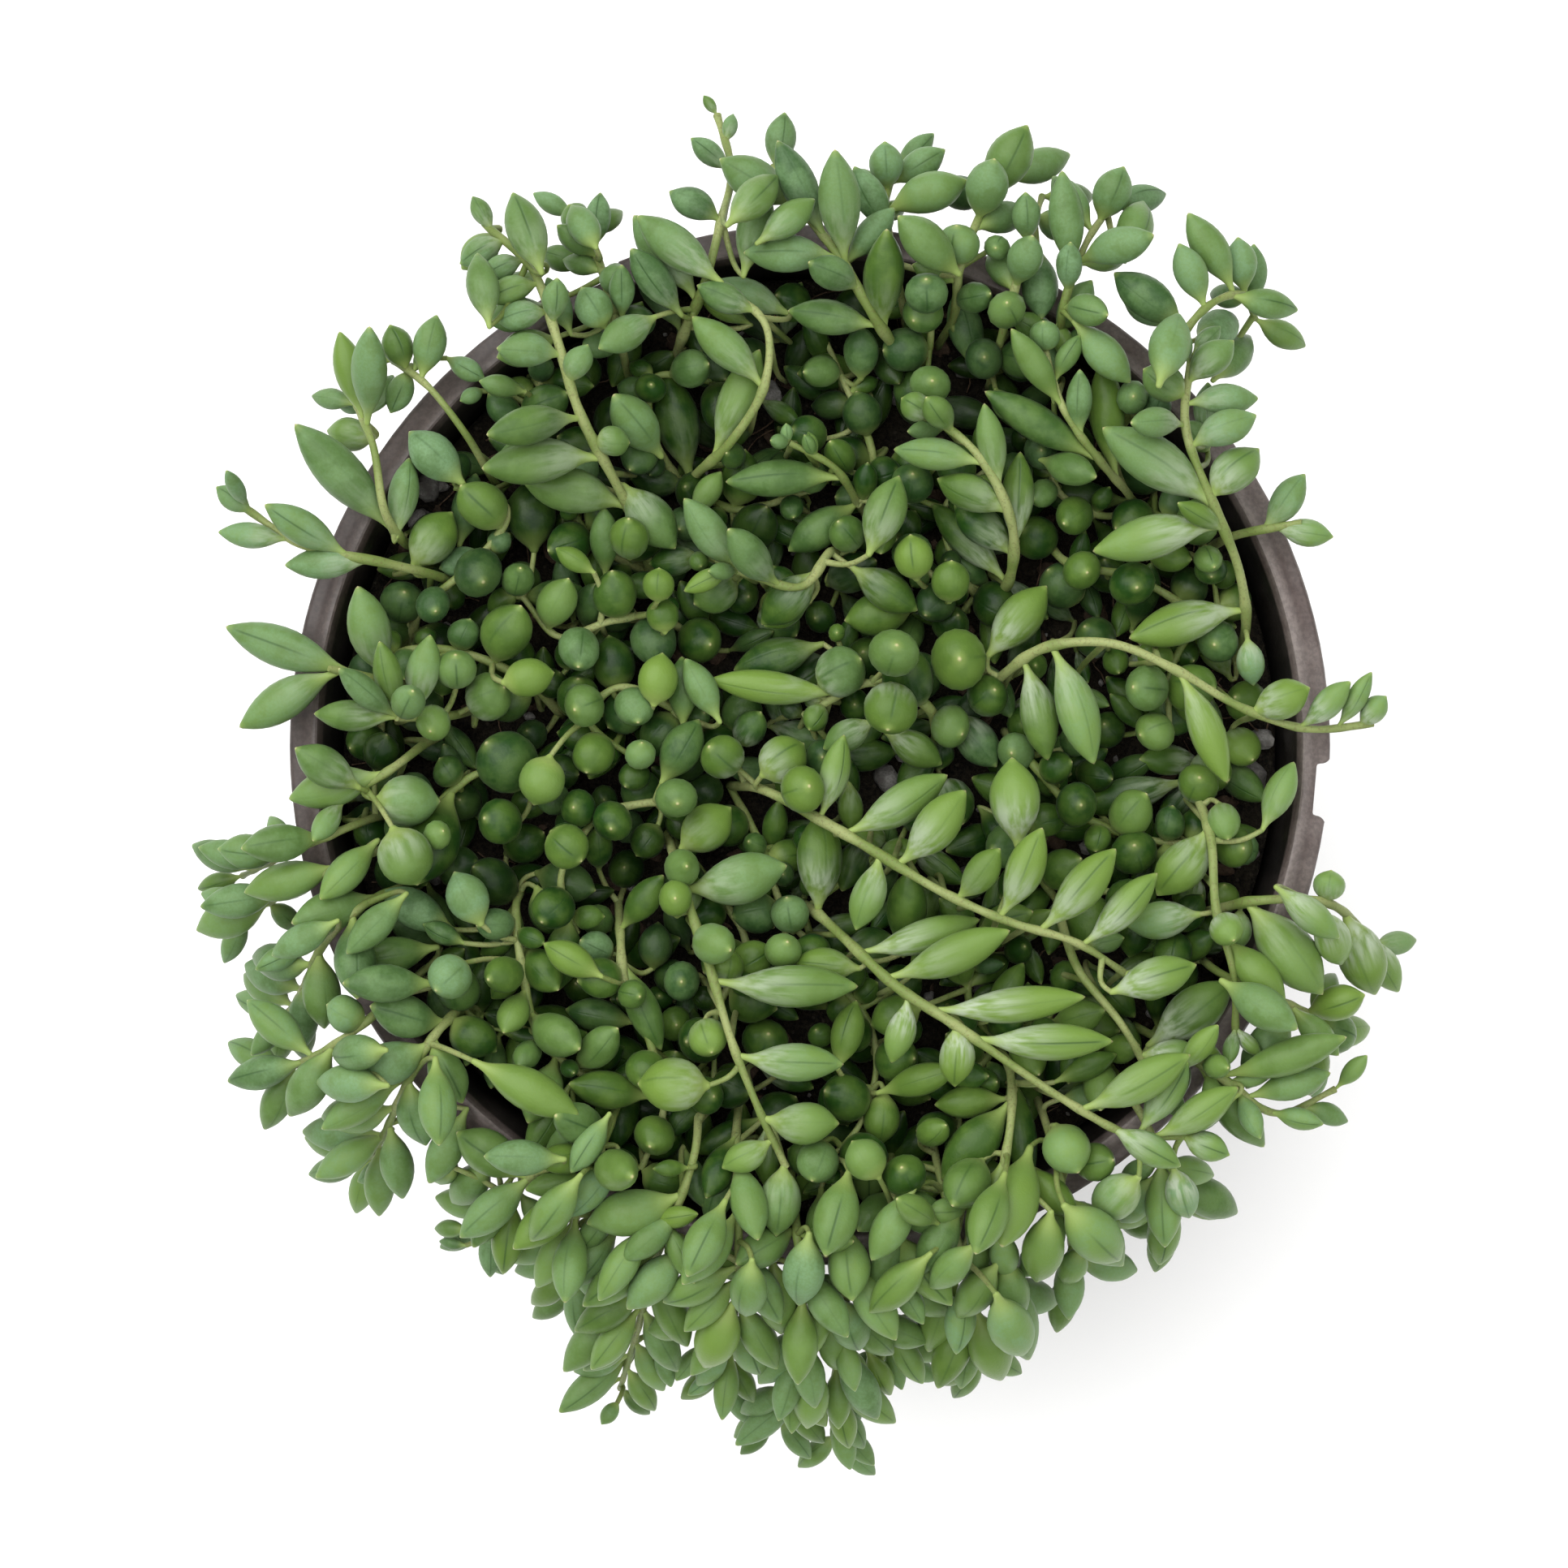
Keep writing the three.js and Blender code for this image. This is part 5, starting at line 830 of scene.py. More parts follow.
     [0.56, 1572, 1330, -2, 6]], [0.5, 1, 6, 13, 11, 0.42, 0.4, 46, 80]),
    ("stem_east_fringe_lower", [[1404, 1268, 0], [1462, 1300, 5], [1520, 1336, 6], [1556, 1372, 3],
     [1592, 1384, 1], [1628, 1362, 0], [1645, 1342, -1]],
     [[0.62, 1640, 1322, 2, 4.8], [0.5, 1660, 1278, 2, 5.4], [0.4, 1558, 1414, -4, 6],
     [0.34, 1512, 1300, 1, 4.6]], [0.3, 1, 5.5, 10, 7, 0.42, 0.42, 38, 80]),
    ("stem_southwest_fringe_one", [[730, 1385, 0], [700, 1420, 4], [655, 1444, 5], [628, 1478, -1],
     [606, 1502, -12], [590, 1520, -26]],
     [[0.42, 562, 1395, -1, 6.8], [0.36, 672, 1424, 1, 4]], [0.4, 1, 5.5, 13, 9, 0.42, 0.38, 46, 80]),
    ("stem_southwest_fringe_two", [[578, 1226, 0], [560, 1250, 4], [532, 1275, 7], [506, 1322, 5],
     [486, 1370, -2], [468, 1408, -16], [452, 1430, -34]],
     [[0.22, 455, 1240, 2, 6.6], [0.3, 438, 1326, 0, 6.6], [0.28, 570, 1360, 0, 5.6],
     [0.4, 525, 1412, -3, 5.8], [0.12, 558, 1198, 7, 6.8], [0.2, 612, 1296, 1, 6.4]],
     [0.5, 1, 5.5, 14, 11, 0.42, 0.38, 46, 80]),
    ("stem_southwest_fringe_three", [[520, 1196, 0], [478, 1234, 5], [440, 1270, 6], [398, 1298, 2],
     [362, 1312, -8], [338, 1318, -22]],
     [[0.36, 402, 1238, 1, 5.6], [0.5, 356, 1376, -4, 6], [0.66, 280, 1332, -4, 5.2]],
     [0.6, 1, 5.5, 13, 10, 0.42, 0.38, 46, 80]),
    ("stem_west_fringe_one", [[512, 1092, 0], [470, 1100, 4], [425, 1132, 6], [398, 1160, 3],
     [382, 1200, -6], [366, 1232, -20], [352, 1250, -36]],
     [[0.2, 358, 1138, 1, 6.2], [0.3, 440, 1232, -1, 6.4], [0.44, 400, 1268, -4, 6]],
     [0.5, 1, 5.5, 14, 10.5, 0.42, 0.38, 46, 80]),
    ("stem_west_fringe_two", [[482, 1040, 0], [448, 1056, 4], [408, 1072, 6], [368, 1092, 2],
     [330, 1112, -8], [306, 1124, -22]],
     [[0.34, 300, 1100, -1, 5.8], [0.1, 405, 1052, 6, 7], [0.7, 242, 1146, -3, 6.4]],
     [0.6, 1, 5.5, 13, 10, 0.42, 0.38, 46, 80]),
    ("stem_west_fringe_three", [[478, 1004, 0], [444, 1012, 4], [405, 1030, 6], [365, 1048, 2],
     [325, 1066, -8], [300, 1078, -20]],
     [[0.4, 296, 1046, 0, 5.8], [0.6, 268, 1046, 0, 5.4]], [0.56, 1, 5.5, 13, 10, 0.42, 0.38, 46, 80]),
    ("stem_west_carpet_upper", [[500, 790, 0], [512, 750, -2], [545, 716, 0], [600, 680, 0], [640, 640, 1],
     [620, 600, 0], [560, 600, 0]],
     [[0.3, 560, 625, 3, 6.6], [0.8, 655, 600, 5, 8.6]], [0.1, 1, 6.5, 8.5, 9, 0.86, 0.7, 78, 60]),
    ("stem_west_carpet_middle", [[690, 880, 0], [660, 840, -1], [610, 820, 1], [560, 800, 0], [500, 790, 1],
     [480, 830, -3], [470, 900, -6]],
     [[0.36, 642, 746, 4, 7.8], [0.3, 610, 850, 7, 7.4], [0.12, 690, 828, 3, 6.2]],
     [0.05, 1, 6.5, 8, 8, 0.9, 0.86, 78, 60]),
    ("stem_west_carpet_lower", [[700, 1010, 0], [668, 972, -1], [610, 940, 1], [570, 960, 1],
     [520, 1010, 0], [492, 1056, -2]],
     [[0.3, 598, 915, 7, 9.4], [0.1, 662, 948, 7, 7.4], [0.66, 515, 1090, 5, 8.4]],
     [0.05, 1, 6.5, 8, 8, 0.9, 0.88, 78, 60]),
    ("stem_middle_carpet_upper", [[860, 790, 0], [815, 765, -2], [790, 740, 0], [740, 770, 1],
     [710, 800, 1], [660, 770, 0], [640, 730, 0]],
     [], [0.05, 1, 6.2, 8, 8.5, 0.86, 0.62, 76, 62]),
    ("stem_middle_carpet_centre", [[880, 910, 0], [840, 880, 0], [800, 850, 2], [755, 840, 2],
     [712, 860, 2], [730, 910, 1], [790, 940, 0]],
     [[0.16, 868, 878, 3, 5.6]], [0.05, 1, 6.2, 8, 7.6, 0.88, 0.82, 76, 62]),
    ("stem_middle_carpet_lower", [[862, 1000, 0], [836, 992, 0], [790, 980, 1], [740, 1000, 1],
     [700, 1050, 2], [680, 1110, 2], [712, 1150, -1]],
     [[0.9, 689, 1220, -2, 5.8]], [0.05, 1, 6.2, 8, 8.4, 0.9, 0.8, 76, 62]),
    ("stem_south_carpet", [[760, 1110, 0], [766, 1180, 4], [772, 1235, 4], [810, 1300, 3], [822, 1350, 2],
     [812, 1405, 2], [790, 1440, 0]],
     [[0.24, 662, 1158, 2, 5.4], [0.3, 815, 1295, 1, 5], [0.18, 818, 1078, 4, 4.8],
     [0.62, 790, 1336, 5, 8.8]], [0.34, 1, 6.2, 9, 9, 0.8, 0.86, 72, 66]),
    ("stem_southwest_carpet", [[640, 1090, 0], [632, 1130, 3], [650, 1190, 3], [640, 1250, 2],
     [680, 1300, 2], [740, 1340, 2]],
     [[0.7, 588, 1302, 3, 6.4], [0.1, 612, 1226, 2, 6], [0.04, 462, 1095, 3, 6.2]],
     [0.1, 1, 6.2, 11, 11, 0.6, 0.5, 62, 70]),
    ("stem_east_carpet", [[1290, 660, 0], [1310, 700, 0], [1365, 700, 1], [1420, 720, -1], [1490, 780, -2],
     [1420, 840, -1], [1440, 900, 0]],
     [[0.98, 1404, 906, 4, 7.4]], [0.05, 1, 6.5, 8.4, 8.4, 0.88, 0.86, 76, 60]),
    ("stem_lower_east_carpet", [[1240, 900, 0], [1270, 930, 0], [1290, 975, 0], [1340, 1010, -1],
     [1390, 1040, -1], [1450, 1030, -2], [1500, 1040, -3]],
     [[0.12, 1246, 928, 6, 7.6]], [0.05, 1, 6.5, 8.6, 8.6, 0.82, 0.86, 74, 62]),
]

# The section of the solid pot, from its axis up the outside and down the inside.
POT_SECTION = np.array([
    [0, 0], [FOOT_RADIUS - 2, 0], [FOOT_RADIUS, 2], [WALL_TOP_RADIUS, SKIRT_FOOT - 2],
    [RIM_RADIUS - 1.1, SKIRT_FOOT], [RIM_RADIUS - 0.4, SKIRT_FOOT + 1], [RIM_RADIUS, POT_HEIGHT - 2.6],
    [RIM_RADIUS - 0.5, POT_HEIGHT - 1.7], [LIP_OUTER, POT_HEIGHT - 1.5], [LIP_OUTER - 0.7, POT_HEIGHT],
    [LIP_INNER + 0.6, POT_HEIGHT], [LIP_INNER, POT_HEIGHT - 0.7], [INNER_TOP, SKIRT_FOOT - 1],
    [INNER_FOOT, FLOOR], [0, FLOOR],
])
SECTION_STEPS = np.diff(POT_SECTION, axis=0)
SECTION_SPANS = (SECTION_STEPS ** 2).sum(axis=1)


def away_from_pot(point):
    """How far a place is from the pot's section, and the way out from it in radius and height."""
    here = np.array([math.hypot(point[0], point[1]), point[2]])
    along = ((here - POT_SECTION[:-1]) * SECTION_STEPS).sum(axis=1) / SECTION_SPANS
    gaps = here - POT_SECTION[:-1] - SECTION_STEPS * np.clip(along, 0, 1)[:, None]
    far = np.hypot(gaps[:, 0], gaps[:, 1])
    nearest = int(far.argmin())
    return far[nearest], gaps[nearest] / (far[nearest] + 1e-9)


# What already fills the space, as balls: the middle and radius of each, its stem's number, and whether
# it is a length of the stem.
MOST_BALLS = 60000
balls = np.zeros((MOST_BALLS, 4))
ball_owner = np.full(MOST_BALLS, -1)
ball_is_stem = np.zeros(MOST_BALLS, bool)
ball_count = 0
owners = ["stone"]


def add_ball(middle, radius, owner, stem=False):
    """Fills a ball of space."""
    global ball_count
    balls[ball_count] = (*middle, radius)
    ball_owner[ball_count] = owner
    ball_is_stem[ball_count] = stem
    ball_count += 1


def curve_through(before, marks, per_span):
    """A smooth line through marked places, with so many points to a span. It comes from the place before."""
    padded = [before, *marks, marks[-1] * 2 - marks[-2]]
    points = []
    for i in range(len(marks) - 1):
        a, b, c, d = padded[i:i + 4]
        for k in range(per_span):
            t = k / per_span
            points.append(0.5 * (2 * b + (c - a) * t + (2 * a - 5 * b + 4 * c - d) * t * t
                                 + (3 * b - a - 3 * c + d) * t * t * t))
    points.append(marks[-1])
    return np.array(points)


def beads_through(marks):
    """A smooth line through marked places, as beads a set distance apart."""
    dense = curve_through(marks[0] + np.array([0, 0, -6]), marks, 12)
    reached = np.concatenate([[0], np.cumsum(np.linalg.norm(np.diff(dense, axis=0), axis=1))])
    steps = max(2, math.floor(reached[-1] / (BEAD * BEADS_PER_STEP) + 0.5))
    goals = reached[-1] * np.arange(steps * BEADS_PER_STEP + 1) / (steps * BEADS_PER_STEP)
    return np.stack([np.interp(goals, reached, dense[:, axis]) for axis in range(3)], axis=1)


def bend_clear(beads, owner):
    """Bends a stem's beads clear of the pot, the soil and the stems that are there already."""
    others = balls[:ball_count][ball_owner[:ball_count] != owner][:, :3]
    for _ in range(BEND_ROUNDS):
        for i in range(1, len(beads)):
            bead = beads[i]
            near = others[(np.abs(others - bead) < BEND_REACH).all(axis=1)]
            for ball in near:
                away = bead - ball
                far = np.linalg.norm(away)
                if far < STEM_GAP:
                    away[2] += PASS_OVER
                    bead += away / np.linalg.norm(away) * (STEM_GAP - far)
            ground = soil_top(bead[0], bead[1]) + STEM_OVER_SOIL
            radius = math.hypot(bead[0], bead[1])
            if radius < INNER_TOP and bead[2] < ground:
                bead[2] = ground
            nearest, way = away_from_pot(bead)
            short = STEM_RADIUS + STEM_OFF_POT - nearest
            if short > 0:
                bead[2] += way[1] * short
                bead[:2] += way[0] * short * bead[:2] / radius
        for i in range(1, len(beads) - 1):
            beads[i] += ((beads[i - 1] + beads[i + 1]) * 0.5 - beads[i]) * BEND_EASE


stems = []


def lay_stem(name, route, placed, habit):
    """Lays a stem or a fork. Its corners are its root's foot, the top of its riser, and every few beads."""
    forks = name == ""
    if not forks:
        owners.append(name)
    owner = len(owners) - 1
    root = stems[-1]["root"] if forks else place(route[0])
    ground = soil_top(root[0], root[1])
    riser = np.array([root[0], root[1], ground + RISER])
    foot = np.array([root[0], root[1], ground - ROOT_DEPTH])
    beads = beads_through([riser] + [place(mark) for mark in route[0 if forks else 1:]])
    bend_clear(beads, owner)
    corners = np.array([foot, *beads[::BEADS_PER_STEP]])
    for start, end in zip(corners, corners[1:]):
        for k in range(BEADS_PER_STEP):
            add_ball(start + (end - start) * (k + 1) / BEADS_PER_STEP, STEM_RADIUS, owner, True)
    stems.append({"name": owners[owner], "owner": owner, "forks": forks, "placed": placed, "habit": habit,
                  "root": root, "corners": corners, "leaves": []})


def along_stem(stem, share):
    """A place along a stem, counted from the top of its riser, and the way the stem runs there."""
    corners = stem["corners"]
    spans = len(corners) - 2
    at = min(spans - 1e-6, max(0, share * spans))
    i = math.floor(at) + 1
    way = corners[i + 1] - corners[i]
    return corners[i] + way * (at - math.floor(at)), way / np.linalg.norm(way)


def leaf_outline(share, plumpness):
    """Half the breadth of a leaf as a share of its full breadth, at a share of its length."""
    part = max(0, (share - PEA_STALK) / (1 - PEA_STALK))
    ball = math.sqrt(max(0, part * (1 - part)))
    spindle = 0.5 * max(0, math.sin(math.pi * max(0, share) ** 1.1)) ** 1.3
    return spindle + (ball - spindle) * min(1, max(0, (plumpness - 0.5) / 0.3))


TESTED_SHARES = [0.14, 0.3, 0.46, 0.62, 0.78, 0.9, 1]


def space_needed(share, length, width):
    """The radius of the ball that a leaf fills at a share of its length."""
    return leaf_outline(share, width / length) * width * 1.05 + 0.12


def has_room(base, way, length, width, owner, gap=LEAF_GAP):
    """Whether a leaf has room: clear of the pot, the soil, the ground and what is there already."""
    middle = base + way * length * LEAF_MIDDLE
    reach = length * 0.5 + width * 0.55 + LARGEST_BALL
    near = (np.abs(balls[:ball_count, :3] - middle) < reach).all(axis=1)
    crowd = balls[:ball_count][near]
    own = ball_owner[:ball_count][near] == owner
    own_stem = own & ball_is_stem[:ball_count][near]
    for share in TESTED_SHARES:
        radius = space_needed(share, length, width)
        point = base + way * length * share
        if point[2] - radius < GROUND_GAP:
            return False
        if math.hypot(point[0], point[1]) < INNER_TOP and point[2] - radius < soil_top(*point[:2]) + SOIL_GAP:
            return False
        if away_from_pot(point)[0] < radius + POT_GAP:
            return False
        tested = ~own_stem if share >= FREE_SHARE else ~own
        need = radius + crowd[:, 3] + np.where(own, min(gap, OWN_GAP), gap)
        if (tested & (((crowd[:, :3] - point) ** 2).sum(axis=1) < need * need)).any():
            return False
    return True


def add_leaf(stem, share, way, length, width):
    """Adds a leaf to a stem, and fills its space."""
    point, _ = along_stem(stem, share)
    stem["leaves"].append((share, point, way, length, width))
    for part in TESTED_SHARES:
        add_ball(point + way * length * part, space_needed(part, length, width), stem["owner"])


DRAW_FACTOR = 1664525
DRAW_STEP = 1013904223
DRAW_SPAN = 4294967296
drawn = SEED


def draw():
    """The next number of a seeded series, from 0 to 1."""
    global drawn
    drawn = (drawn * DRAW_FACTOR + DRAW_STEP) % DRAW_SPAN
    return drawn / DRAW_SPAN


HAND_TRIES = 6
HAND_LIFT = 1.3
HAND_SHRINK = 0.86


def place_by_hand(stem):
    """Points each listed leaf from its stem to its tip, raised or shortened if it has no room."""
    for share, across, down, rise, width in stem["placed"]:
        point, _ = along_stem(stem, share)
        for attempt in range(2 * HAND_TRIES):
            lift = rise + attempt % HAND_TRIES * HAND_LIFT
            way = place([across, down, point[2] - POT_HEIGHT + lift]) - point
            shrink = 1 if attempt < HAND_TRIES else HAND_SHRINK
            length = np.linalg.norm(way) * shrink
            way = way / np.linalg.norm(way)
            breadth = min(width * shrink, length * 0.98)
            if has_room(point, way, length, breadth, stem["owner"]):
                add_leaf(stem, share, way, length, breadth)
                break


def leaf_way(point, way, opening, turn):
    """The way a leaf leaves its stem: opened from it, and turned round it from its free side."""
    steep = max(0, -way[2])
    outward = np.array([point[0], point[1], 0]) / math.hypot(point[0], point[1])
    free = np.array([0, 0, 1 - steep]) + outward * (steep + 0.1)
    free -= way * free.dot(way)
    free /= np.linalg.norm(free)
    across = free * math.cos(turn) + np.cross(way, free) * math.sin(turn)
    return way * math.cos(opening) + across * math.sin(opening)


# How far round its stem each next try at a leaf goes.
WANDER = [0, -0.5, 0.35, -0.9, 0.7, -1.3, 1, -1.7, 0.2, -0.2, -1, 0.5]
FREE_HANG = 3


def place_by_rule(stem, step=None, scale=1.0, gap=LEAF_GAP):
    """Sets leaves every few millimetres, left and right in turn, at other angles where there is no room."""
    first, last, spacing, length_first, length_last, plump_first, plump_last, opening, fan = stem["habit"]
    if first >= 1:
        return
    corners = stem["corners"]
    total = np.linalg.norm(np.diff(corners[1:], axis=0), axis=1).sum()
    count = max(1, math.floor(total * (last - first) / (step or spacing)))
    for i in range(count + 1):
        part = i / count
        share = first + (last - first) * part
        point, way = along_stem(stem, share)
        hand = 1 if i % 2 == 0 else -1
        turn_draw, open_draw, size_draw = draw(), draw(), draw()
        if step and math.hypot(point[0], point[1]) > RIM_RADIUS + FREE_HANG:
            continue
        for attempt, wander in enumerate(WANDER):
            turn = math.radians(hand * fan * (0.45 + 0.55 * turn_draw + wander))
            opened = math.radians(opening + 16 * (open_draw - 0.5) + attempt % 3 * 7)
            shrink = (0.88 + 0.24 * size_draw) * (1 - 0.03 * attempt) * scale
            length = (length_first + (length_last - length_first) * part) * shrink
            plump = plump_first + (plump_last - plump_first) * part
            toward = leaf_way(point, way, opened, turn)
            if has_room(point, toward, length, length * plump, stem["owner"], gap):
                add_leaf(stem, share, toward, length, length * plump)
                break


for across, down, radius in STONES:
    x, y, _ = place([across, down, -SOIL_DEPTH_AT_WALL])
    add_ball((x, y, soil_top(x, y)), radius, 0)
for row in STEMS:
    lay_stem(*row)
for stem in stems:
    place_by_hand(stem)
for stem in stems:
    place_by_rule(stem)
for stem in stems:
    stem["large"] = len(stem["leaves"])
    stem["fillers"] = []

# What the leaves cover, seen from above, in cells of a grid.
CELL = 1
GRID = 230
cells = (np.arange(GRID) - GRID / 2 + 0.5) * CELL
covered = np.zeros((GRID, GRID), bool)


def disc(x, y, radius):
    """The cells of the grid within a disc."""
    span = np.arange(int(2 * radius / CELL) + 3)
    i, j = np.meshgrid(int((x - radius) / CELL + GRID / 2) + span - 1,
                       int((y - radius) / CELL + GRID / 2) + span - 1, indexing="ij")
    i, j = np.clip(i, 0, GRID - 1), np.clip(j, 0, GRID - 1)
    inside = (cells[i] - x) ** 2 + (cells[j] - y) ** 2 < radius * radius
    return i[inside], j[inside]


node_places, node_stems, node_shares = [], [], []
for stem in stems:
    for share in np.linspace(0.02, 0.98, 2 * len(stem["corners"])):
        node_places.append(along_stem(stem, share)[0])
        node_stems.append(stem)
        node_shares.append(share)
node_places = np.array(node_places)


def try_filler(node, middle, way, length, width, gap, look=0):
    """Hangs a leaf on a stalk from a shoot, if it has room."""
    start = middle - way * length * LEAF_MIDDLE
    if not has_room(start, way, length, width, 0, gap):
        return False
    stem = node_stems[node]
    stem["fillers"].append((node_shares[node], start, way, length, width, look))
    for part in TESTED_SHARES:
        radius = space_needed(part, length, width)
        spot = start + way * length * part
        add_ball(spot, radius, stem["owner"])
        covered[disc(spot[0], spot[1], radius)] = True
    return True


def way_of(heading, lean):
    """A direction from its heading in plan view and its lean above the level."""
    return np.array([math.cos(heading) * math.cos(lean), math.sin(heading) * math.cos(lean), math.sin(lean)])


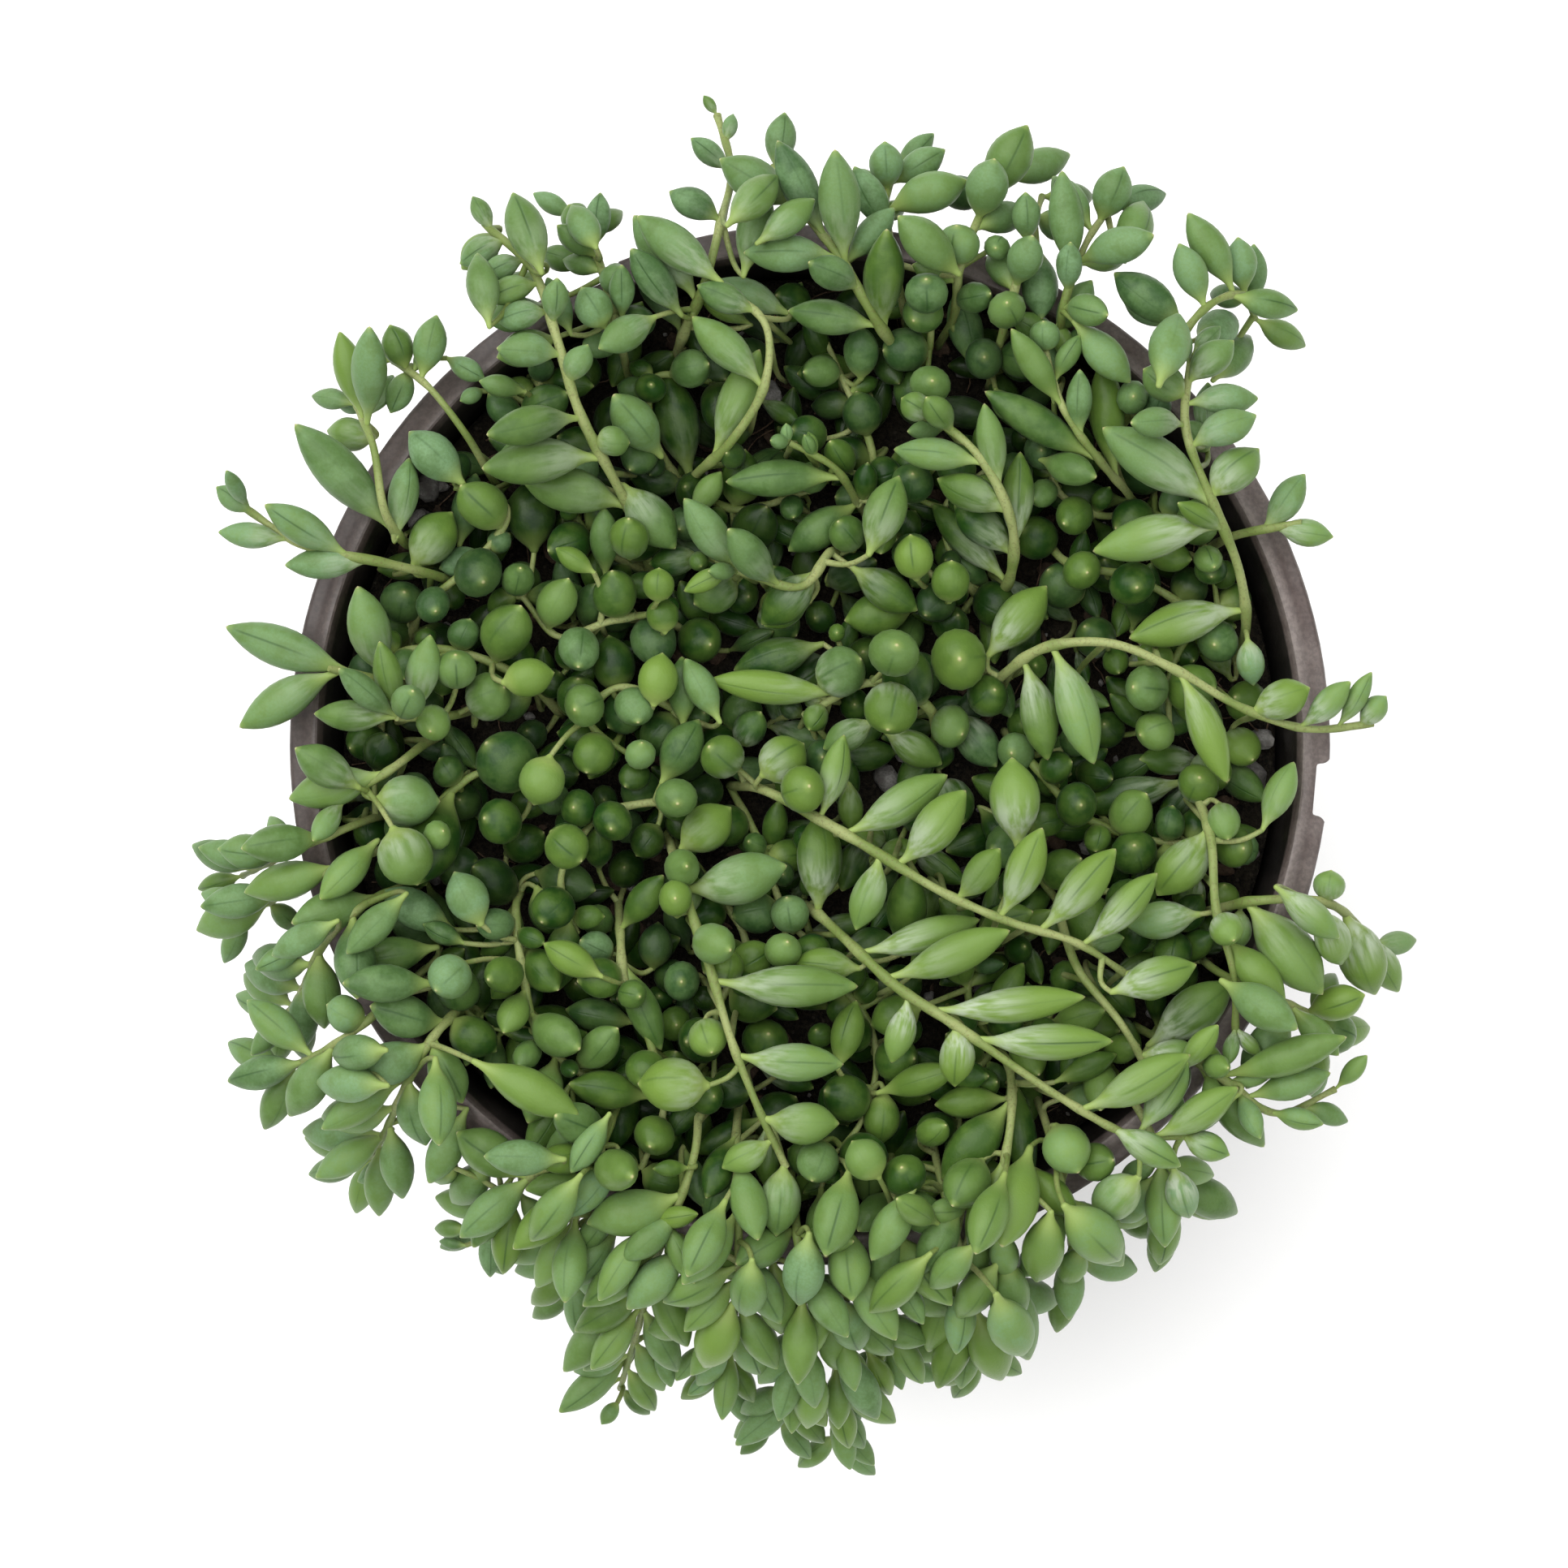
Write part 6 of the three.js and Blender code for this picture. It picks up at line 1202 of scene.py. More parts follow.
# The peas and leaves that lie uppermost, each where it is in the plan view: its middle across and down,
# how far its tip is across and down from there, width, plumpness, rise above the rim, and its look, from
# -1 for bluish to 1 for yellow, where it isn't plain.
TOP_LEAVES = [
    [1576, 978, 21, -45, 42, 0.43, 4], [725, 1412, -28, 43, 38, 0.42, 7, -0.4],
    [682, 1492, -30, 40, 42, 0.4, 0], [640, 1525, -19, -4, 22, 0.5, -12, -0.3],
    [728, 1552, -38, 46, 52, 0.44, -4], [765, 1560, -28, 44, 38, 0.38, -1, 0.4],
    [806, 1578, -34, 36, 44, 0.46, 0], [868, 1530, -22, 43, 44, 0.45, 7],
    [858, 1585, -42, 21, 42, 0.45, 1, 0.1], [825, 1440, -21, 0, 20, 0.46, 9],
    [832, 1500, 29, -5, 26, 0.42, 4], [730, 1650, -36, 41, 42, 0.38, -20, -0.2],
    [756, 1652, -28, 36, 36, 0.4, -16, 0.4], [730, 1706, -42, 34, 38, 0.36, -32],
    [752, 1740, -11, 15, 20, 0.6, -40, -0.3], [884, 1648, -17, 40, 50, 0.48, -8, 0.2],
    [896, 1708, -6, 44, 30, 0.36, -26, -0.3], [868, 1703, -20, 15, 20, 0.4, -28, -0.2],
    [820, 1682, 8, 27, 24, 0.42, -24, -0.3], [850, 1678, -17, 23, 24, 0.42, -24, -0.3],
    [828, 1632, -30, 9, 36, 0.5, -14, -0.3], [922, 1482, 12, 46, 42, 0.42, 8],
    [940, 1538, -34, 19, 42, 0.5, 6], [990, 1568, -6, 43, 48, 0.54, 7, -0.3],
    [958, 1602, 5, 44, 46, 0.5, 0, 0.1], [1030, 1500, -14, 48, 50, 0.5, 8],
    [1046, 1560, 4, 43, 48, 0.56, 5], [1076, 1494, -20, 22, 36, 0.5, 3], [1106, 1584, -35, 36, 42, 0.4, 2],
    [1007, 1433, -7, 22, 48, 0.88, 5], [1065, 1428, -17, -23, 52, 0.88, 5],
    [1114, 1448, -4, -11, 50, 0.92, 7], [1000, 1640, -24, 52, 46, 0.4, -6, 0.2],
    [962, 1672, -27, 34, 48, 0.46, -18, -0.3], [925, 1662, 13, 34, 42, 0.48, -20, -0.3],
    [945, 1748, -39, 32, 36, 0.36, -42, -0.2], [1000, 1722, -5, 40, 42, 0.46, -26, 0.1],
    [1050, 1692, 5, 38, 42, 0.46, -20], [1048, 1634, 12, 32, 44, 0.5, -6, -0.2],
    [1085, 1692, 14, 28, 30, 0.4, -30, -0.3], [1104, 1684, 9, 28, 24, 0.4, -34, -0.3],
    [1118, 1672, 13, 23, 26, 0.42, -34, -0.3], [1035, 1762, 0, 26, 22, 0.42, -48, -0.2],
    [1052, 1736, -2, 21, 26, 0.5, -40, -0.2], [1110, 1640, 34, 15, 38, 0.5, -16, -0.3],
    [1160, 1618, -16, 50, 46, 0.4, -10, -0.1], [1172, 1562, -26, 28, 38, 0.42, 2, -0.2],
    [1203, 1592, -23, 34, 42, 0.46, -2, 0.3], [1246, 1592, 6, 40, 42, 0.46, -2, 0.1],
    [1285, 1540, -7, 43, 48, 0.46, 0], [1322, 1560, -10, 23, 34, 0.5, -8],
    [1315, 1418, 13, 27, 62, 0.85, 8], [1350, 1432, 21, -4, 44, 0.7, 5],
    [1456, 1472, 11, 31, 38, 0.48, -6, -0.2], [1466, 1442, 32, 8, 34, 0.42, 0, -0.1],
    [1436, 1500, 15, 17, 28, 0.5, -12, -0.2], [886, 1442, -16, 34, 38, 0.46, 4],
    [440, 1365, -52, 31, 44, 0.38, 2], [430, 1425, -45, 28, 44, 0.4, -12],
    [470, 1440, -30, 16, 30, 0.42, -20, -0.2], [605, 1497, -25, 45, 44, 0.42, -6],
    [555, 1513, -20, 1, 22, 0.45, -16, -0.2], [558, 1531, -17, -2, 16, 0.42, -18, -0.1],
    [545, 1440, -13, 4, 38, 0.6, -4], [345, 1180, -35, 17, 32, 0.42, -4, -0.1],
    [332, 1275, -25, 28, 32, 0.42, -10, -0.2], [1526, 1148, -2, 24, 36, 0.66, 3, -0.4],
    [1642, 1158, 13, 32, 48, 0.5, 6, 0.2], [603, 858, 20, -11, 63, 0.92, 3],
    [667, 964, -12, 36, 60, 0.9, 1], [615, 1012, -18, -4, 60, 0.92, 3], [712, 996, -5, -1, 50, 0.92, 0],
    [789, 973, -16, -14, 55, 0.92, -1], [712, 856, 1, -20, 55, 0.9, 0], [768, 879, -19, 18, 57, 0.92, 0],
    [756, 816, -7, -41, 56, 0.74, 0], [811, 835, 6, -36, 52, 0.76, 2, 0.2], [653, 835, 36, -7, 50, 0.74, 2],
    [562, 824, 0, -17, 53, 0.92, -1, -0.3], [701, 805, 2, -18, 38, 0.86, -2],
    [816, 757, -3, -21, 43, 0.92, 2, 0.2], [813, 784, 0, -9, 50, 0.92, -3],
    [792, 721, -27, 1, 37, 0.64, -2], [829, 691, -34, 4, 40, 0.6, 2], [567, 693, -26, 8, 42, 0.68, 0, -0.8],
    [616, 667, 15, -12, 32, 0.92, 0, -0.8], [600, 711, 0, -11, 43, 0.92, -3],
    [496, 741, 4, -11, 59, 0.92, -1], [505, 987, 42, 1, 66, 0.8, 2], [568, 987, 0, -2, 56, 0.92, -4],
    [715, 908, -35, -7, 44, 0.66, 1, 0.1], [753, 931, 6, 12, 22, 0.85, 0], [789, 929, 2, -14, 41, 0.92, -1],
    [833, 984, 2, 7, 55, 0.92, 0], [539, 1029, 8, -5, 39, 0.92, 1, -0.2],
    [889, 932, -16, -12, 58, 0.92, 4, 0.2], [966, 935, 30, -23, 62, 0.9, 4, 0.2],
    [840, 923, 27, -46, 52, 0.55, 2], [841, 850, -1, -46, 42, 0.45, 2],
    [872, 1019, 32, -27, 60, 0.72, 4, 0.3], [845, 1100, 12, -31, 46, 0.74, 4, 0.4],
    [973, 1125, -4, -20, 50, 0.88, 3, -0.6], [676, 1125, 14, 30, 56, 0.72, 0, 0.3],
    [699, 1045, 18, 17, 58, 0.92, 2, 0.2], [700, 1087, 35, 10, 54, 0.6, 0],
    [575, 1105, -18, -35, 55, 0.72, 2, -0.7], [511, 1120, -51, -28, 50, 0.48, 2, -0.7],
    [500, 1058, 15, 34, 72, 0.9, 3], [703, 1182, -42, -24, 43, 0.5, 3, 0.3],
    [808, 1163, 4, -35, 46, 0.74, -2], [733, 1167, -18, -9, 44, 0.8, 0, -0.8],
    [553, 1205, -16, 16, 58, 0.92, 4, -0.5], [545, 1150, -30, -14, 30, 0.5, 4, 0.2],
    [736, 1133, -11, -12, 43, 0.92, -4], [669, 1197, 20, 23, 50, 0.62, -2],
    [736, 1251, -53, -10, 45, 0.5, 0], [688, 1267, -40, -27, 58, 0.6, -4], [797, 1037, -13, 18, 46, 0.9, 0],
    [829, 1203, 0, -3, 50, 0.92, -4], [832, 1107, 0, 0, 48, 0.92, -1], [813, 1229, 0, -3, 38, 0.92, -5],
    [653, 1344, 72, 37, 54, 0.36, 3, 0.1], [661, 1280, 67, 16, 26, 0.24, -2],
    [699, 1392, 0, 0, 27, 0.92, 0], [765, 1301, -42, -17, 54, 0.5, -3], [861, 692, 3, 7, 27, 0.92, 3, 0.2],
    [880, 731, -25, 14, 54, 0.8, 0], [811, 720, 1, -20, 42, 0.92, -1], [864, 848, -24, -44, 42, 0.45, 2],
    [968, 757, -29, 16, 34, 0.5, 0, 0.4], [955, 811, -54, 16, 53, 0.44, 0, -0.1],
    [1037, 827, 24, -15, 66, 0.9, 4, 0.2], [1101, 805, 3, -9, 66, 0.92, 5, 0.3],
    [1181, 813, 0, 0, 80, 0.92, 6, 0.4], [1097, 875, -4, 26, 70, 0.92, 4, 0.3],
    [1011, 760, -7, 2, 45, 0.92, -5], [1052, 704, 28, -13, 54, 0.6, -2],
    [1093, 728, 41, 27, 50, 0.5, 1, 0.2], [1080, 757, -40, 8, 56, 0.6, -1, 0.1],
    [1031, 780, 0, 0, 25, 0.92, 2], [1125, 685, -4, -26, 51, 0.82, 4, 0.2],
    [1171, 715, 1, -24, 50, 0.85, 0], [1085, 659, 0, 25, 43, 0.62, 4, 0.2],
    [1043, 657, -11, -14, 48, 0.85, 0], [1172, 768, 8, -10, 50, 0.8, -1], [925, 896, 13, -19, 44, 0.74, 0],
    [1013, 933, 0, 0, 48, 0.92, 0], [1043, 907, -32, 18, 43, 0.58, 3, 0.2], [1048, 995, 2, 30, 34, 0.5, -3],
    [989, 973, 8, -4, 62, 0.92, 5, 0.3], [1053, 868, 0, 0, 45, 0.92, -4], [1128, 923, 36, 21, 46, 0.54, 0],
    [928, 1181, 24, -13, 48, 0.78, 1, 0.2], [893, 1192, 7, -21, 49, 0.88, 3, -0.1],
    [840, 1209, 0, 0, 52, 0.92, -2], [917, 1213, 4, -5, 36, 0.92, -3], [832, 1261, 2, 1, 47, 0.92, -4],
    [872, 1280, 5, 17, 51, 0.9, -1], [1016, 1189, -40, -4, 45, 0.52, 0, 0.1],
    [965, 1171, 5, -11, 48, 0.8, -1, -0.5], [1044, 1272, 14, -51, 44, 0.48, 4],
    [1101, 1253, -31, 11, 54, 0.8, 3, 0.1], [1011, 1275, -6, -7, 35, 0.92, -2, 0.4],
    [955, 1019, 5, -34, 35, 0.4, -2], [992, 1032, 0, 0, 36, 0.92, -3], [996, 1091, 0, 0, 28, 0.92, -3],
    [965, 1077, 0, 0, 34, 0.92, -2], [1069, 1029, -19, -9, 40, 0.6, -2], [1109, 1053, 21, -3, 46, 0.6, -2],
    [1117, 1120, 3, -48, 53, 0.4, 5], [1148, 1165, 27, -37, 44, 0.45, 1],
    [1133, 1331, 45, -15, 42, 0.36, 3], [967, 1310, 3, -10, 40, 0.7, -3], [900, 1330, 5, 5, 46, 0.9, -3],
    [870, 1350, 10, 0, 50, 0.9, -3], [1120, 1270, 0, 0, 40, 0.92, -4], [780, 1230, -20, 0, 45, 0.8, -4],
    [1256, 762, 42, -50, 56, 0.48, 1], [1308, 720, -18, -18, 62, 0.9, -1, -0.1],
    [1365, 705, -5, -15, 54, 0.85, -2], [1408, 732, 11, -39, 46, 0.45, -1, 0.1],
    [1443, 686, 25, 4, 42, 0.6, 0, 0.1], [1489, 690, 6, 10, 38, 0.8, -1, -0.2],
    [1508, 708, 0, 0, 44, 0.92, -3], [1500, 790, -6, 5, 58, 0.92, 0], [1541, 818, 4, 31, 38, 0.62, 1, -0.3],
    [1460, 805, 10, 10, 40, 0.8, -2], [1412, 848, -18, -1, 60, 0.92, 2],
    [1462, 867, 13, 28, 34, 0.5, -1, -0.2], [1250, 985, -4, -56, 66, 0.58, 3, 0.4],
    [1296, 962, -9, -11, 44, 0.92, -1], [1261, 892, 0, 0, 48, 0.92, -4], [1324, 912, -8, -3, 44, 0.92, -3],
    [1205, 915, 23, 30, 52, 0.6, 0, -0.1], [1350, 955, 20, 5, 44, 0.6, -4],
    [1508, 1014, 4, 21, 44, 0.75, -1], [1375, 815, 3, 15, 36, 0.7, -3], [1275, 820, 0, 0, 38, 0.7, -3],
    [1430, 1134, -46, 7, 50, 0.52, 0, -0.8], [1397, 1050, -1, -9, 62, 0.92, -3, -0.2],
    [1533, 1046, 0, 0, 44, 0.92, -3], [1425, 1205, 62, -20, 58, 0.46, 3, 0.3],
    [1470, 1247, 48, -37, 62, 0.46, 3, 0.2], [1472, 1165, 23, -15, 40, 0.5, 1, 0.1],
    [1478, 1290, 22, -28, 34, 0.4, 0], [1436, 1348, 28, -42, 46, 0.42, 2, -0.3],
    [1340, 1315, 40, -18, 34, 0.38, 1], [1240, 1220, 22, -35, 38, 0.42, 0],
    [1190, 1325, 28, 0, 40, 0.5, 0, 0.2], [1342, 1352, 33, -2, 40, 0.55, -1, -0.2],
    [1345, 1265, 35, 5, 50, 0.6, -3], [1365, 1160, 20, -5, 30, 0.6, -1, -0.2],
    [1312, 1203, 0, 0, 44, 0.92, -3, -0.1], [1255, 1170, 7, -5, 40, 0.6, -3],
    [925, 365, -43, -20, 44, 0.42, 2], [892, 382, -30, -15, 28, 0.34, 1, 0.3],
    [873, 450, 22, 20, 60, 0.6, -3], [872, 606, 17, -25, 34, 0.5, 1, -0.3], [903, 562, -8, -2, 36, 0.5, -1],
    [1000, 588, -10, -4, 44, 0.92, -2], [994, 535, -19, -5, 50, 0.85, 0, -0.1],
    [1035, 562, -13, -17, 40, 0.5, -2], [974, 372, -18, -7, 52, 0.85, -1], [1061, 432, 0, -30, 47, 0.62, 1],
    [1095, 452, 13, 23, 40, 0.5, -1], [1018, 458, -36, 3, 50, 0.6, -3],
    [1141, 361, -1, -15, 62, 0.92, 2, 0.1], [1146, 474, 2, -3, 54, 0.92, -3],
    [1140, 530, -23, 3, 26, 0.4, 1, -0.4], [1124, 595, 0, -10, 56, 0.9, -3],
    [1090, 632, 20, -52, 54, 0.5, 3, 0.1], [1066, 592, 3, -22, 34, 0.6, 1],
    [930, 650, 15, -25, 60, 0.6, -3], [1281, 352, 2, 43, 48, 0.48, 2, -0.4],
    [1325, 376, 20, -30, 42, 0.5, 1], [1311, 422, -11, -27, 28, 0.5, 1, 0.2],
    [1292, 450, -7, -52, 30, 0.32, 2, -0.5], [1360, 437, 33, 36, 48, 0.45, 1, -0.3],
    [1255, 448, -23, -8, 46, 0.75, -1], [1212, 442, 0, 0, 54, 0.9, -4],
    [1238, 500, 10, 20, 32, 0.5, 0, -0.2], [1262, 540, 0, 0, 40, 0.9, -3],
    [1282, 556, 0, 0, 48, 0.9, -3, -0.3], [1318, 578, 32, 12, 44, 0.45, -1], [1325, 548, 0, 0, 56, 0.9, -4],
    [1395, 490, 0, 0, 46, 0.92, -4], [1412, 385, -26, -17, 32, 0.35, 0, -0.4],
    [1424, 503, 8, -19, 40, 0.5, 0, -0.2], [1488, 505, 0, -37, 38, 0.5, 1, -0.1],
    [1474, 537, -14, -17, 36, 0.6, 1, -0.1], [1500, 405, 25, -15, 50, 0.45, 0, -0.2],
    [575, 455, 23, 13, 30, 0.5, 1, -0.6], [617, 476, -27, -6, 30, 0.48, 2, -0.3],
    [580, 488, -13, 7, 22, 0.6, 2, -0.5], [783, 522, -27, -34, 56, 0.46, 3, -0.5],
    [802, 640, 33, 40, 58, 0.55, -1], [745, 665, -1, -41, 40, 0.42, 3, -0.1],
    [775, 662, 0, -22, 52, 0.7, -2], [707, 690, -25, -16, 30, 0.5, 3, 0.2], [695, 655, 0, -15, 50, 0.7, -4],
    [688, 734, 44, -1, 44, 0.48, 0, 0.1], [728, 745, 7, -25, 44, 0.5, -2],
    [772, 757, 0, 8, 24, 0.6, -1, 0.1], [654, 632, -4, -42, 74, 0.72, -1, -0.1],
    [497, 610, 8, -50, 42, 0.4, 1, -0.3], [535, 562, -32, -31, 56, 0.58, -1, -0.7],
    [577, 625, 12, -52, 44, 0.45, 1, -0.1], [535, 662, 23, -32, 60, 0.7, 1, 0.1],
    [692, 1405, 23, -20, 32, 0.4, -1], [826, 1337, -41, -1, 70, 0.78, 4, 0.3],
    [814, 1400, 17, -4, 62, 0.92, 0], [748, 1343, -48, -8, 50, 0.45, 1, 0.4],
    [835, 1545, 10, 28, 30, 0.45, 0, 0.2], [1015, 1510, 3, 38, 42, 0.45, 0],
    [1086, 1380, -3, 32, 48, 0.68, 3, 0.5], [1192, 1358, -47, 4, 44, 0.48, -1],
    [1037, 1355, -7, -25, 62, 0.85, -1], [1150, 1395, 15, -10, 40, 0.6, -3],
    [1130, 1474, -25, 4, 30, 0.5, 1, 0.3], [1098, 1512, -26, 44, 54, 0.45, 1, 0.1],
    [1480, 1375, -40, 25, 40, 0.35, 1, 0.2], [590, 312, -24, 23, 46, 0.7, 2, 0.3],
    [632, 355, -42, 21, 38, 0.42, 4, 0.4], [635, 388, -32, 12, 46, 0.5, 5, 0.4],
    [645, 430, -33, 12, 48, 0.6, 5, 0.4], [688, 375, -15, -35, 34, 0.42, 5, -0.3],
    [730, 378, -14, -23, 48, 0.8, 3, -0.2], [766, 358, 0, -31, 34, 0.45, 2, -0.1],
    [833, 305, -49, -39, 52, 0.38, 3], [770, 412, -33, 20, 46, 0.5, 3, -0.3],
    [718, 278, -15, -26, 42, 0.6, 0, -0.3], [690, 318, -24, -8, 36, 0.6, -1],
    [806, 345, -29, -37, 46, 0.4, 2], [430, 535, -28, -5, 46, 0.7, -2, 0.1],
    [492, 485, -12, 27, 36, 0.6, 0, 0.2], [432, 500, -18, -6, 22, 0.4, -4, -0.3],
    [400, 945, -36, -23, 50, 0.5, 4], [470, 925, 8, -20, 48, 0.7, -2, -0.1],
    [1250, 1480, -18, 55, 56, 0.42, 7, 0.3], [1218, 1500, -18, 45, 44, 0.42, 8, 0.4],
    [1190, 1460, -18, 25, 52, 0.65, 6], [1375, 1475, -22, 24, 50, 0.5, -4, -0.2],
    [1400, 1480, -18, 28, 46, 0.5, -6, -0.3], [1245, 1635, 17, 39, 52, 0.45, -6],
    [1220, 1660, 16, 44, 50, 0.42, -14, -0.1], [1348, 1522, 34, 34, 56, 0.5, 2],
    [838, 1545, 18, 38, 28, 0.35, 4, 0.2], [1165, 1492, -22, 2, 30, 0.6, 9],
    [1128, 1492, -25, -17, 34, 0.4, 8, -0.1], [728, 1465, -33, 40, 46, 0.45, 6],
    [922, 1590, -4, 35, 50, 0.5, -2, -0.2], [774, 1018, 0, 0, 46, 0.92, -5, -0.2],
    [772, 1070, -2, -2, 52, 0.9, -6, -0.2], [737, 1045, 0, -25, 40, 0.45, -5, -0.3],
    [1217, 857, 8, -7, 56, 0.85, -4, -0.2], [745, 985, 0, 0, 40, 0.92, -6, -0.2],
    [655, 905, -5, -5, 44, 0.9, -6, -0.2],
]
TOP_GAP = -1.8
TOP_LIFTS = (0, 1.5, -1.5, 3, -3, 4.5, 6, 8, 10)
LOWER_EDGE = 1430
for across, down, tip_across, tip_down, breadth, plump, rise, *look in TOP_LEAVES:
    width = breadth * PLAN_UNIT
    sizes = (1.15, 1, 0.9) if down > LOWER_EDGE else (1, 0.9)
    for size, lift in ((size, lift) for size in sizes for lift in TOP_LIFTS):
        middle = place([across, down, rise + lift])
        level = place([across + tip_across, down + tip_down, rise + lift])[:2] - middle[:2]
        length = width * size / plump
        lean = math.acos(min(1, np.linalg.norm(level) / (length * 0.45)))
        hangs = math.hypot(middle[0], middle[1]) > RIM_RADIUS
        way = way_of(math.atan2(level[1], level[0]), -lean if hangs else lean)
        start = middle - way * length * LEAF_MIDDLE
        node = int(np.linalg.norm(node_places - start, axis=1).argmin())
        if try_filler(node, middle, way, length, width * size, TOP_GAP, sum(look)):
            break

# Between the large leaves every shoot bears more of them, a little smaller, and closer together than
# the solid has them.
CLOSE_GAP = -0.8
WIDE_OPENING = 46
for step, scale, least_opening in ((4.2, 1, 0), (3.6, 0.86, WIDE_OPENING), (2.8, 0.7, WIDE_OPENING)):
    for stem in stems:
        if stem["habit"][7] > least_opening:
            place_by_rule(stem, step, scale, CLOSE_GAP)
for x, y, _, radius in balls[:ball_count]:
    covered[disc(x, y, radius)] = True

# Where the foliage closes over the rim, slim leaves fill it: [across, down, radius], of the plan view.
CLOSED_AREAS = [
    [760, 1440, 90], [880, 1500, 100], [1010, 1520, 110], [1130, 1500, 100], [1220, 1480, 80],
    [960, 1600, 70], [1440, 1430, 50], [1600, 1180, 60], [1560, 1290, 50],
    [400, 1130, 70], [430, 1220, 60], [490, 1310, 60], [600, 1450, 50],
    [1040, 270, 40], [1150, 280, 50], [1260, 310, 60], [1350, 310, 50], [950, 250, 40], [1480, 400, 50],
    [1250, 380, 70], [1400, 560, 60], [640, 330, 40],
]
# The rounds that fill them, each with its areas, the spot that is looked at, the share of it that may be
# covered, the size of the leaves, their gap and the rises that are tried.
CLOSING_ROUNDS = [(CLOSED_AREAS, 2.6, 0.5, 1, -1.4, (1.5, 4, 7, 10, -1.5, -4)),
                  (CLOSED_AREAS[:6], 1.6, 0.72, 0.88, -2.4, (-4, -7, -1.5, 1.5, 4))]
CLOSING_TRIES = 160
CLOSING_REACH = 13
closings = [(*area, *settings) for areas, *settings in CLOSING_ROUNDS for area in areas]
for across, down, radius, spot, full, scale, gap, rises in closings:
    centre = place([across, down, 0])
    for offset in chance.uniform(-1, 1, (CLOSING_TRIES, 2)) * radius * PLAN_UNIT:
        x, y = centre[:2] + offset
        if covered[disc(x, y, spot)].mean() > full:
            continue
        apart = np.hypot(node_places[:, 0] - x, node_places[:, 1] - y)
        node = int(apart.argmin())
        if apart[node] > CLOSING_REACH:
            continue
        outside = math.hypot(x, y) > RIM_RADIUS
        heading = math.atan2(y, x) + chance.normal(0, 0.5)
        way = way_of(heading, chance.uniform(-0.8, 0) if outside else chance.uniform(-0.25, 0.35))
        length = chance.uniform(11, 14.5) * scale
        for rise in rises:
            middle = np.array([x, y, node_places[node, 2] + rise])
            if try_filler(node, middle, way, length, length * chance.uniform(0.4, 0.48), gap):
                break

# Peas and short leaves on stalks fill the pot from the soil up, the largest first. Some bare spots are
# left, as [across, down, radius].
BARE_SPOTS = [
    [880, 796, 34], [1180, 466, 30], [1322, 656, 36], [754, 1068, 26], [972, 482, 24], [654, 884, 24],
    [1556, 918, 34], [1028, 738, 22], [670, 782, 22], [1184, 404, 20], [748, 452, 20], [550, 868, 20],
    [718, 950, 20], [1202, 964, 20], [1074, 972, 26], [1520, 1084, 20], [1388, 1340, 34], [878, 1358, 20],
    [946, 524, 22], [1142, 610, 18], [1284, 666, 18], [1252, 844, 18], [966, 884, 18], [1332, 962, 18],
    [748, 1010, 20], [1284, 1176, 18], [814, 410, 16], [1080, 482, 16], [1316, 554, 16], [694, 634, 16],
    [834, 726, 16], [1194, 734, 16], [1330, 762, 16], [1132, 770, 16], [1234, 878, 16], [428, 916, 16],
    [1536, 996, 20], [574, 1044, 16], [744, 1108, 16], [486, 1168, 24], [1278, 1204, 16], [930, 1288, 16],
    [1540, 826, 26], [510, 620, 30],
]
bare = [(*place([across, down, -10])[:2], radius * PLAN_UNIT) for across, down, radius in BARE_SPOTS]
FILL_REACH = 18
FILL_TRIES = 1200
# Each round's size of leaf, the least share of bare ground under it, the gap and the rises above the soil.
FILL_ROUNDS = [(8.5, 0, -2, (0.3, 1.2)), (7.5, 0, -2, (0.3, 1.2, 3)), (6.5, 0, -1.6, (0.3, 2, 4)),
               (8.4, 0.6, -0.8, (9, 7, 5)), (7.6, 0.55, -0.8, (9, 7, 5, 3.5, 2)),
               (7, 0.5, -0.8, (7, 5, 3.5, 2, 1)), (6.2, 0.5, -0.8, (5, 3.5, 2, 1)),
               (5.4, 0.5, -0.8, (5, 3.5, 2, 1)), (4.4, 0.5, -0.8, (4, 2, 1))]
for size, open_share, gap, rises in FILL_ROUNDS:
    for x, y in chance.uniform(-SOIL_EDGE, SOIL_EDGE, (FILL_TRIES, 2)):
        if math.hypot(x, y) > SOIL_EDGE - size * 0.45:
            continue
        if any(math.hypot(x - bx, y - by) < radius * 0.6 + size * 0.1 for bx, by, radius in bare):
            continue
        if open_share and covered[disc(x, y, size * 0.4)].mean() > 1 - open_share:
            continue
        apart = np.hypot(node_places[:, 0] - x, node_places[:, 1] - y)
        node = int(apart.argmin())
        if apart[node] > FILL_REACH:
            continue
        root = node_places[node]
        heading = math.atan2(y - root[1], x - root[0]) + chance.normal(0, 0.7)
        slim = chance.uniform(0, 1) < 0.3
        way = way_of(heading, chance.uniform(0.15, 0.6) if slim else chance.uniform(0.35, 1.3))
        length = size * (1.35 if slim else 1.05)
        width = size * chance.uniform(0.5, 0.62) if slim else size * chance.uniform(0.8, 0.98)
        crowd = balls[:ball_count]
        over = np.hypot(crowd[:, 0] - x, crowd[:, 1] - y) < crowd[:, 3] + size * 0.4
        roof = crowd[over, 2].min() if over.any() and open_share else POT_HEIGHT
        for rise in rises:
            middle = np.array([x, y, soil_top(x, y) + size * 0.5 + rise])
            if middle[2] < min(roof, POT_HEIGHT - 1) and try_filler(node, middle, way, length, width, gap):
                break


def on_line(line, share):
    """The place at a share of a smooth line."""
    at = min(len(line) - 1.000001, max(0, share * (len(line) - 1)))
    i = math.floor(at)
    return line[i] + (line[i + 1] - line[i]) * (at - i)


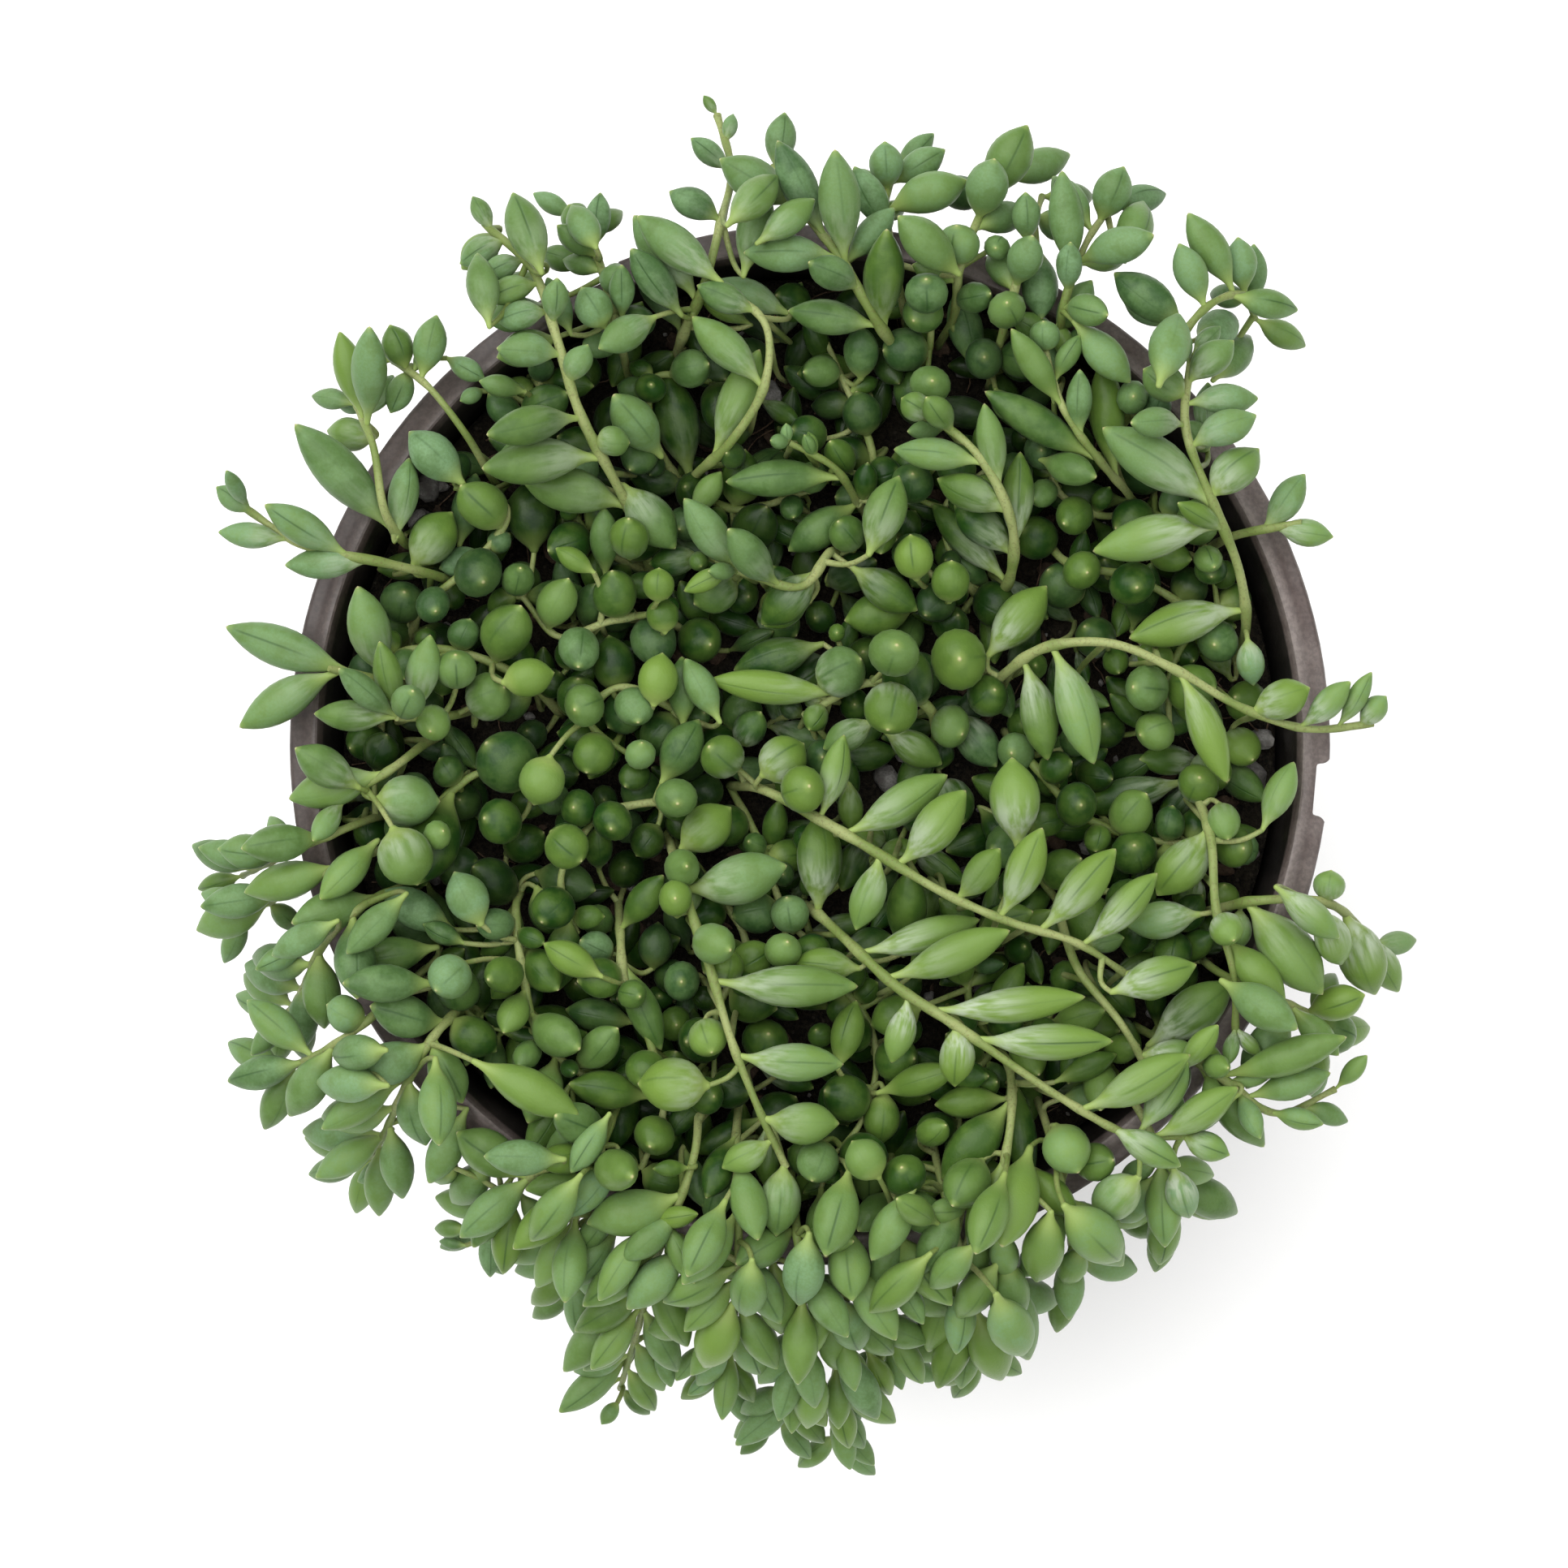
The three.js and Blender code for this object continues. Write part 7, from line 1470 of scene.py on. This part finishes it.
# The leaves
# Succulent leaves full of water, each on a narrow stalk: slim spindles where the shoots trail, drops
# and round peas on the soil. A clear slit lets light in along the top of each, and it ends in a point.
LEAF_SIZE = 10
# How much wider a leaf of six or eight sides is drawn, since it shrinks when it is rounded.
LEAF_PUFF = {6: 1.17, 8: 1.1}
# For each plumpness, the half breadth at shares of the length.
LEAF_FORMS = {
    0.4: [(0, 0.085), (0.1, 0.075), (0.19, 0.16), (0.32, 0.37), (0.5, 0.5), (0.68, 0.47), (0.84, 0.32),
          (0.95, 0.11)],
    0.52: [(0, 0.08), (0.09, 0.075), (0.18, 0.19), (0.32, 0.4), (0.51, 0.5), (0.7, 0.47), (0.86, 0.29),
           (0.96, 0.08)],
    0.66: [(0, 0.075), (0.08, 0.08), (0.16, 0.24), (0.31, 0.43), (0.52, 0.5), (0.72, 0.45), (0.88, 0.25),
           (0.965, 0.06)],
    0.78: [(0, 0.07), (0.08, 0.08), (0.15, 0.28), (0.3, 0.45), (0.52, 0.5), (0.74, 0.44), (0.9, 0.23),
           (0.97, 0.055)],
    0.92: [(0, 0.06), (0.08, 0.07), (0.14, 0.28), (0.3, 0.45), (0.54, 0.5), (0.77, 0.44), (0.92, 0.22),
           (0.975, 0.04)],
}
# How far a leaf bows to its side and up, as shares of its length.
LEAF_BOWS = [(0, 0.07), (0.08, 0.03), (-0.08, 0.03), (0, -0.07), (0, 0)]


def bow_at(share):
    """How far a bowed leaf is off its straight line, most of all a third of the way up."""
    return 6.75 * share * max(0, 1 - share) ** 2


def make_leaf(name, form, bow, sides):
    """A leaf that stands on its stalk, drawn up ring by ring to its tip, and bowed to one side."""
    bpy.ops.object.select_all(action="DESELECT")
    puff = LEAF_SIZE * LEAF_PUFF[sides] * MM
    bpy.ops.mesh.primitive_circle_add(vertices=sides, radius=form[0][1] * puff, fill_type="NGON",
                                      rotation=(0, 0, 0.5 * math.pi))
    leaf = bpy.context.active_object
    leaf.name = name
    settle(leaf)
    open_mesh()
    for (share, breadth), (next_share, next_breadth) in zip(form, form[1:] + [(1.02, None)]):
        lean = (bow_at(next_share) - bow_at(share)) * LEAF_SIZE * MM
        lift = {"value": (bow[0] * lean, bow[1] * lean, (next_share - share) * LEAF_SIZE * MM)}
        bpy.ops.mesh.extrude_region_move(TRANSFORM_OT_translate=lift)
        if next_breadth is None:
            bpy.ops.mesh.merge(type="CENTER")
            continue
        spot = bow_at(next_share) * LEAF_SIZE * MM
        grow = next_breadth / breadth
        bpy.ops.transform.resize(value=(grow, grow, 1), center_override=(bow[0] * spot, bow[1] * spot, 0))
    close_mesh()
    bpy.ops.object.shade_smooth()
    spots = np.zeros(len(leaf.data.vertices) * 3)
    leaf.data.vertices.foreach_get("co", spots)
    spots = spots.reshape(-1, 3) / (LEAF_SIZE * MM)
    along = np.clip(spots[:, 2], 0, 1)
    rounded = 6.75 * along * (1 - along) ** 2
    across, upper = spots[:, 0] - bow[0] * rounded, spots[:, 1] - bow[1] * rounded
    marks = np.stack([across * 2, upper * 2, along], axis=1)
    leaf.data.attributes.new("leaf_place", "FLOAT_VECTOR", "POINT").data.foreach_set(
        "vector", marks.astype(np.float32).ravel())
    leaf.data.attributes.new("leaf_kind", "FLOAT_VECTOR", "POINT")
    leaf.data.attributes.new("leaf_slit", "FLOAT", "POINT")
    return leaf


leaf_masters = {}
for sides in (8, 6):
    for plump, form in LEAF_FORMS.items():
        leaf_masters[sides, plump] = [make_leaf("leaf", form, bow, sides) for bow in LEAF_BOWS]


def copy_leaf(base, tip, width, sides, kind, stem_way):
    """A copy of the master nearest in plumpness, from base to tip, bowed out from the way of its stem."""
    way = tip - base
    length = np.linalg.norm(way)
    way = way / length
    plump = min(LEAF_FORMS, key=lambda form: abs(form - width / length))
    up = np.array([0, 0, 1]) - way * way[2]
    if np.linalg.norm(up) < 0.05:
        up = np.array([1, 0, 0]) - way * way[0]
    up /= np.linalg.norm(up)
    side = np.cross(up, way)
    roll = chance.normal(0, 0.22)
    up, side = up * math.cos(roll) + side * math.sin(roll), side * math.cos(roll) - up * math.sin(roll)
    bent = [abs(stem_way.dot(way)) * 0.5 if bow == (0, 0) else stem_way.dot(side * bow[0] + up * bow[1]) * 12
            for bow in LEAF_BOWS]
    master = leaf_masters[sides, plump][int(np.argmax(bent))]
    made = master.copy()
    made.data = master.data.copy()
    grown = np.stack([side * width, up * width * 0.9, way * length, base * LEAF_SIZE], axis=1) / LEAF_SIZE
    matrix = Matrix([[*row] for row in grown] + [[0, 0, 0, 1]])
    matrix.translation = Vector(base) * MM
    made.data.transform(matrix)
    count = len(made.data.vertices)
    made.data.attributes["leaf_kind"].data.foreach_set("vector", np.tile(kind[:3], count).astype(np.float32))
    made.data.attributes["leaf_slit"].data.foreach_set("value", np.full(count, kind[3], np.float32))
    bpy.context.collection.objects.link(made)
    return made


def runs_over(stem):
    """Whether a stem lies over the mass of leaves, with leaves that are all listed."""
    return stem["habit"][0] >= 0.9


def leaf_kind(stem, base, tip, look=0):
    """How fresh and how bloomy a leaf is, how much painted silver sheen it has, and how dark its slit.

    What hangs outside the pot has more bloom; what lies deep under others gets painted shade, darker and with
    less bloom; and what lies toward the lower right of the plan view is lighter and has more painted sheen.
    """
    outside = min(1, max(0, (math.hypot(tip[0], tip[1]) - 62) / 16))
    away = balls[:ball_count, :3] - (base + tip) / 2
    above = away[:, 2] > 2
    far = np.linalg.norm(away[above], axis=1)
    roof = (balls[:ball_count, 3][above] ** 2 * away[above, 2] / np.maximum(far, 2) ** 3).sum()
    # Painted shade: the more the leaves above cover this one, the darker its tone and the less its bloom.
    painted_shade_amount = (1 - math.exp(-0.6 * roof)) * (1 - 0.7 * outside)
    over = 1 if runs_over(stem) else 0
    southeast = min(1, max(0, (tip[0] - tip[1] + 20) / 90))
    at_back = min(1, max(0, (tip[1] - 30) / 40))
    tone = 0.54 + 0.3 * over * southeast + 0.14 * southeast - 0.14 * at_back + chance.normal(0, 0.2)
    tone = np.clip(tone + 0.8 * max(0, look) - 0.85 * painted_shade_amount ** 2, -0.8, 0.92)
    bloom = 0.12 + 0.34 * outside + 0.16 * (1 - southeast) + chance.normal(0, 0.19)
    bloom = np.clip(bloom + 0.9 * max(0, -look) - 0.4 * max(0, look) - 0.3 * painted_shade_amount, 0, 1)
    # Painted sheen: a silver reflection painted on the leaves of the runners that lie over the mass,
    # strongest toward the lower right.
    painted_sheen_amount = np.clip(over * (0.5 + 0.5 * southeast) * chance.uniform(0.2, 1.1), 0, 1)
    slit = max(0.02, 0.7 * chance.uniform(-0.5, 1))
    return [tone, bloom, painted_sheen_amount, slit]


LEAF_DEEP = (0.014, 0.05, 0.006)
LEAF_FRESH = (0.142, 0.232, 0.04)
LEAF_BLOOM = (0.142, 0.247, 0.118)
LEAF_FOOT = (0.25, 0.33, 0.09)
# The next colour is a painted silver sheen, a painted reflection on the runners' leaves.
LEAF_PAINTED_SHEEN = (0.33, 0.39, 0.28)
LEAF_SLIT = (0.019, 0.054, 0.012)
LEAF_TIP = (0.397, 0.384, 0.179)
# The next colour is painted shade, multiplied into the leaves that lie deep under others.
LEAF_SHADE = (0.12, 0.16, 0.1)


def paint_leaf():
    """Waxy green skin: pale at the foot, dull with bloom, dark along the slit, with a yellow point, a painted
    silver sheen and painted shade.
    """
    material, tree, surface = start_material(
        "leaf_skin", Specular_IOR_Level=0.2, Subsurface_Weight=0.06, Subsurface_Scale=0.002,
        Sheen_Weight=0.02, Sheen_Roughness=0.45)
    surface.inputs["Subsurface Radius"].default_value = (0.6, 1.0, 0.3)
    mottle = place_mottle(tree, 240, 2400)
    kinds = add_node(tree, "ShaderNodeSeparateXYZ")
    spots = add_node(tree, "ShaderNodeSeparateXYZ")
    slit = add_node(tree, "ShaderNodeAttribute", attribute_name="leaf_slit").outputs["Fac"]
    place_on_leaf = add_node(tree, "ShaderNodeAttribute", attribute_name="leaf_place").outputs["Vector"]
    join_up(tree, (add_node(tree, "ShaderNodeAttribute", attribute_name="leaf_kind").outputs["Vector"],
                   kinds.inputs[0]), (place_on_leaf, spots.inputs[0]))
    tone, bloom, painted_sheen_amount = kinds.outputs
    across, upper, along = spots.outputs
    green = blend_colours(tree, tone, LEAF_DEEP, LEAF_FRESH)
    green = blend_colours(tree, product(tree, mottle["Blotches"], 0.3), green, LEAF_FRESH)
    wax = product(tree, bloom, spread(tree, mottle["Blotches"], 0.0, 0.8, 0.55, 1.0))
    wax = product(tree, wax, spread(tree, mottle["Grains"], 0.0, 1.0, 0.75, 1.0))
    colour = blend_colours(tree, wax, green, LEAF_BLOOM)
    colour = blend_colours(tree, spread(tree, along, 0.04, 0.36, 0.9, 0.0), colour, LEAF_FOOT)
    streaks = add_node(tree, "ShaderNodeTexNoise", inputs={"Scale": 1.0, "Detail": 3.0})
    drawn_out = add_node(tree, "ShaderNodeMapping", inputs={"Scale": (3.2, 2, 1.6)})
    object_place = add_node(tree, "ShaderNodeTexCoord").outputs["Object"]
    shifted = add_node(tree, "ShaderNodeVectorMath", operation="MULTIPLY_ADD")
    shifted.inputs[1].default_value = (60, 60, 60)
    join_up(tree, (object_place, shifted.inputs[0]), (place_on_leaf, drawn_out.inputs["Vector"]),
            (drawn_out.outputs["Vector"], shifted.inputs[2]), (shifted.outputs[0], streaks.inputs["Vector"]))
    # Painted sheen: a silver patch in streaks, from near the foot to past the middle of the runners' leaves.
    painted_sheen_patch = product(tree, spread(tree, along, 0.3, 0.72, 1.0, 0.0),
                    spread(tree, streaks.outputs["Fac"], 0.3, 0.68))
    painted_sheen_patch = product(tree, product(tree, painted_sheen_patch, painted_sheen_amount), spread(tree, along, 0.06, 0.2, 0.0, 1.0))
    colour = blend_colours(tree, painted_sheen_patch, colour, LEAF_PAINTED_SHEEN)
    off_line = work_out(tree, "ABSOLUTE", across, 0)
    line = product(tree, spread(tree, off_line, 0.0, 0.09, 1.0, 0.0), spread(tree, upper, 0.0, 0.2, 0.0, 1.0))
    line = product(tree, line, spread(tree, along, 0.25, 0.6))
    line = product(tree, line, spread(tree, along, 0.86, 0.95, 1.0, 0.0))
    halo = product(tree, spread(tree, off_line, 0.0, 0.45, 0.35, 0.0), spread(tree, upper, 0.0, 0.3))
    halo = product(tree, halo, spread(tree, along, 0.3, 0.5))
    colour = blend_colours(tree, product(tree, halo, slit), colour, LEAF_DEEP)
    line = product(tree, line, slit)
    colour = blend_colours(tree, line, colour, LEAF_SLIT)
    glow = spread(tree, along, 0.93, 0.985, 0.0, 0.4)
    colour = blend_colours(tree, glow, colour, LEAF_FOOT)
    colour = blend_colours(tree, spread(tree, along, 0.975, 0.995), colour, LEAF_TIP)
    # Painted shade: a leaf whose tone is pushed below zero under others is darkened further.
    painted_shade_darkening = spread(tree, tone, -0.6, 0.15, 0.75, 0.0)
    colour = blend_colours(tree, painted_shade_darkening, colour, LEAF_SHADE, "MULTIPLY")
    join_up(tree, (colour, surface.inputs["Base Color"]),
            (spread(tree, wax, 0.0, 0.9, 0.36, 0.56), surface.inputs["Roughness"]))
    height = work_out(tree, "SUBTRACT", product(tree, mottle["Grains"], 0.12), line)
    add_bump(tree, surface, height, 0.5, 0.00018)
    return material


STEM_PALE = (0.256, 0.294, 0.112)
STEM_GREEN = (0.134, 0.189, 0.045)
STEM_BROWN = (0.102, 0.077, 0.032)


def paint_stem():
    """Pale yellow green bark, smooth, with darker stretches and a few brown flecks."""
    material, tree, surface = start_material(
        "stem_skin", Specular_IOR_Level=0.24, Roughness=0.55, Subsurface_Weight=0.08, Subsurface_Scale=0.001)
    mottle = place_mottle(tree, 90, 2600)
    colour = blend_colours(tree, mottle["Blotches"], STEM_PALE, STEM_GREEN)
    flecks = product(tree, spread(tree, mottle["Grains"], 0.8, 1.0), 0.35)
    join_up(tree, (blend_colours(tree, flecks, colour, STEM_BROWN), surface.inputs["Base Color"]))
    add_bump(tree, surface, mottle["Height"], 0.4, 0.00012)
    return material


leaf_skin = paint_leaf()
stem_skin = paint_stem()
for masters in leaf_masters.values():
    for master in masters:
        master.data.materials.append(leaf_skin)

# The shoots
# The stems as tubes that thicken where a leaf leaves them and thin out toward their end, with the leaves
# along them, and with the peas and small leaves that hang on stalks between.
RUNNER_THICKNESS = 0.88
SPRIG_THICKNESS = 0.74
FORK_SHARE = 0.9
STEM_SIDES = 6
WIDE_LEAF = 5.4
STALK_RADII = [0.62, 0.55, 0.5, 0.48, 0.45]


def grow_shoot(stem):
    """The tube of a stem or fork, with its leaves, and the peas on stalks that hang from it."""
    corners = stem["corners"][1:]
    line = curve_through(corners[0] * 2 - corners[1], corners, 6)
    thick = RUNNER_THICKNESS if runs_over(stem) else SPRIG_THICKNESS
    if stem["forks"]:
        thick *= FORK_SHARE
    borne = np.array([leaf[0] for leaf in stem["leaves"]] or [9.0])
    radii = []
    for i in range(len(line)):
        share = i / (len(line) - 1)
        near = np.abs(borne - share).min() * (len(line) - 1)
        radii.append(thick * (1 - 0.38 * share ** 1.5) * (1 + 0.42 * math.exp(-2 * near * near)))
    points = list(line) if stem["forks"] else [stem["corners"][0], *line]
    tubes = [make_tube(points, radii if stem["forks"] else [thick, *radii], STEM_SIDES, "tube")]
    grown = []
    for number, (share, base, way, length, width) in enumerate(stem["leaves"]):
        tip = base + way * length
        start = on_line(line, share)
        sides = 8 if number < stem["large"] else 6
        kind = leaf_kind(stem, start, tip)
        grown.append(copy_leaf(start, tip, width, sides, kind, along_stem(stem, share)[1]))
    for share, start, way, length, width, look in stem["fillers"]:
        tip = start + way * length
        sides = 8 if width > WIDE_LEAF else 6
        grown.append(copy_leaf(start, tip, width, sides, leaf_kind(stem, start, tip, look), way))
        root = on_line(line, share)
        rise = np.array([0, 0, 0.12 * np.linalg.norm(start - root)])
        bend = (root + start) / 2 - way * 0.8 - rise
        stalk = [root, (root + bend) / 2, bend, (bend + start) / 2 - way * 0.3, start + way * 0.5]
        tubes.append(make_tube(stalk, STALK_RADII, STEM_SIDES, "stalk"))
    for tube in tubes:
        tube.data.materials.append(stem_skin)
    return tubes + grown


for name in owners[1:]:
    parts = [part for stem in stems if stem["name"] == name for part in grow_shoot(stem)]
    shoots = join_pieces(parts, name.replace("stem_", "shoots_"))
    smooth = shoots.modifiers.new("round", "SUBSURF")
    smooth.levels = 1
    smooth.render_levels = 1
    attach(shoots, "root")
    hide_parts(name)
for masters in leaf_masters.values():
    for master in masters:
        bpy.data.objects.remove(master)


# The studio
# A pale tabletop, a broad soft light overhead with a key from the upper left and a weak fill from the
# lower right, and the camera that looks straight down.
FLOOR_WHITE = (0.96, 0.96, 0.955)
FLOOR_GREY = (0.94, 0.94, 0.935)
CAMERA_PLACE = (-0.00373, -0.0056, 1.015)
CAMERA_LENS = 143.8

bpy.ops.object.select_all(action="DESELECT")
bpy.ops.mesh.primitive_plane_add(size=6)
table = bpy.context.active_object
table.name = "table"
paper, paper_tree, paper_surface = start_material("table_paper", Roughness=0.8, Specular_IOR_Level=0.2)
paper_mottle = place_mottle(paper_tree, 6, 700)
join_up(paper_tree, (blend_colours(paper_tree, paper_mottle["Blotches"], FLOOR_WHITE, FLOOR_GREY),
                     paper_surface.inputs["Base Color"]))
table.data.materials.append(paper)


def add_lamp(name, toward, breadth, power):
    """A broad soft light from a direction, its breadth in degrees."""
    bpy.ops.object.light_add(type="SUN", location=Vector(toward))
    lamp = bpy.context.active_object
    lamp.name = name
    lamp.data.angle = math.radians(breadth)
    lamp.data.energy = power
    lamp.rotation_euler = Vector(toward).to_track_quat("Z", "Y").to_euler()
    return lamp


add_lamp("overhead_light", (0, 0, 1), 110, 2.3)
add_lamp("key_light", (-0.5, 0.55, 1), 75, 3.3)
add_lamp("fill_light", (0.7, -0.6, 0.9), 90, 0.8)
world = bpy.data.worlds.new("studio")
world.use_nodes = True
backdrop = world.node_tree.nodes["Background"]
backdrop.inputs["Color"].default_value = (1, 1, 1, 1)
backdrop.inputs["Strength"].default_value = 0.05
bpy.context.scene.world = world
bpy.context.scene.view_settings.view_transform = "Standard"

bpy.ops.object.camera_add(location=CAMERA_PLACE, rotation=(0, 0, 0))
camera = bpy.context.active_object
camera.data.lens = CAMERA_LENS
camera.data.sensor_width = 36
camera.data.clip_start = 0.01
bpy.context.scene.camera = camera
